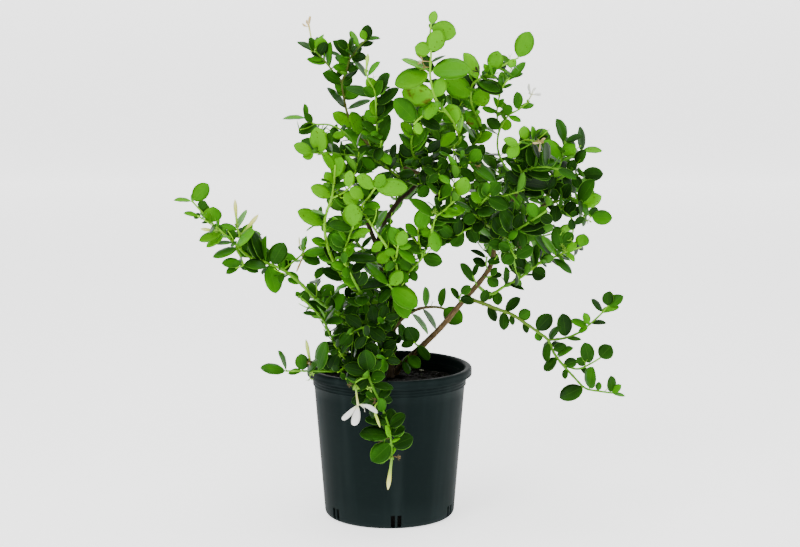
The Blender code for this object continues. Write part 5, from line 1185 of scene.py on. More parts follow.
class Shapes:
    # The shapes of one piece, with a few values at each point that its finish reads

    def __init__(self):
        self.points, self.faces, self.values, self.maps, self.total = [], [], [], [], 0

    def add(self, rings, across, alongIt, tone=0.0, chance=0.0, under=0.0):
        # Lofts the rings and spreads each value over their points
        points, faces = loft(rings)
        shape = rings.shape[:3]
        self.points.append(points)
        self.faces.append(faces + self.total)
        self.maps.append(np.stack([np.broadcast_to(across, shape), np.broadcast_to(alongIt, shape)],
                                  axis=-1).reshape(-1, 2))
        self.values.append(np.stack([np.broadcast_to(value, shape) for value in (tone, chance, under)],
                                    axis=-1).reshape(-1, 3))
        self.total += len(points)


pieces = []


def makePiece(name, shapes, finish, nodes):
    # One mesh object from the collected shapes, riding on the root body
    points, faces = np.concatenate(shapes.points), np.concatenate(shapes.faces)
    mesh = bpy.data.meshes.new(name)
    mesh.vertices.add(len(points))
    mesh.vertices.foreach_set("co", points.astype(np.float32).ravel())
    mesh.loops.add(faces.size)
    mesh.loops.foreach_set("vertex_index", faces.astype(np.int32).ravel())
    mesh.polygons.add(len(faces))
    mesh.polygons.foreach_set("loop_start", np.arange(0, faces.size, 4, dtype=np.int32))
    mesh.update(calc_edges=True)
    values = np.concatenate(shapes.values)
    for column, key in enumerate(("tone", "chance", "under")):
        layer = mesh.attributes.new(key, "FLOAT", "POINT")
        layer.data.foreach_set("value", values[:, column].astype(np.float32))
    surface = mesh.uv_layers.new(name="surface")
    surface.data.foreach_set("uv", np.concatenate(shapes.maps)[faces.ravel()].astype(np.float32).ravel())
    mesh.shade_smooth()
    mesh.validate()
    mesh.materials.append(finish)
    piece = bpy.data.objects.new(name, mesh)
    bpy.context.scene.collection.objects.link(piece)
    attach(piece, "root")
    if nodes:
        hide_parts(*nodes)
    pieces.append(piece)
    return piece


def unit(vectors):
    # Each vector over its own length
    return vectors / np.maximum(np.linalg.norm(vectors, axis=-1, keepdims=True), 1e-9)


# Leaves

# A blade's ring: how far across each of its points is, and which are on its upper and lower face
bladeAcross = np.array([-1, -0.55, 0, 0.55, 1, 0.55, 0, -0.55])[None, None, :]
bladeFace = np.array([0, 1, 1, 1, 0, -1, -1, -1])[None, None, :]

leafForm = {
    "fineStops": (0.0, 0.055, 0.095, 0.18, 0.33, 0.51, 0.69, 0.84, 0.93, 0.978, 1.0),
    "plainStops": (0.0, 0.06, 0.11, 0.27, 0.50, 0.74, 0.91, 1.0),
    "petiole": 0.06, "stalk": 0.00055, "baseFullness": 0.60, "tipFullness": 0.58, "point": 0.0006,
    "fold": (0.10, 0.30), "curl": (0.02, 0.12), "bend": (-0.02, 0.05), "droop": (-0.01, 0.07),
    "twist": 0.06, "wave": 0.010, "thick": 0.00026, "widen": (1.02, 1.10), "widenPlain": (0.86, 1.10),
    "toCamera": 0.12, "tipFrom": 0.9, "waves": 17, "waveLean": 1.5, "wavePhase": 6.28, "stalkFade": 8,
    "rib": 0.00022,
}


def leafRings(leaves, stops, widen, draw):
    # A leaf's rings. Along the rib: root + way t, raised by bend t(1-t) and lowered by droop t squared.
    # Half-width: s^a (1-s)^b over the blade, a thin stalk before it. Each half rises with fold |v| and
    # falls with curl v squared, and its thickness shrinks to nothing at the margin.
    form = leafForm
    root, way, normal = (np.array([leaf[i] for leaf in leaves], dtype=float) for i in range(3))
    length, width = (np.array([leaf[i] for leaf in leaves])[:, None, None] for i in (3, 4))
    toCamera = unit(np.array(photo["place"]) - root)
    facing = unit(toCamera - way * (toCamera * way).sum(axis=1, keepdims=True))
    sameWay = np.sign((facing * normal).sum(axis=1, keepdims=True))
    normal = unit(normal + facing * form["toCamera"] * sameWay)
    side = np.cross(way, normal)
    root, way, normal, side = (part[:, None, None, :] for part in (root, way, normal, side))
    many = len(leaves)
    fold, curl, bend, droop = (draw.uniform(*form[key], (many, 1, 1))
                               for key in ("fold", "curl", "bend", "droop"))
    twist = draw.uniform(-form["twist"], form["twist"], (many, 1, 1))
    t = np.array(stops)[None, :, None]
    s = np.clip((t - form["petiole"]) / (1 - form["petiole"]), 0, 1)
    a, b = form["baseFullness"], form["tipFullness"]
    peak = a / (a + b)
    half = s ** a * (1 - s) ** b / (peak ** a * (1 - peak) ** b)
    half = half * width / 2 * draw.uniform(*widen, (many, 1, 1))
    half = np.maximum(half, np.where(s > form["tipFrom"], form["point"] * 0.5, form["stalk"]))
    v, face = bladeAcross, bladeFace
    lifted = half * (fold * np.abs(v) - curl * v ** 2)
    phase = draw.uniform(0, form["wavePhase"], (many, 1, 1))
    ripple = np.sin(t * form["waves"] + phase + v * form["waveLean"])
    wave = half * form["wave"] * ripple * np.abs(v) * 2
    stalk = np.clip(1 - s * form["stalkFade"], 0, 1)
    thick = form["thick"] * np.sqrt(np.clip(1 - v ** 2, 0, 1)) * (1 + stalk)
    rib = np.where((v == 0) & (face < 0), form["rib"], 0) * (1 - s)
    high = lifted + wave + face * thick - rib + length * (bend * 4 * t * (1 - t) - droop * t ** 2)
    aside = half * v * np.cos(twist * s) - thick * face * np.sin(twist * s)
    high = high + half * v * np.sin(twist * s)
    tipward = length * t + np.where(t >= 1.0, form["point"], 0)
    rings = root + way * tipward[..., None] + side * aside[..., None] + normal * high[..., None]
    under = np.where(face < 0, 1.0, np.where(face == 0, 0.5, 0.0)) + 0 * t
    return rings, v * 0.5 + 0.5 + 0 * t, t + 0 * v, under


# How young and light a spray's leaves look, 0 to 1, and how light single leaves look: pixels across and
# down to their middles, lightness. The lightness is partly the leaves' own colour, young lime or old deep
# green, and partly painted shade: leaves in the bush's dark masses get low values as if in shadow
leafTone = {
    "left_arm": 0.48, "left_outer": 0.22, "left_inner": 0.14, "low_left": 0.28, "front_trailing": 0.10,
    "front_mass": 0.04, "left_bright": 0.80, "left_front": 0.72, "centre_low": 0.20, "centre_bright": 0.70,
    "centre_right": 0.34, "arc": 0.40, "right_arm": 0.14, "right_shelf": 0.16, "right_front": 0.2,
    "right_left": 0.2, "right_crown": 0.2, "right_top": 0.22, "right_side": 0.2, "top_left": 0.45,
    "top_left_low": 0.42, "top_centre": 0.85, "top_right": 0.62, "top_far_right": 0.4, "crown_middle": 0.34,
}
toneSpots = (
    (432, 15, 0.8), (445, 28, 0.75), (437, 40, 0.78), (421, 49, 0.8), (403, 66, 0.7), (410, 78, 0.72),
    (417, 95, 0.75), (440, 85, 0.72), (447, 65, 0.58), (462, 57, 0.75), (460, 76, 0.6), (458, 92, 0.58),
    (400, 108, 0.35), (425, 115, 0.6), (450, 117, 0.6), (371, 83, 0.8), (372, 105, 0.75), (358, 118, 0.78),
    (341, 120, 0.75), (358, 130, 0.7), (345, 135, 0.72), (365, 140, 0.58), (318, 139, 0.75),
    (298, 148, 0.78), (308, 151, 0.7), (335, 165, 0.65), (372, 163, 0.4), (310, 188, 0.85),
    (345, 180, 0.85), (365, 184, 0.8), (390, 188, 0.66), (383, 130, 0.32), (425, 140, 0.42),
    (405, 126, 0.6), (440, 143, 0.45), (315, 45, 0.05), (300, 42, 0.15), (340, 45, 0.1), (322, 62, 0.35),
    (355, 36, 0.5), (368, 32, 0.3), (345, 68, 0.4), (332, 76, 0.14), (352, 58, 0.12), (330, 95, 0.15),
    (362, 73, 0.3), (375, 65, 0.35), (345, 90, 0.3), (357, 91, 0.2), (360, 103, 0.2), (383, 86, 0.36),
    (305, 110, 0.3), (285, 119, 0.45), (302, 127, 0.2), (333, 135, 0.1), (345, 144, 0.12), (400, 150, 0.05),
    (412, 156, 0.05), (395, 166, 0.2), (430, 180, 0.1), (463, 186, 0.78), (318, 188, 0.85), (347, 196, 0.8),
    (310, 218, 0.84), (352, 213, 0.74), (371, 206, 0.55), (334, 222, 0.3), (342, 229, 0.55),
    (350, 237, 0.5), (335, 241, 0.35), (317, 243, 0.6), (310, 251, 0.55), (305, 259, 0.3), (398, 211, 0.35),
    (385, 216, 0.5), (420, 222, 0.5), (435, 210, 0.6), (395, 232, 0.38), (430, 236, 0.55), (446, 212, 0.68),
    (405, 248, 0.42), (411, 259, 0.4), (432, 262, 0.25), (361, 253, 0.3), (370, 270, 0.4), (388, 275, 0.62),
    (343, 267, 0.6), (360, 287, 0.52), (405, 297, 0.58), (400, 311, 0.45), (325, 295, 0.35),
    (315, 290, 0.2), (336, 300, 0.4), (310, 304, 0.15), (360, 296, 0.15), (371, 301, 0.4), (445, 311, 0.36),
    (428, 292, 0.4), (443, 297, 0.52), (413, 335, 0.15), (417, 320, 0.42), (325, 357, 0.3), (302, 360, 0.3),
    (365, 360, 0.0), (354, 369, 0.04), (376, 366, 0.06), (412, 363, 0.3), (518, 98, 0.3), (525, 106, 0.5),
    (510, 110, 0.4), (504, 122, 0.7), (512, 121, 0.5), (495, 126, 0.3), (484, 112, 0.4), (478, 126, 0.5),
    (490, 155, 0.35), (495, 167, 0.02), (522, 133, 0.75), (531, 138, 0.6), (541, 132, 0.6), (508, 148, 0.7),
    (520, 150, 0.06), (530, 158, 0.1), (547, 150, 0.35), (557, 130, 0.15), (563, 138, 0.5),
    (565, 152, 0.45), (580, 140, 0.15), (590, 147, 0.65), (581, 160, 0.06), (572, 170, 0.15),
    (593, 172, 0.1), (553, 163, 0.2), (540, 175, 0.08), (585, 185, 0.15), (592, 197, 0.65),
    (565, 205, 0.04), (551, 215, 0.05), (601, 217, 0.3), (557, 236, 0.22), (540, 245, 0.35),
    (549, 246, 0.6), (471, 65, 0.75), (582, 240, 0.66), (534, 215, 0.35), (545, 230, 0.08),
    (520, 262, 0.12), (537, 275, 0.15), (530, 250, 0.12), (480, 199, 0.6), (483, 178, 0.3),
    (197, 190, 0.55), (222, 208, 0.52), (212, 215, 0.62), (185, 200, 0.7), (192, 214, 0.72),
    (212, 236, 0.7), (222, 247, 0.48), (250, 225, 0.55), (275, 250, 0.22), (277, 281, 0.4), (235, 268, 0.3),
    (250, 262, 0.14), (255, 245, 0.12), (386, 418, 0.14), (407, 445, 0.05), (386, 431, 0.85),
    (396, 440, 0.85), (382, 452, 0.14), (372, 435, 0.18), (388, 400, 0.25), (270, 367, 0.3),
    (277, 357, 0.35), (610, 309, 0.6), (609, 298, 0.22), (616, 300, 0.25), (585, 325, 0.5),
    (611, 384, 0.15), (617, 388, 0.5), (570, 393, 0.18), (590, 377, 0.1), (545, 322, 0.05),
    (587, 352, 0.12), (605, 350, 0.1), (571, 361, 0.06), (525, 315, 0.2),
)


# Painted shade: places inside the bush where leaves are darkened as if in shadow, most at the middle:
# pixel across, down, mm behind the pot's axis, and reach in metres
paintedShadeHearts = ((380, 310, 0, 0.13), (515, 205, 0, 0.11), (425, 168, 20, 0.09))

# Leaves with brown patches: pixels across and down
brownPatches = ((420, 95), (451, 117), (472, 126))


# How lightness varies: distances in pixels, the rest as shares
toneRule = {
    "chance": 0.24, "lightFrom": 0.25, "rareLight": 0.80, "rareDark": 0.87, "rareGain": 0.24,
    # heart and awayFromHeart: how deep the painted shade is at a heart's middle, and how it eases off
    "heart": 0.42, "awayFromHeart": 0.58, "spotReach": 9, "spotChance": 0.12,
    "mostChance": 0.94, "brownReach": 8, "brownChance": 0.98,
}


def middlesOf(leaves):
    # Where each leaf's middle is: its root and half its length
    return np.array([leaf[0] + leaf[1] * leaf[3] / 2 for leaf in leaves], dtype=float)


def tonesOf(leaves, base, chance, share):
    # The spray's lightness with a little chance, times 0.42 + 0.58 (d / r) squared near a dark heart, which
    # is painted shade inside the bush, or for its own leaves that of the nearest place noted
    rule = toneRule
    middles = middlesOf(leaves)
    rarely = rule["rareLight"] if base > rule["lightFrom"] else rule["rareDark"]
    rareGain = np.where((chance > rarely) & (share < 1), rule["rareGain"], 0.0)
    tones = base * share + (chance - 0.5) * rule["chance"] + rareGain
    # painted shade: leaves near each heart are darkened as if the bush shaded them
    for x, y, depth, reach in paintedShadeHearts:
        away = np.linalg.norm(middles - np.array(photoPoint(x, y, depth)), axis=1) / reach
        tones = tones * np.clip(rule["heart"] + rule["awayFromHeart"] * away ** 2, 0, 1)
    if share == 1.0:
        spots = np.array([*moreSpots, *toneSpots])
        away = np.linalg.norm(pixelsOf(middles)[:, None] - spots[None, :, :2], axis=-1)
        nearest = away.argmin(axis=1)
        noted = away.min(axis=1) < rule["spotReach"]
        tones = np.where(noted, spots[nearest, 2] + (chance - 0.5) * rule["spotChance"], tones)
    return np.clip(tones, 0, 1)[:, None, None]


def addLeaves(shapes, leaves, stops, base, share, draw):
    # A spray's leaves with their tones; a share of 1 means leaves that the photograph shows
    if not leaves:
        return
    chance = draw.random(len(leaves)) * toneRule["mostChance"]
    if share == 1.0:
        away = pixelsOf(middlesOf(leaves))[:, None] - np.array(brownPatches)[None]
        brown = np.linalg.norm(away, axis=-1).min(axis=1) < toneRule["brownReach"]
        chance = np.where(brown, toneRule["brownChance"], chance)
    widen = leafForm["widen"] if share == 1.0 else leafForm["widenPlain"]
    rings, across, alongIt, under = leafRings(leaves, stops, widen, draw)
    shapes.add(rings, across, alongIt, tonesOf(leaves, base, chance, share), chance[:, None, None], under)


# Shoots, twigs and thorns

stemForm = {
    "step": 0.004, "sides": 8, "nodeGap": 0.014, "swell": 0.22, "swellReach": 0.0016,
    "endPlaces": (0.55, 0.9), "endReaches": (0.8, 0.35), "tipwardAge": 0.35, "mapScale": 20, "seedStep": 0.37,
    "thorn": (0.006, 0.011), "prong": (0.004, 0.008), "thornThick": 0.00055, "thornShare": 0.10, "least": 2.6,
    "stalkWide": (1.3, 0.9), "prongWide": (0.9, 0.15), "prongLean": 0.62, "thornTone": 0.25,
    "thornStep": 3, "thornWay": 0.5, "thornAcross": (0.3, 1.0, 0.4),
}


def tubeRings(points, radii, sides, roundEnd=True):
    # Rings about a line: point + radius (cos a across + sin a other), square to the line, and two
    # smaller ones past its end that round it
    way = unit(np.gradient(points, axis=0))
    across = unit(np.cross(way, np.array(oddWay)))
    other = np.cross(way, across)
    if roundEnd:
        last, reach = points[-1], radii[-1]
        points = np.concatenate([points, [last + way[-1] * reach * place for place in stemForm["endPlaces"]]])
        radii = np.concatenate([radii, [reach * part for part in stemForm["endReaches"]]])
        across, other = (np.concatenate([part, part[-1:], part[-1:]]) for part in (across, other))
    angle = np.arange(sides) * math.tau / sides
    spokes = np.cos(angle)[None, :, None] * across[:, None] + np.sin(angle)[None, :, None] * other[:, None]
    return points[:, None] + spokes * radii[:, None, None], spokes


def addStem(shapes, points, thick, tone, seed):
    # A shoot: it tapers evenly, swells at its nodes and wanders a little
    line = np.array(smoothLine([Vector(point) for point in points], stemForm["step"]), dtype=float)
    spans = np.concatenate([[0], np.cumsum(np.linalg.norm(np.diff(line, axis=0), axis=1))])
    share = spans / spans[-1]
    radii = (thick[0] + (thick[1] - thick[0]) * share) / 2000
    gap = stemForm["nodeGap"]
    nearNode = np.abs((spans + gap / 2) % gap - gap / 2)
    radii = radii * (1 + stemForm["swell"] * np.exp(-(nearNode / stemForm["swellReach"]) ** 2))
    rings, _ = tubeRings(line, radii, stemForm["sides"])
    distances = np.concatenate([spans, [spans[-1], spans[-1]]])[None, :, None]
    around = (np.arange(stemForm["sides"]) / stemForm["sides"])[None, None, :]
    ages = tone - stemForm["tipwardAge"] * np.concatenate([share, [1, 1]])
    chance = (seed * stemForm["seedStep"]) % 1.0
    shapes.add(rings[None], around, distances * stemForm["mapScale"], np.clip(ages, 0, 1)[None, :, None],
               chance, 0.0)
    return line


def addThorn(shapes, root, way, normal, scale):
    # A forked green thorn: a short stalk and two thin prongs at about 60 degrees to each other
    form = stemForm
    length = form["thorn"][0] + (form["thorn"][1] - form["thorn"][0]) * scale
    prong = form["prong"][0] + (form["prong"][1] - form["prong"][0]) * scale
    fork = root + way * length
    side = np.cross(way, normal)
    share = np.linspace(0, 1, 4)[:, None]
    parts = [(root, fork, form["stalkWide"])]
    for lean in (form["prongLean"], -form["prongLean"]):
        parts.append((fork, fork + unit(way + side * lean) * prong, form["prongWide"]))
    for start, end, wide in parts:
        line = start + (end - start) * share
        radii = form["thornThick"] * (wide[0] + (wide[1] - wide[0]) * share[:, 0])
        rings, _ = tubeRings(line, radii, 6)
        shapes.add(rings[None], 0.5, 0.0, form["thornTone"], 0.5, 0.0)


# Shoots' look: 0 is lime green, 1 is woody brown
stemTone = {
    "left_bright": 0.1, "left_front": 0.3, "right_arm": 0.45, "centre_bright": 0.1, "top_centre": 0.1,
    "top_right": 0.2, "left_arm": 0.25, "centre_right": 0.25, "top_far_right": 0.25, "arc": 0.85,
    "top_left": 0.72, "right_shelf": 0.15,
}

# Shoots that look thicker than the frame's
stemWiden = {
    "left_bright": 1.35, "centre_bright": 1.2, "top_centre": 1.2, "left_arm": 1.1, "arc": 1.3,
    "right_shelf": 1.3, "right_arm": 1.35,
}

sprayForm = {
    "leafSeed": 11, "thornSeed": 23, "usualTone": 0.12, "extraTone": 0.45, "lightShare": 0.55,
    "darkShare": 0.40, "usualAge": 0.4, "mainAge": 0.2, "sideAge": 0.05,
}


def addThorns(stems, line, chance):
    # Thorns at chance places along a shoot, each turned about it by a chance angle and leaning tipward
    form = stemForm
    way = unit(np.gradient(line, axis=0))
    for i in range(form["thornStep"], len(line) - 2, form["thornStep"]):
        if chance.random() < form["thornShare"]:
            angle = chance.uniform(0, math.tau)
            across = unit(np.cross(way[i], np.array(form["thornAcross"])))
            other = np.cross(way[i], across)
            outward = math.cos(angle) * across + math.sin(angle) * other + way[i] * form["thornWay"]
            outward = unit(outward)
            addThorn(stems, line[i], outward, unit(np.cross(outward, way[i])), chance.random())


def makeSprays(leafFinish, stemFinish):
    # Two pieces for each spray: its leaves, and its shoots with their side twigs and thorns
    form = sprayForm
    draw = np.random.default_rng(form["leafSeed"])
    chance = random.Random(form["thornSeed"])
    for name, (_, shoots) in leafySprays.items():
        node = "spray_" + name
        leaves = Shapes()
        base = leafTone.get(name, form["usualTone"])
        # extra leaves get a share of the spray's tone, so they are darker: partly older leaves inside the
        # bush and partly painted shade there
        share = form["lightShare"] if base > toneRule["lightFrom"] else form["darkShare"]
        extraBase = min(base, form["extraTone"])
        addLeaves(leaves, frameLeaves[name], leafForm["fineStops"], base, 1.0, draw)
        addLeaves(leaves, extraLeaves[name], leafForm["plainStops"], extraBase, share, draw)
        makePiece("leaves_" + name, leaves, leafFinish, [node])
        stems = Shapes()
        age = stemTone.get(name, form["usualAge"])
        wider = stemWiden.get(name, 1.0)
        for k, row in enumerate(shoots):
            points = [photoPoint(*point) for point in row["route"]]
            thick = (row["thick"][0] * wider, max(row["thick"][1] * wider, stemForm["least"]))
            older = form["sideAge"] if k else form["mainAge"]
            addThorns(stems, addStem(stems, points, thick, age + older, k + 1), chance)
        for k, points in enumerate(sideTwigs[name]):
            addStem(stems, points, fill["twigThick"], age, k + 7)
        makePiece("stems_" + name, stems, stemFinish, [node])


# Trunks

trunkForm = {
    "sides": 28, "step": 0.0035, "ridge": 0.055, "lump": 0.05, "scarGap": 0.019, "scarRise": 0.10,
    "scarReach": 0.0016, "flare": 0.35, "flareReach": 0.012, "footDepth": 0.035, "footRings": 9,
    "noiseRound": 4.0, "noiseAlong": 42, "lumpScale": 0.4, "wobble": 0.004, "wobbleSize": 0.03,
    "body": 0.97, "endPlaces": (0.5, 0.85), "endReaches": (0.8, 0.4), "ridgeLightness": 6, "mapScale": 10,
    "branchTone": 0.4,
}


def addWood(shapes, row, isTrunk, seed, tone):
    # Bark: the radius grows at ringed scars and by ridges that run along the wood, from noise that
    # changes quickly round it and slowly along it. A trunk goes on into the mix and widens there.
    form = trunkForm
    points = [photoPoint(*point) for point in row["route"]]
    line = np.array(smoothLine(points, form["step"]), dtype=float)
    if isTrunk:
        depths = np.linspace(form["footDepth"], form["step"], form["footRings"])[:, None]
        line = np.concatenate([line[:1] - np.array([[0, 0, 1.0]]) * depths, line])
    spans = np.concatenate([[0], np.cumsum(np.linalg.norm(np.diff(line, axis=0), axis=1))])
    start = spans[form["footRings"]] if isTrunk else 0.0
    share = np.clip((spans - start) / (spans[-1] - start), 0, 1)
    radii = (row["thick"][0] + (row["thick"][1] - row["thick"][0]) * share) / 2000
    _, spokes = tubeRings(line, radii, form["sides"], False)
    around = np.arange(form["sides"]) * math.tau / form["sides"]
    scale = form["noiseRound"]
    grid = np.stack(np.broadcast_arrays(np.cos(around)[None] * scale + seed, np.sin(around)[None] * scale,
                                        spans[:, None] * form["noiseAlong"]), axis=-1)
    ridges = cellNoise(grid, 1.0, seed) * form["ridge"]
    ridges = ridges + cellNoise(grid * form["lumpScale"], 1.0, seed + 5) * form["lump"]
    spot = np.stack([spans, spans, spans], -1)
    wobble = spans + form["wobble"] * cellNoise(spot, form["wobbleSize"], seed + 9)
    gap = form["scarGap"]
    fromScar = np.abs((wobble + gap / 2) % gap - gap / 2)
    scars = np.exp(-(fromScar / form["scarReach"]) ** 2) * form["scarRise"]
    flare = form["flare"] * np.exp(-np.abs(spans - start) / form["flareReach"]) if isTrunk else 0 * spans
    reach = radii[:, None] * (form["body"] + ridges + scars[:, None] + flare[:, None])
    rings = line[:, None] + spokes * reach[..., None]
    way = line[-1] - line[-2]
    end = line[-1] + unit(way) * radii[-1] * np.array(form["endPlaces"])[:, None]
    ends = end[:, None] + spokes[-1:] * radii[-1] * np.array(form["endReaches"])[:, None, None]
    rings = np.concatenate([rings, ends])
    distance = np.concatenate([spans, spans[-1:], spans[-1:]]) * form["mapScale"]
    # the bark's colour follows its ridges: lighter where they rise, darker between them
    ridgeLightness = np.concatenate([ridges, ridges[-1:], ridges[-1:]])[None] * form["ridgeLightness"] + 0.5
    shapes.add(rings[None], (around / math.tau)[None, None], distance[None, :, None],
               tone, np.clip(ridgeLightness, 0, 1), 0.0)


def makeTrunks(finish):
    # One piece for each trunk and its forks: how light its bark is, and its seed
    for name, tone, seed in (("trunk_centre", 0.15, 3), ("trunk_right", 0.75, 8)):
        shapes = Shapes()
        for k, row in enumerate(woodShoots[name]):
            addWood(shapes, row, k == 0, seed + k, tone if k == 0 else tone * trunkForm["branchTone"])
        makePiece("wood_" + name, shapes, finish, [name])


# Blooms

bloomForm = {
    "petalStops": (0.0, 0.10, 0.24, 0.42, 0.60, 0.76, 0.88, 0.96, 1.0),
    "petalThick": 0.0003, "petalTurn": 0.18, "petalTurnDraw": 0.1, "petalFoot": 1.10, "petalTip": 0.42,
    "petalLeast": 0.0004, "petalArch": 0.10, "bendDraw": 0.3, "cup": 0.16, "ripple": 0.10, "ripples": 9,
    "skew": 0.10, "underTone": 0.2, "openBend": 0.10,
    "budRings": 18, "budSides": 10, "clubFoot": 0.95, "clubGain": 0.80, "soften": (0.25, 0.5, 0.25),
    "folds": 5, "foldDepth": 0.07, "budWinding": 1.0, "tubeWinding": 0.4, "moreWinding": 0.8,
    "sepals": 5, "sepalOut": 0.75, "sepalLean": 0.28, "sepalWide": 0.5, "sepalBend": -0.05,
    "sepalLength": 0.005, "frontSepalLength": 0.009, "faceTurn": 0.35,
}


def addPetals(shapes, petals, tone, fade, curlBack, seed):
    # Petals that overlap like a pinwheel: half-width t^1.1 (1-t)^0.42, each turned about its own line,
    # rising then bending back
    draw = np.random.default_rng(seed)
    form = bloomForm
    root, way, normal = (np.array([petal[i] for petal in petals], dtype=float)[:, None, None]
                         for i in range(3))
    length = np.array([petal[3] for petal in petals])[:, None, None]
    many = len(petals)
    turned = form["petalTurn"] + draw.uniform(-form["petalTurnDraw"], form["petalTurnDraw"], (many, 1, 1, 1))
    flat = np.cross(way, normal)
    side = flat * np.cos(turned) + normal * np.sin(turned)
    normal = normal * np.cos(turned) - flat * np.sin(turned)
    t = np.array(form["petalStops"])[None, :, None]
    half = (t + 0.02) ** form["petalFoot"] * (1.001 - t) ** form["petalTip"]
    width = np.array([petal[4] for petal in petals])[:, None, None]
    half = np.maximum(half / half.max() * width / 2, form["petalLeast"])
    v, face = bladeAcross, bladeFace
    bent = curlBack * (1 + draw.uniform(-form["bendDraw"], form["bendDraw"], (many, 1, 1)))
    high = length * (form["petalArch"] * 4 * t * (1 - t) - bent * t ** 3) + half * form["cup"] * v ** 2
    ripple = np.sin(form["ripples"] * t + v + draw.uniform(0, 6, (many, 1, 1)))
    high = high + half * form["ripple"] * ripple * np.abs(v)
    high = high + face * form["petalThick"] * np.sqrt(np.clip(1 - v ** 2, 0, 1))
    skew = half * v + length * form["skew"] * t ** 2
    rings = root + way * (length * t)[..., None] + side * skew[..., None] + normal * high[..., None]
    shapes.add(rings, v * 0.5 + 0.5, t, tone, fade, np.where(face < 0, form["underTone"], 0.0))


def addBud(shapes, line, radii, fade, twisted, green):
    # A bud or a flower's tube: the radius follows the frame's four and five soft folds wind up it
    form = bloomForm
    spans = np.array(lengthsAlong(line))
    stop = np.linspace(0, spans[-1], form["budRings"])
    points = np.stack([np.interp(stop, spans, [point[i] for point in line]) for i in range(3)], -1)
    profile = np.interp(stop, spans, radii)
    if radii[-1] < radii[0]:
        share = stop / spans[-1]
        club = form["clubFoot"] + form["clubGain"] * np.clip(share * 2.4 - 0.8, 0, 1)
        profile = radii[0] * club * np.sqrt(np.clip(1.02 - share ** 7, 0.03, 1))
    profile = np.convolve(np.pad(profile, 1, "edge"), form["soften"], "valid")
    rings, _ = tubeRings(points, profile, form["budSides"])
    share = np.concatenate([stop / spans[-1], [1.0, 1.0]])
    around = np.arange(form["budSides"]) * math.tau / form["budSides"]
    winding = np.cos(form["folds"] * around[None] + twisted * share[:, None] * form["folds"])
    winding = winding * form["foldDepth"] * np.clip(share * 2 - 0.5, 0, 1)[:, None]
    middle = rings.mean(axis=1, keepdims=True)
    rings = middle + (rings - middle) * (1 + winding[..., None])
    shapes.add(rings[None], (around / math.tau)[None, None], share[None, :, None], 1.0, fade, green)


def addCalyx(shapes, root, way, radius, length):
    # Five narrow green sepals that hug the foot of a flower or bud
    form = bloomForm
    across = unit(np.cross(way, np.array(oddWay)))
    other = np.cross(way, across)
    sepals = []
    for k in range(form["sepals"]):
        angle = math.tau * k / form["sepals"]
        outward = math.cos(angle) * across + math.sin(angle) * other
        lean = unit(way + outward * form["sepalLean"])
        facing = unit(outward - lean * np.dot(outward, lean))
        foot = root + outward * radius * form["sepalOut"]
        sepals.append((foot, lean, facing, length, length * form["sepalWide"]))
    addPetals(shapes, sepals, 0.0, 0.0, form["sepalBend"], 5)


# Blooms: how faded, how much thicker than the frame's, and how green, 0 white, 1 yellow, 2 lime
fadeOf = {"flower_faded_left": 0.34, "flower_faded_right": 0.33, "flower_pale_right": 0.0}
thicker = {
    "bud_front": 1.25, "flower_faded_left": 1.6, "flower_pale_right": 1.5, "flower_front": 1.15,
    "bud_left_upright": 2.0, "bud_left_long": 2.0, "bud_left_low": 1.7, "bud_top": 1.8, "bud_low_left": 1.9,
}
greener = {
    "flower_front": 0.9, "bud_top": 1.8, "bud_low_left": 1.5, "flower_faded_left": 0.9,
    "flower_pale_right": 0.6,
}
# Petals whose tips the photograph shows: pixels across and down, mm nearer than the tube's end, and
# width in mm
petalTips = {
    "flower_front": ((344.5, 421.5, 8, 8.5), (356.5, 425.5, 13, 12.5), (378, 411, 5, 8.5),
                     (366, 410, -16, 7.0), (350, 416, -16, 7.0)),
    "flower_faded_left": ((309, 16, 2, 4.2), (302, 24, -2, 3.6), (306, 20, 0, 3.6)),
    "flower_faded_right": ((533, 144, 2, 3.6), (545, 138, 0, 4.0), (541, 152, -2, 3.2),
                           (538, 139, -4, 3.0)),
    "flower_pale_right": ((528, 84, 2, 4.5), (541, 93, 0, 4.5), (535, 87, -2, 4.0), (529, 92, 0, 3.6)),
}
# More buds of the scene alone: points from a shoot to the tip (pixel across, down, mm behind the pot's
# axis), thickness in mm, how green, how faded
moreBuds = (
    (((379, 401, -146), (375, 406, -153), (375, 413, -158), (380, 427, -160)), 3.8, 1.5, 0.0),
    (((313, 50, 62), (312, 47, 60), (312, 43, 58), (313, 39, 57)), 2.2, 1.8, 0.0),
    (((304, 253, -27), (301.5, 260, -32), (299, 266, -34), (296.5, 272, -34)), 2.6, 1.0, 0.42),
    (((304, 252, -27), (301, 249, -32), (299.5, 243, -34), (299, 237, -34)), 2.2, 0.7, 0.0),
)


def shownPetals(line, tips):
    # Petals from just inside the tube to the tips that the photograph shows, facing its camera
    end = line[-1]
    way = (end - line[0]).normalized()
    petals = []
    for x, y, nearer, width in tips:
        tip = photoPoint(x, y, end.y * 1000 - nearer)
        petalWay = (tip - end).normalized()
        root = end - way * bloomRule["sink"] + petalWay * bloomRule["spacing"]
        facing = (photo["place"] - end).normalized() - way * bloomForm["faceTurn"]
        normal = (facing - petalWay * facing.dot(petalWay)).normalized()
        petals.append((root, petalWay, normal, (tip - root).length, width / 1000))
    return petals


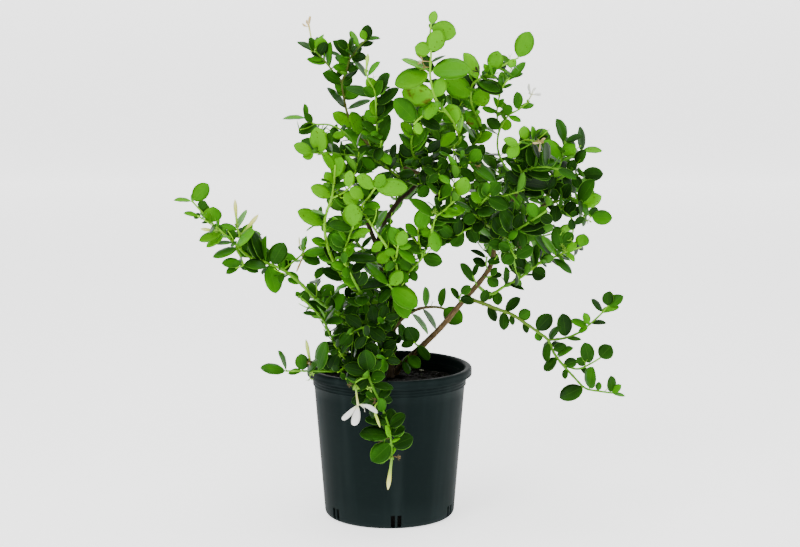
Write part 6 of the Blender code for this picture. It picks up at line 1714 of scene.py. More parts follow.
def makeBlooms(finish):
    # A piece for each bloom, its tube or bud with sepals and petals, and one for the small buds
    form = bloomForm
    for k, name in enumerate(blooms):
        line, radii, petals = bloomShape(name)
        radii = [radius * thicker.get(name, 1.0) for radius in radii]
        if name in petalTips:
            petals = shownPetals(line, petalTips[name])
        fade, green = fadeOf.get(name, 0.0), greener.get(name, 1.0)
        shapes = Shapes()
        fading = fade * np.linspace(0, 1, form["budRings"] + 2)[None, :, None] ** 2
        addBud(shapes, line, radii, fading, form["tubeWinding"] if petals else form["budWinding"], green)
        root = np.array(line[0], dtype=float)
        way = np.array((line[-1] - line[0]).normalized(), dtype=float)
        sepalLength = form["frontSepalLength"] if name == "flower_front" else form["sepalLength"]
        addCalyx(shapes, root, way, radii[0], sepalLength)
        if petals:
            addPetals(shapes, petals, 1.0, fade, form["openBend"], 31 + k)
        makePiece("bloom_" + name, shapes, finish, [name])
    more = Shapes()
    for route, thick, green, fade in moreBuds:
        line = [photoPoint(*point) for point in route]
        radii = [thick * share / 2000 for share in bloomRule["budFlare"]]
        addBud(more, line, radii, fade, form["moreWinding"], green)
    makePiece("small_buds", more, finish, [])


# Dried flower remains: pixels across and down, mm behind the pot's axis, reach in mm, brownness, where
# a negative brownness is a spiky green cluster
driedFlowers = (
    (477, 70, -8, 10, 0.95), (420, 61, 6, 11, 0.36), (425, 67, 6, 10, 0.52), (540, 141, -44, 6, 0.45),
    (311, 360, -96, 9, 0.75), (310, 364, -98, 7, 0.5), (503, 222, -60, 8, 0.85), (520, 245, -60, 8, 0.85),
    (365, 443, -126, 8, 0.75), (397, 457, -140, 7, 0.62), (351, 384, -128, 6, 0.7),
    (375, 400, -128, 7, 0.7), (437, 195, 6, 5, 0.8), (488, 173, -30, 7, 0.6), (570, 243, -50, 9, -1),
    (565, 250, -50, 8, -1), (588, 220, -40, 10, -1), (562, 246, -50, 7, -1), (313, 50, 60, 8, -1),
    (310, 378, -100, 9, -1), (312, 373, -100, 7, -1), (348, 352, -90, 6, -1), (364, 345, -90, 6, -1),
    (370, 388, -130, 9, -1), (376, 380, -130, 8, -1), (388, 292, -20, 9, -1), (395, 298, -20, 7, -1),
    (435, 212, 0, 9, -1), (357, 388, -140, 6, -1), (340, 355, -90, 6, -1),
)


# In size, wide and bend the first number is for dry flowers and the second for green clusters
dryForm = {
    "seed": 5, "depthWeight": 0.12, "nearer": 5, "stalk": (0.003, 0.012), "stalkStops": (0, 0.35, 0.7, 1),
    "stalkRadii": (0.0006, 0.0005, 0.0006, 0.0009), "spokes": 7, "turnDraw": 0.4, "opening": (0.7, 1.5),
    "sizeDraw": (0.7, 1.1), "size": (1.0, 0.75), "wide": (0.26, 0.30), "bend": (-0.4, 0.1),
}


def nearestShoot(pixel, depthMm):
    # The point of a shoot that shows nearest to the pixel, with shoots at other depths counted as further
    best, found = 1e9, None
    for _, _, line, lengths in shootRows:
        distance, away = nearestAlong(line, lengths, Vector(pixel))
        point, way = along(line, lengths, distance)
        away += abs(point.y * 1000 - depthMm) * dryForm["depthWeight"]
        if away < best:
            best, found = away, (point, way)
    return found


def makeDriedFlowers(finish):
    # Each stands on a short stalk from the nearest shoot towards its pixel, with petals spread about it
    form = dryForm
    draw = random.Random(form["seed"])
    shapes = Shapes()
    for k, (x, y, depth, reach, brown) in enumerate(driedFlowers):
        root, _ = nearestShoot((x, y), depth)
        target = photoPoint(x, y, root.y * 1000 - form["nearer"])
        way = target - root
        way = way.normalized() if way.length > 0.001 else Vector((0, -1, 0.2)).normalized()
        end = root + way * min(max((target - root).length, form["stalk"][0]), form["stalk"][1])
        across = way.cross(oddWay).normalized()
        line = np.array([root + (end - root) * share for share in form["stalkStops"]], dtype=float)
        which = 1 if brown < 0 else 0
        tone, brown = (0.0, 0.0) if which else (1.0, brown)
        rings, _ = tubeRings(line, np.array(form["stalkRadii"]), 6)
        shapes.add(rings[None], 0.5, 0.3, tone, brown, 0.0)
        petals = []
        for spoke in range(form["spokes"]):
            turned = math.tau * spoke / form["spokes"] + draw.uniform(-form["turnDraw"], form["turnDraw"])
            radial = Matrix.Rotation(turned, 3, way) @ across
            opened = draw.uniform(*form["opening"])
            petalWay = radial * math.sin(opened) + way * math.cos(opened)
            normal = (way - petalWay * way.dot(petalWay)).normalized()
            size = reach / 1000 * draw.uniform(*form["sizeDraw"]) * form["size"][which]
            petals.append((end, petalWay, normal, size, size * form["wide"][which]))
        addPetals(shapes, petals, tone, brown, form["bend"][which], 60 + k)
    makePiece("dried_flowers", shapes, finish, [])


# Pot and mix

potForm = {
    "columns": 156, "footRound": 0.0085, "rimRound": 0.0030, "rib": 0.00030, "ribGap": 0.0042,
    "innerRoom": 0.0006, "innerRound": 0.8, "innerDrop": 1.4, "lipRises": (0.0060, 0.0042, 0.0036, 0.0012),
    "lipGroove": 0.0004, "slitRoom": 0.014, "edgeWidth": 0.0004, "edgeAngle": math.radians(50),
}


def potProfile():
    # The wall's middle surface as (radius, height), from the middle of the floor out and up, with a round
    # foot, the small step under the band, fine ribs in the band, and the rim rolled outward and down
    form = potForm
    half = pot["wall"] / 2
    underRim = pot["height"] - pot["rimDepth"]
    foot = form["footRound"]
    base = pot["baseRadius"] - half
    profile = [(r, half) for r in np.linspace(0, base - foot, 9)[1:]]
    turn = np.linspace(0, math.pi / 2, 8)[1:]
    profile += [(base - foot + math.sin(a) * foot, half + foot - math.cos(a) * foot) for a in turn]
    stepDown = underRim - pot["band"] - pot["step"]
    wallTop = pot["neckRadius"] - pot["step"] * 4 / 3 - half
    heights = np.unique(np.concatenate([[pot["drainTop"]], np.linspace(foot + half, stepDown, 15)]))[1:]
    profile += [(np.interp(h, (foot + half, stepDown), (base, wallTop)), h) for h in heights]
    bandFoot = underRim - pot["band"]
    for h in np.linspace(bandFoot, underRim, 19):
        rib = form["rib"] * math.cos(math.tau * (h - bandFoot) / form["ribGap"])
        profile.append((pot["neckRadius"] - pot["step"] / 3 * (underRim - h) / pot["band"] - half + rib, h))
    top = pot["height"] - half
    bend = form["rimRound"]
    small = form["innerRound"]
    inner = pot["neckRadius"] - half + form["innerRoom"]
    outer = pot["rimRadius"] - half
    profile.append((inner, top - bend * form["innerDrop"]))
    for a in turn[:-1]:
        profile.append((inner + bend * small * (1 - math.cos(a)), top - bend * small * (1 - math.sin(a))))
    for a in np.linspace(0, math.pi / 2, 6):
        profile.append((outer - bend + bend * math.sin(a), top - bend * (1 - math.cos(a))))
    profile += [(outer, underRim + rise) for rise in form["lipRises"]]
    profile[-3] = (outer - form["lipGroove"], profile[-3][1])
    return np.array(profile)


def makePot(finish):
    # The profile turned about Z. Cells in the drain slits are left out, and a live modifier gives the
    # wall its thickness.
    form = potForm
    profile = potProfile()
    slits = []
    reach = math.asin(pot["drainHalf"] / pot["baseRadius"])
    for k in range(pot["drainPairs"]):
        facing = pot["drainFirst"] + math.tau * k / pot["drainPairs"] - math.pi / 2
        for side in (-1, 1):
            middle = (facing + side * pot["drainOffset"] / pot["baseRadius"]) % math.tau
            slits.append((middle - reach, middle + reach))
    edges = np.array(slits).ravel() % math.tau
    angles = np.linspace(0, math.tau, form["columns"], endpoint=False)
    away = np.abs((angles[:, None] - edges[None] + math.pi) % math.tau - math.pi).min(axis=1)
    angles = np.sort(np.concatenate([angles[away > form["slitRoom"]], edges]))
    count, rows = len(angles), len(profile)
    points = np.stack([profile[:, None, 0] * np.cos(angles), profile[:, None, 0] * np.sin(angles),
                       profile[:, None, 1] + 0 * angles], axis=-1).reshape(-1, 3)
    points = np.concatenate([points, [[0, 0, pot["wall"] / 2]]])
    i, k = np.meshgrid(np.arange(rows - 1), np.arange(count), indexing="ij")
    n = (k + 1) % count
    walls = np.stack([i * count + k, i * count + n, (i + 1) * count + n, (i + 1) * count + k], -1)
    middle = (angles + (np.roll(angles, -1) - angles) % math.tau / 2) % math.tau
    opened = np.zeros(count, dtype=bool)
    for low, high in slits:
        opened |= (middle - low) % math.tau < (high - low)
    height = (profile[:-1, 1] + profile[1:, 1]) / 2
    radius = (profile[:-1, 0] + profile[1:, 0]) / 2
    cut = (height < pot["drainTop"]) & (radius > pot["baseRadius"] - pot["wall"] - pot["drainIn"])
    walls = walls[~(cut[:, None] & opened[None])]
    fan = [(len(points) - 1, (k + 1) % count, k) for k in range(count)]
    mesh = bpy.data.meshes.new("nursery_pot")
    faces = [tuple(reversed(face)) for face in walls.reshape(-1, 4).tolist()] + fan
    mesh.from_pydata(points.tolist(), [], faces)
    mesh.shade_smooth()
    mesh.materials.append(finish)
    piece = bpy.data.objects.new("nursery_pot", mesh)
    bpy.context.scene.collection.objects.link(piece)
    wall = piece.modifiers.new("wall", "SOLIDIFY")
    wall.thickness = pot["wall"]
    wall.offset = 0
    wall.use_even_offset = True
    edge = piece.modifiers.new("softEdge", "BEVEL")
    edge.width = form["edgeWidth"]
    edge.segments = 2
    edge.limit_method = "ANGLE"
    edge.angle_limit = form["edgeAngle"]
    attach(piece, "root")
    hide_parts("pot")
    pieces.append(piece)


soilForm = {
    "rings": 46, "columns": 132, "grain": 0.0011, "lumps": 0.0022, "seed": 4, "chips": 620,
    "crowding": 0.9, "centre": 0.02, "edgeRoom": 0.0006, "edgeDrop": 0.003, "shoulder": 0.006,
    "footRadius": 0.088, "sideStops": (0.15, 0.35, 0.6, 0.85), "lumpSize": 0.016, "grainSize": 0.0045,
    "chip": (0.0022, 0.0085), "chipPower": 2.2, "chipSpread": 0.94, "chipLean": 0.25, "chipTilt": 0.3,
    "chipStops": (-1, -0.8, 0, 0.8, 1.0), "chipRough": 0.22, "chipWide": (0.3, 0.55),
    "chipFlat": (0.14, 0.3), "chipRise": 0.06, "chipLong": 0.9, "chipSeed": 17, "paleShare": 0.015,
}


def soilHeight(x, y):
    # The mix's top: a low dome with lumps and grain
    spot = np.stack([x, y, 0 * x], axis=-1)
    edge = soilEdge(soil["top"])
    share = np.clip(np.hypot(x, y) / edge, 0, 1)
    form = soilForm
    drop = form["edgeDrop"] * np.clip(share * 12 - 11, 0, 1)
    height = soil["top"] + soil["dome"] * (1 - share ** 2) - drop
    return (height + form["lumps"] * cellNoise(spot, form["lumpSize"], form["seed"])
            + form["grain"] * cellNoise(spot, form["grainSize"], form["seed"] + 1))


def soilEdge(height):
    # The mix's radius at a height: it follows the pot's wall
    underRim = pot["height"] - pot["rimDepth"]
    slope = (pot["neckRadius"] - pot["baseRadius"]) / (underRim - pot["floor"])
    return pot["baseRadius"] - pot["wall"] - soil["wallGap"] + slope * (height - soil["bottom"])


def makeSoil(finish):
    # The mix: rings of its top, crowded towards the edge, and rings down its side to the pot's floor
    form = soilForm
    angles = np.arange(form["columns"]) * math.tau / form["columns"]
    edge = soilEdge(soil["top"]) - form["edgeRoom"]
    radii = edge * np.linspace(1, form["centre"], form["rings"]) ** form["crowding"]
    x, y = radii[:, None] * np.cos(angles), radii[:, None] * np.sin(angles)
    top = np.stack([x, y, soilHeight(x, y)], axis=-1)
    side = []
    for share in (0.0, *form["sideStops"]):
        height = soil["bottom"] + (soil["top"] - form["shoulder"] - soil["bottom"]) * share
        reach = soilEdge(height) - form["edgeRoom"]
        if share == 0:
            reach = min(reach, form["footRadius"])
        side.append(np.stack([reach * np.cos(angles), reach * np.sin(angles), height + 0 * angles], -1))
    shapes = Shapes()
    shapes.add(np.concatenate([side, top])[None], 0.5, 0.5, 0.0, 0.0, 0.0)
    makePiece("potting_mix", shapes, finish, ["soil"])
    return edge


def makeChips(finish, edge):
    # Bark chips: rough six-sided lozenges that lie on the mix at chance places and headings
    form = soilForm
    draw = np.random.default_rng(form["chipSeed"])
    many = form["chips"]
    far = edge * np.sqrt(draw.uniform(0.0, form["chipSpread"], many))
    angle = draw.uniform(0, math.tau, many)
    x, y = far * np.cos(angle), far * np.sin(angle)
    least, most = form["chip"]
    size = least + (most - least) * draw.random(many) ** form["chipPower"]
    heading = draw.uniform(0, math.tau, many)
    lean, tilt = form["chipLean"], form["chipTilt"]
    way = unit(np.stack([np.cos(heading), np.sin(heading), draw.uniform(-lean, lean, many)], -1))
    up = np.stack([draw.uniform(-tilt, tilt, many), draw.uniform(-tilt, tilt, many), np.ones(many)], -1)
    side = unit(np.cross(way, unit(up)))
    up = np.cross(side, way)
    t = np.array(form["chipStops"])[None, :, None]
    around = (np.arange(6) * math.tau / 6)[None, None, :]
    rough = 1 + draw.uniform(-form["chipRough"], form["chipRough"], (many, len(form["chipStops"]), 6))
    bulk = np.sqrt(np.clip(1.04 - t ** 2, 0.1, 1)) * rough
    wide = (size * draw.uniform(*form["chipWide"], many))[:, None, None] * bulk
    flat = (size * draw.uniform(*form["chipFlat"], many))[:, None, None] * bulk
    middle = np.stack([x, y, soilHeight(x, y) + size * form["chipRise"]], -1)[:, None, None]
    rings = (middle + way[:, None, None] * (size[:, None, None] * t * form["chipLong"])[..., None]
             + side[:, None, None] * (wide * np.cos(around))[..., None]
             + up[:, None, None] * (flat * np.sin(around))[..., None])
    chips = Shapes()
    pale = (draw.random(many) < form["paleShare"]).astype(float)[:, None, None]
    chips.add(rings, around / math.tau, t * 0.5 + 0.5, pale, draw.random(many)[:, None, None], 0.0)
    makePiece("mix_chips", chips, finish, [])


# Finishes


class Value:
    # A number's socket in a material: adding, taking away and multiplying put in Math nodes

    def __init__(self, finish, socket):
        self.finish = finish
        self.socket = socket

    def maths(self, operation, *values):
        # The Math node of this operation on these values
        sockets = {i: value for i, value in enumerate(values)}
        node = self.finish.node("ShaderNodeMath", {"operation": operation}, sockets)
        return Value(self.finish, node.outputs[0])

    def __add__(self, other):
        return self.maths("ADD", self, other)

    __radd__ = __add__

    def __sub__(self, other):
        return self.maths("SUBTRACT", self, other)

    def __rsub__(self, other):
        return self.maths("SUBTRACT", other, self)

    def __mul__(self, other):
        return self.maths("MULTIPLY", self, other)

    __rmul__ = __mul__

    def least(self, other):
        return self.maths("MINIMUM", self, other)

    def most(self, other):
        return self.maths("MAXIMUM", self, other)

    def apart(self):
        return self.maths("ABSOLUTE", self)

    def part(self):
        return self.maths("FRACT", self)

    def between(self, low, high):
        # 0 below low, 1 above high and smooth between them
        settings = {"interpolation_type": "SMOOTHSTEP"}
        sockets = {"Value": self, "From Min": low, "From Max": high, "To Min": 0.0, "To Max": 1.0}
        return Value(self.finish, self.finish.node("ShaderNodeMapRange", settings, sockets).outputs[0])


class Finish:
    # A material's nodes, made one at a time by the node method

    def __init__(self, name):
        self.material = bpy.data.materials.new(name)
        self.material.use_nodes = True
        self.tree = self.material.node_tree
        self.tree.nodes.clear()

    def node(self, kind, settings, sockets):
        # A node of this type: its settings first, then a value or a link for each socket
        made = self.tree.nodes.new(kind)
        for key, value in settings.items():
            if key == "stops":
                stops = made.color_ramp.elements
                for i, (place, colour) in enumerate(value):
                    stop = stops[i] if i < len(stops) else stops.new(place)
                    stop.position = place
                    stop.color = (*colour, 1)
            else:
                setattr(made, key, value)
        for key, value in sockets.items():
            socket = made.inputs[key]
            if isinstance(value, Value):
                self.tree.links.new(value.socket, socket)
            elif isinstance(value, bpy.types.NodeSocket):
                self.tree.links.new(value, socket)
            elif isinstance(value, tuple) and len(value) == 3 and socket.type == "RGBA":
                socket.default_value = (*value, 1)
            else:
                socket.default_value = value
        return made

    def attribute(self, name):
        # One of the values that a piece has at each point
        node = self.node("ShaderNodeAttribute", {"attribute_name": name}, {})
        return Value(self, node.outputs["Fac"])

    def surface(self):
        # The piece's own map, as two numbers
        spot = self.node("ShaderNodeUVMap", {"uv_map": "surface"}, {}).outputs[0]
        parts = self.node("ShaderNodeSeparateXYZ", {}, {0: spot})
        return Value(self, parts.outputs[0]), Value(self, parts.outputs[1]), spot

    def place(self):
        # Object coordinates, in metres
        return self.node("ShaderNodeTexCoord", {}, {}).outputs["Object"]

    def stretched(self, vector, scale):
        # A pattern's coordinates, each times its own scale
        return self.node("ShaderNodeMapping", {}, {"Vector": vector, "Scale": scale}).outputs[0]

    def noise(self, vector, scale, detail=2.0, rough=0.5):
        # Cloudy noise, 0 to 1
        sockets = {"Vector": vector, "Scale": scale, "Detail": detail, "Roughness": rough}
        return Value(self, self.node("ShaderNodeTexNoise", {}, sockets).outputs["Fac"])

    def cells(self, vector, scale):
        # How far each place is from the nearest of many scattered points
        node = self.node("ShaderNodeTexVoronoi", {}, {"Vector": vector, "Scale": scale})
        return Value(self, node.outputs["Distance"])

    def ramp(self, factor, *stops):
        # The colour at this factor between stops: (place, colour)
        return self.node("ShaderNodeValToRGB", {"stops": stops}, {0: factor}).outputs[0]

    def mix(self, factor, first, second):
        # A colour between two others
        sockets = {0: factor, 6: first, 7: second}
        return self.node("ShaderNodeMix", {"data_type": "RGBA"}, sockets).outputs[2]

    def shade(self, colour, amount):
        # A colour made lighter or darker by a number
        sockets = {0: colour, 3: amount}
        return self.node("ShaderNodeVectorMath", {"operation": "SCALE"}, sockets).outputs[0]

    def bump(self, height, strength, distance):
        # Shading as if the surface rose by the height times the distance
        sockets = {"Height": height, "Strength": strength, "Distance": distance}
        return self.node("ShaderNodeBump", {}, sockets).outputs[0]

    def close(self, sockets):
        # The surface shader with these sockets, and the finished material
        shader = self.node("ShaderNodeBsdfPrincipled", {}, sockets)
        self.node("ShaderNodeOutputMaterial", {}, {"Surface": shader.outputs[0]})
        return self.material


# deepest and deep are the darkest leaves' greens; on leaves with low tones they partly stand for painted
# shade inside the bush
leafColours = {
    "deepest": (0.006, 0.030, 0.002), "deep": (0.016, 0.084, 0.003), "mid": (0.050, 0.250, 0.003),
    "lime": (0.150, 0.500, 0.001),
    "deepUnder": (0.060, 0.210, 0.016), "limeUnder": (0.160, 0.460, 0.006), "rib": (0.200, 0.480, 0.050),
    "margin": (0.170, 0.440, 0.040), "speck": (0.050, 0.022, 0.006), "patch": (0.100, 0.045, 0.010),
}


def leafFinish():
    # Leaf skin: deep to lime by tone, one half of each blade painted lighter than the other as light and
    # shade of its fold, a pale rib and faint side veins, a thin pale margin, brown specks on the light leaves
    # and a few brown patches, with a matt, lighter underside
    f = Finish("leafSkin")
    tone, chance, under = (f.attribute(key) for key in ("tone", "chance", "under"))
    across, alongIt, _ = f.surface()
    place = f.place()
    side = (across * 2 - 1).apart()
    cloud = f.noise(place, 45.0, 3.0)
    fine = f.noise(place, 420.0, 2.0)
    # painted light and shade: one half of each blade is lighter and the other darker, by a chance amount per
    # leaf, as the fold's two faces would be lit
    level = tone + (cloud - 0.5) * 0.26 + (across - 0.5) * (chance - 0.47) * 0.55
    keys = ((0.02, "deepest"), (0.22, "deep"), (0.50, "mid"), (0.98, "lime"))
    upper = f.ramp(level, *((stop, leafColours[key]) for stop, key in keys))
    lower = f.mix(level, leafColours["deepUnder"], leafColours["limeUnder"])
    below = under.between(0.55, 0.95)
    colour = f.mix(below, upper, lower)
    blade = alongIt.between(0.05, 0.10)
    rib = (1 - side.between(0.02, 0.06)) * blade
    veins = ((alongIt - side * 0.22) * 11 + chance * 5).part() * 2 - 1
    veins = (1 - veins.apart().between(0.0, 0.13)) * side.between(0.06, 0.2) * (1 - side.between(0.75, 0.95))
    margin = side.between(0.89, 0.97) * blade
    colour = f.mix(veins * 0.07, colour, leafColours["rib"])
    colour = f.mix(rib * 0.07, colour, leafColours["rib"])
    colour = f.mix(margin * 0.72, colour, leafColours["margin"])
    specks = 1 - f.cells(place, 190.0).between(0.14, 0.25)
    specks = specks * tone.between(0.45, 0.65) * f.noise(place, 60.0, 1.0).between(0.48, 0.60)
    colour = f.mix(specks * 0.8, colour, leafColours["speck"])
    patch = f.noise(place, 80.0, 2.0).between(0.55, 0.66) * chance.between(0.96, 0.97)
    colour = f.mix(patch * 0.8, colour, leafColours["patch"])
    colour = f.mix(1 - blade, colour, leafColours["rib"])
    colour = f.shade(colour, 0.82 + chance * 0.3 + (fine - 0.5) * 0.12)
    rough = 0.36 + below * 0.28 + (cloud - 0.5) * 0.12 + patch * 0.3
    height = rib * -0.5 + veins * -0.25 + cloud * 0.6 + fine * 0.06
    return f.close({
        "Base Color": colour, "Roughness": rough, "Normal": f.bump(height, 0.35, 0.0006),
        "Specular IOR Level": 0.05,
    })


def stemFinish():
    # Shoot skin: lime green to woody brown by tone, with fine lengthwise streaks and pale dots
    f = Finish("shootSkin")
    tone = f.attribute("tone")
    _, _, spot = f.surface()
    place = f.place()
    streaks = f.noise(f.stretched(spot, (14.0, 2.0, 1.0)), 3.0, 3.0)
    cloud = f.noise(place, 120.0, 2.0)
    colour = f.ramp(tone + (cloud - 0.5) * 0.3, (0.0, (0.260, 0.620, 0.015)),
                    (0.35, (0.085, 0.270, 0.008)), (0.8, (0.100, 0.065, 0.022)))
    dots = (1 - f.cells(place, 520.0).between(0.12, 0.22)) * 0.35
    colour = f.mix(dots, colour, (0.32, 0.30, 0.16))
    colour = f.shade(colour, 0.8 + streaks * 0.4)
    return f.close({
        "Base Color": colour, "Roughness": 0.42 + streaks * 0.2, "Specular IOR Level": 0.15,
        "Normal": f.bump(streaks + dots, 0.4, 0.0005),
    })


def barkFinish():
    # Bark: dark or mid brown by tone, with grey scars, lengthwise streaks and cracks
    f = Finish("bark")
    tone, ridge = f.attribute("tone"), f.attribute("chance")
    _, _, spot = f.surface()
    place = f.place()
    streaks = f.noise(f.stretched(spot, (9.0, 1.6, 1.0)), 3.5, 5.0, 0.65)
    cloud = f.noise(place, 90.0, 4.0)
    cracks = (f.noise(f.stretched(spot, (22.0, 2.4, 1.0)), 3.0, 2.0) - 0.5).apart()
    cracks = 1 - cracks.between(0.0, 0.07)
    dark = f.mix(streaks, (0.018, 0.013, 0.008), (0.075, 0.052, 0.030))
    light = f.mix(streaks.between(0.30, 0.68), (0.080, 0.048, 0.018), (0.300, 0.196, 0.082))
    colour = f.mix(tone, dark, light)
    colour = f.mix(cloud.between(0.58, 0.75) * 0.30, colour, (0.22, 0.17, 0.10))
    colour = f.mix(cracks * 0.5, colour, (0.012, 0.009, 0.006))
    # lighter on the bark's raised ridges and darker between them, by the ridge value
    colour = f.shade(colour, 0.75 + ridge * 0.5)
    return f.close({
        "Base Color": colour, "Roughness": 0.68 + streaks * 0.2, "Specular IOR Level": 0.15,
        "Normal": f.bump(streaks + cloud * 0.5 - cracks * 0.6, 0.75, 0.0012),
    })


def petalFinish():
    # Petals and buds: green at the foot, pale yellow-green, then white, going brown by fade. A tone of 0
    # is a green sepal.
    f = Finish("petalSkin")
    tone, fade, under = (f.attribute(key) for key in ("tone", "chance", "under"))
    _, alongIt, spot = f.surface()
    place = f.place()
    cloud = f.noise(place, 160.0, 3.0)
    white = f.ramp(alongIt, (0.0, (0.550, 0.700, 0.140)), (0.16, (0.860, 0.880, 0.500)),
                   (0.34, (0.940, 0.940, 0.860)))
    yellow = f.ramp(alongIt, (0.0, (0.110, 0.300, 0.008)), (0.35, (0.260, 0.500, 0.015)),
                    (0.62, (0.620, 0.680, 0.090)), (0.95, (0.820, 0.810, 0.300)))
    colour = f.mix(under.least(1.0), white, yellow)
    colour = f.mix((under - 1).most(0.0), colour, (0.330, 0.640, 0.020))
    dry = f.ramp(fade + (cloud - 0.5) * 0.4, (0.35, (0.560, 0.380, 0.110)),
                 (0.65, (0.110, 0.062, 0.018)), (0.95, (0.030, 0.013, 0.006)))
    brown = fade.between(0.1, 0.4)
    colour = f.mix(brown, colour, dry)
    colour = f.mix(tone, (0.200, 0.430, 0.020), colour)
    creases = f.noise(f.stretched(spot, (12.0, 1.5, 1.0)), 2.0, 2.0)
    colour = f.shade(colour, 0.9 + creases * 0.16)
    return f.close({
        "Base Color": colour, "Roughness": 0.52 + brown * 0.2, "Subsurface Weight": 0.15,
        "Subsurface Radius": (0.004, 0.004, 0.002), "Subsurface Scale": 1.0,
        "Normal": f.bump(creases + cloud * 0.4, 0.35, 0.0005),
    })


def plasticFinish():
    # Moulded black polypropylene: a soft sheen, faint upright lighter bands of painted sheen, scuffs and dust
    # near the foot
    f = Finish("blackPlastic")
    place = f.place()
    parts = f.node("ShaderNodeSeparateXYZ", {}, {0: place})
    height = Value(f, parts.outputs[2])
    cloud = f.noise(place, 14.0, 4.0)
    grain = f.noise(place, 900.0, 2.0)
    scuffs = f.noise(f.stretched(place, (6.0, 6.0, 260.0)), 3.0, 4.0, 0.7).between(0.62, 0.75)
    # painted sheen: faint upright lighter bands stand in for the wall's broad highlight
    sheenBands = f.noise(f.stretched(place, (18.0, 18.0, 0.9)), 1.0, 3.0, 0.6).between(0.44, 0.66)
    # dust near the foot, scuffs and the painted sheen bands, which also make the wall rougher
    dustScuffsAndSheen = (1 - height.between(0.0, 0.05)) * cloud * 0.5 + scuffs * 0.35 + sheenBands * 0.30
    colour = f.mix(dustScuffsAndSheen, (0.0060, 0.0108, 0.0106), (0.022, 0.031, 0.031))
    rough = 0.42 + (cloud - 0.5) * 0.12 + dustScuffsAndSheen * 0.3
    bumps = grain * 0.05 + cloud * 0.5 + scuffs * 0.05
    return f.close({
        "Base Color": colour, "Roughness": rough, "Normal": f.bump(bumps, 0.12, 0.0010),
        "Specular IOR Level": 0.015,
    })


def soilFinish():
    # Dark moist mix: grains and crumbs, with paler patches
    f = Finish("pottingMix")
    place = f.place()
    grain = f.noise(place, 260.0, 5.0, 0.7)
    cloud = f.noise(place, 50.0, 3.0)
    crumbs = f.cells(place, 330.0)
    colour = f.mix(grain, (0.0008, 0.0008, 0.0006), (0.0060, 0.0056, 0.0042))
    colour = f.mix(cloud.between(0.55, 0.8) * 0.4, colour, (0.0080, 0.0066, 0.0044))
    return f.close({
        "Base Color": colour, "Roughness": 0.85 + grain * 0.1, "Specular IOR Level": 0.08,
        "Normal": f.bump(grain - crumbs, 0.9, 0.0020),
    })


def chipFinish():
    # Bark chips and a few pale stones
    f = Finish("mixChips")
    pale, chance = f.attribute("tone"), f.attribute("chance")
    place = f.place()
    grain = f.noise(f.stretched(place, (1.0, 1.0, 3.0)), 300.0, 4.0, 0.65)
    wood = f.mix(chance, (0.0016, 0.0013, 0.0009), (0.0110, 0.0084, 0.0056))
    colour = f.mix(pale, wood, (0.420, 0.390, 0.340))
    colour = f.shade(colour, 0.6 + grain * 0.8)
    return f.close({
        "Base Color": colour, "Roughness": 0.85, "Specular IOR Level": 0.1,
        "Normal": f.bump(grain, 0.7, 0.0010),
    })


def floorFinish():
    # The studio's pale floor, with a glow of its own
    f = Finish("studioFloor")
    cloud = f.noise(f.place(), 3.0, 2.0)
    return f.close({"Base Color": f.mix(cloud, (0.86, 0.86, 0.86), (0.90, 0.90, 0.90)), "Roughness": 0.8,
                    "Emission Color": (1.0, 1.0, 1.0), "Emission Strength": studio["glow"]})


makePot(plasticFinish())
soilMaterial, chipMaterial = soilFinish(), chipFinish()
makeChips(chipMaterial, makeSoil(soilMaterial))
makeTrunks(barkFinish())
makeSprays(leafFinish(), stemFinish())
petals = petalFinish()
makeBlooms(petals)
makeDriedFlowers(petals)
print("pieces:", len(pieces), "faces:", sum(len(piece.data.polygons) for piece in pieces))


# Studio: a pale floor that curves up behind, soft lights and the photograph's camera

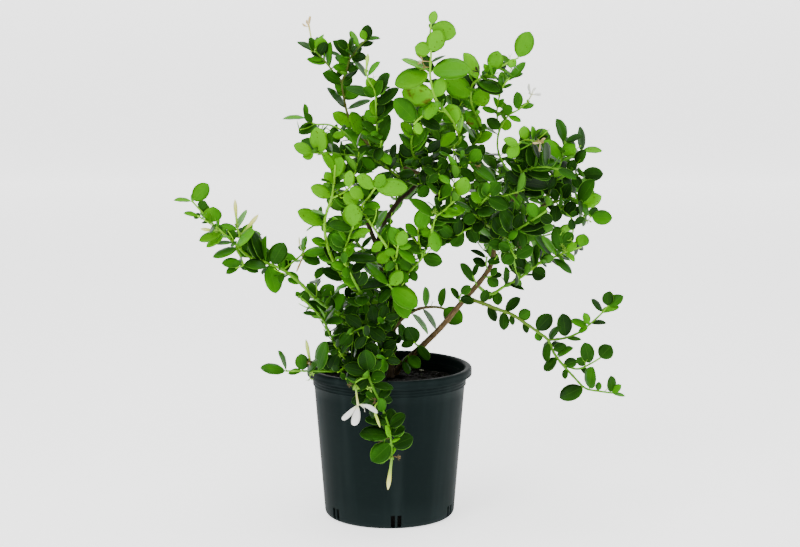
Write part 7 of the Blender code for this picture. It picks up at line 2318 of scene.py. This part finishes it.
studio = {
    "floorReach": 28.0, "front": -28.0, "back": 4.6, "bend": 0.8, "backHeight": 4.0,
    "key": ((-1.2, -2.2, 2.7), (1.3, 1.3), 66.0), "fillLight": ((2.0, -2.0, 1.5), (1.4, 1.4), 20.0),
    "top": ((0.1, 0.1, 2.8), (1.6, 1.6), 52.0), "world": 0.42, "glow": 1.7,
}


def makeFloor(finish):
    # A sheet: flat, then a quarter circle, then upright behind
    turn = np.linspace(0, math.pi / 2, 13)
    back, bend, reach = studio["back"], studio["bend"], studio["floorReach"]
    y = np.concatenate([[studio["front"]], back + bend * np.sin(turn), [back + bend]])
    z = np.concatenate([[0.0], bend * (1 - np.cos(turn)), [studio["backHeight"]]])
    x = np.array([-reach, reach])
    points = np.stack(np.broadcast_arrays(x[None, :], y[:, None], z[:, None]), axis=-1).reshape(-1, 3)
    rows = np.arange(len(y) - 1) * 2
    faces = np.stack([rows, rows + 1, rows + 3, rows + 2], axis=-1)
    mesh = bpy.data.meshes.new("studio_floor")
    mesh.from_pydata(points.tolist(), [], faces.tolist())
    mesh.shade_smooth()
    mesh.materials.append(finish)
    made = bpy.data.objects.new("studio_floor", mesh)
    bpy.context.scene.collection.objects.link(made)


def makeLight(name, place, size, power, target=(0.0, 0.0, 0.4)):
    # A soft rectangular light that faces its target
    light = bpy.data.lights.new(name, "AREA")
    light.shape = "RECTANGLE"
    light.size, light.size_y = size
    light.energy = power
    made = bpy.data.objects.new(name, light)
    made.location = place
    made.rotation_euler = (Vector(target) - Vector(place)).to_track_quat("-Z", "Y").to_euler()
    bpy.context.scene.collection.objects.link(made)


makeFloor(floorFinish())
for lightName in ("key", "fillLight", "top"):
    makeLight(lightName, *studio[lightName])

world = bpy.data.worlds.new("studio")
world.use_nodes = True
world.node_tree.nodes["Background"].inputs["Color"].default_value = (1, 1, 1, 1)
world.node_tree.nodes["Background"].inputs["Strength"].default_value = studio["world"]
bpy.context.scene.world = world

camera = bpy.data.cameras.new("camera")
camera.sensor_width = 36.0
camera.lens = photo["focal"] / photo["width"] * 36.0
cameraObject = bpy.data.objects.new("camera", camera)
cameraObject.location = photo["place"]
cameraObject.rotation_euler = (math.pi / 2 - photo["tilt"], 0, 0)
bpy.context.scene.collection.objects.link(cameraObject)
bpy.context.scene.camera = cameraObject
print("studio ready")
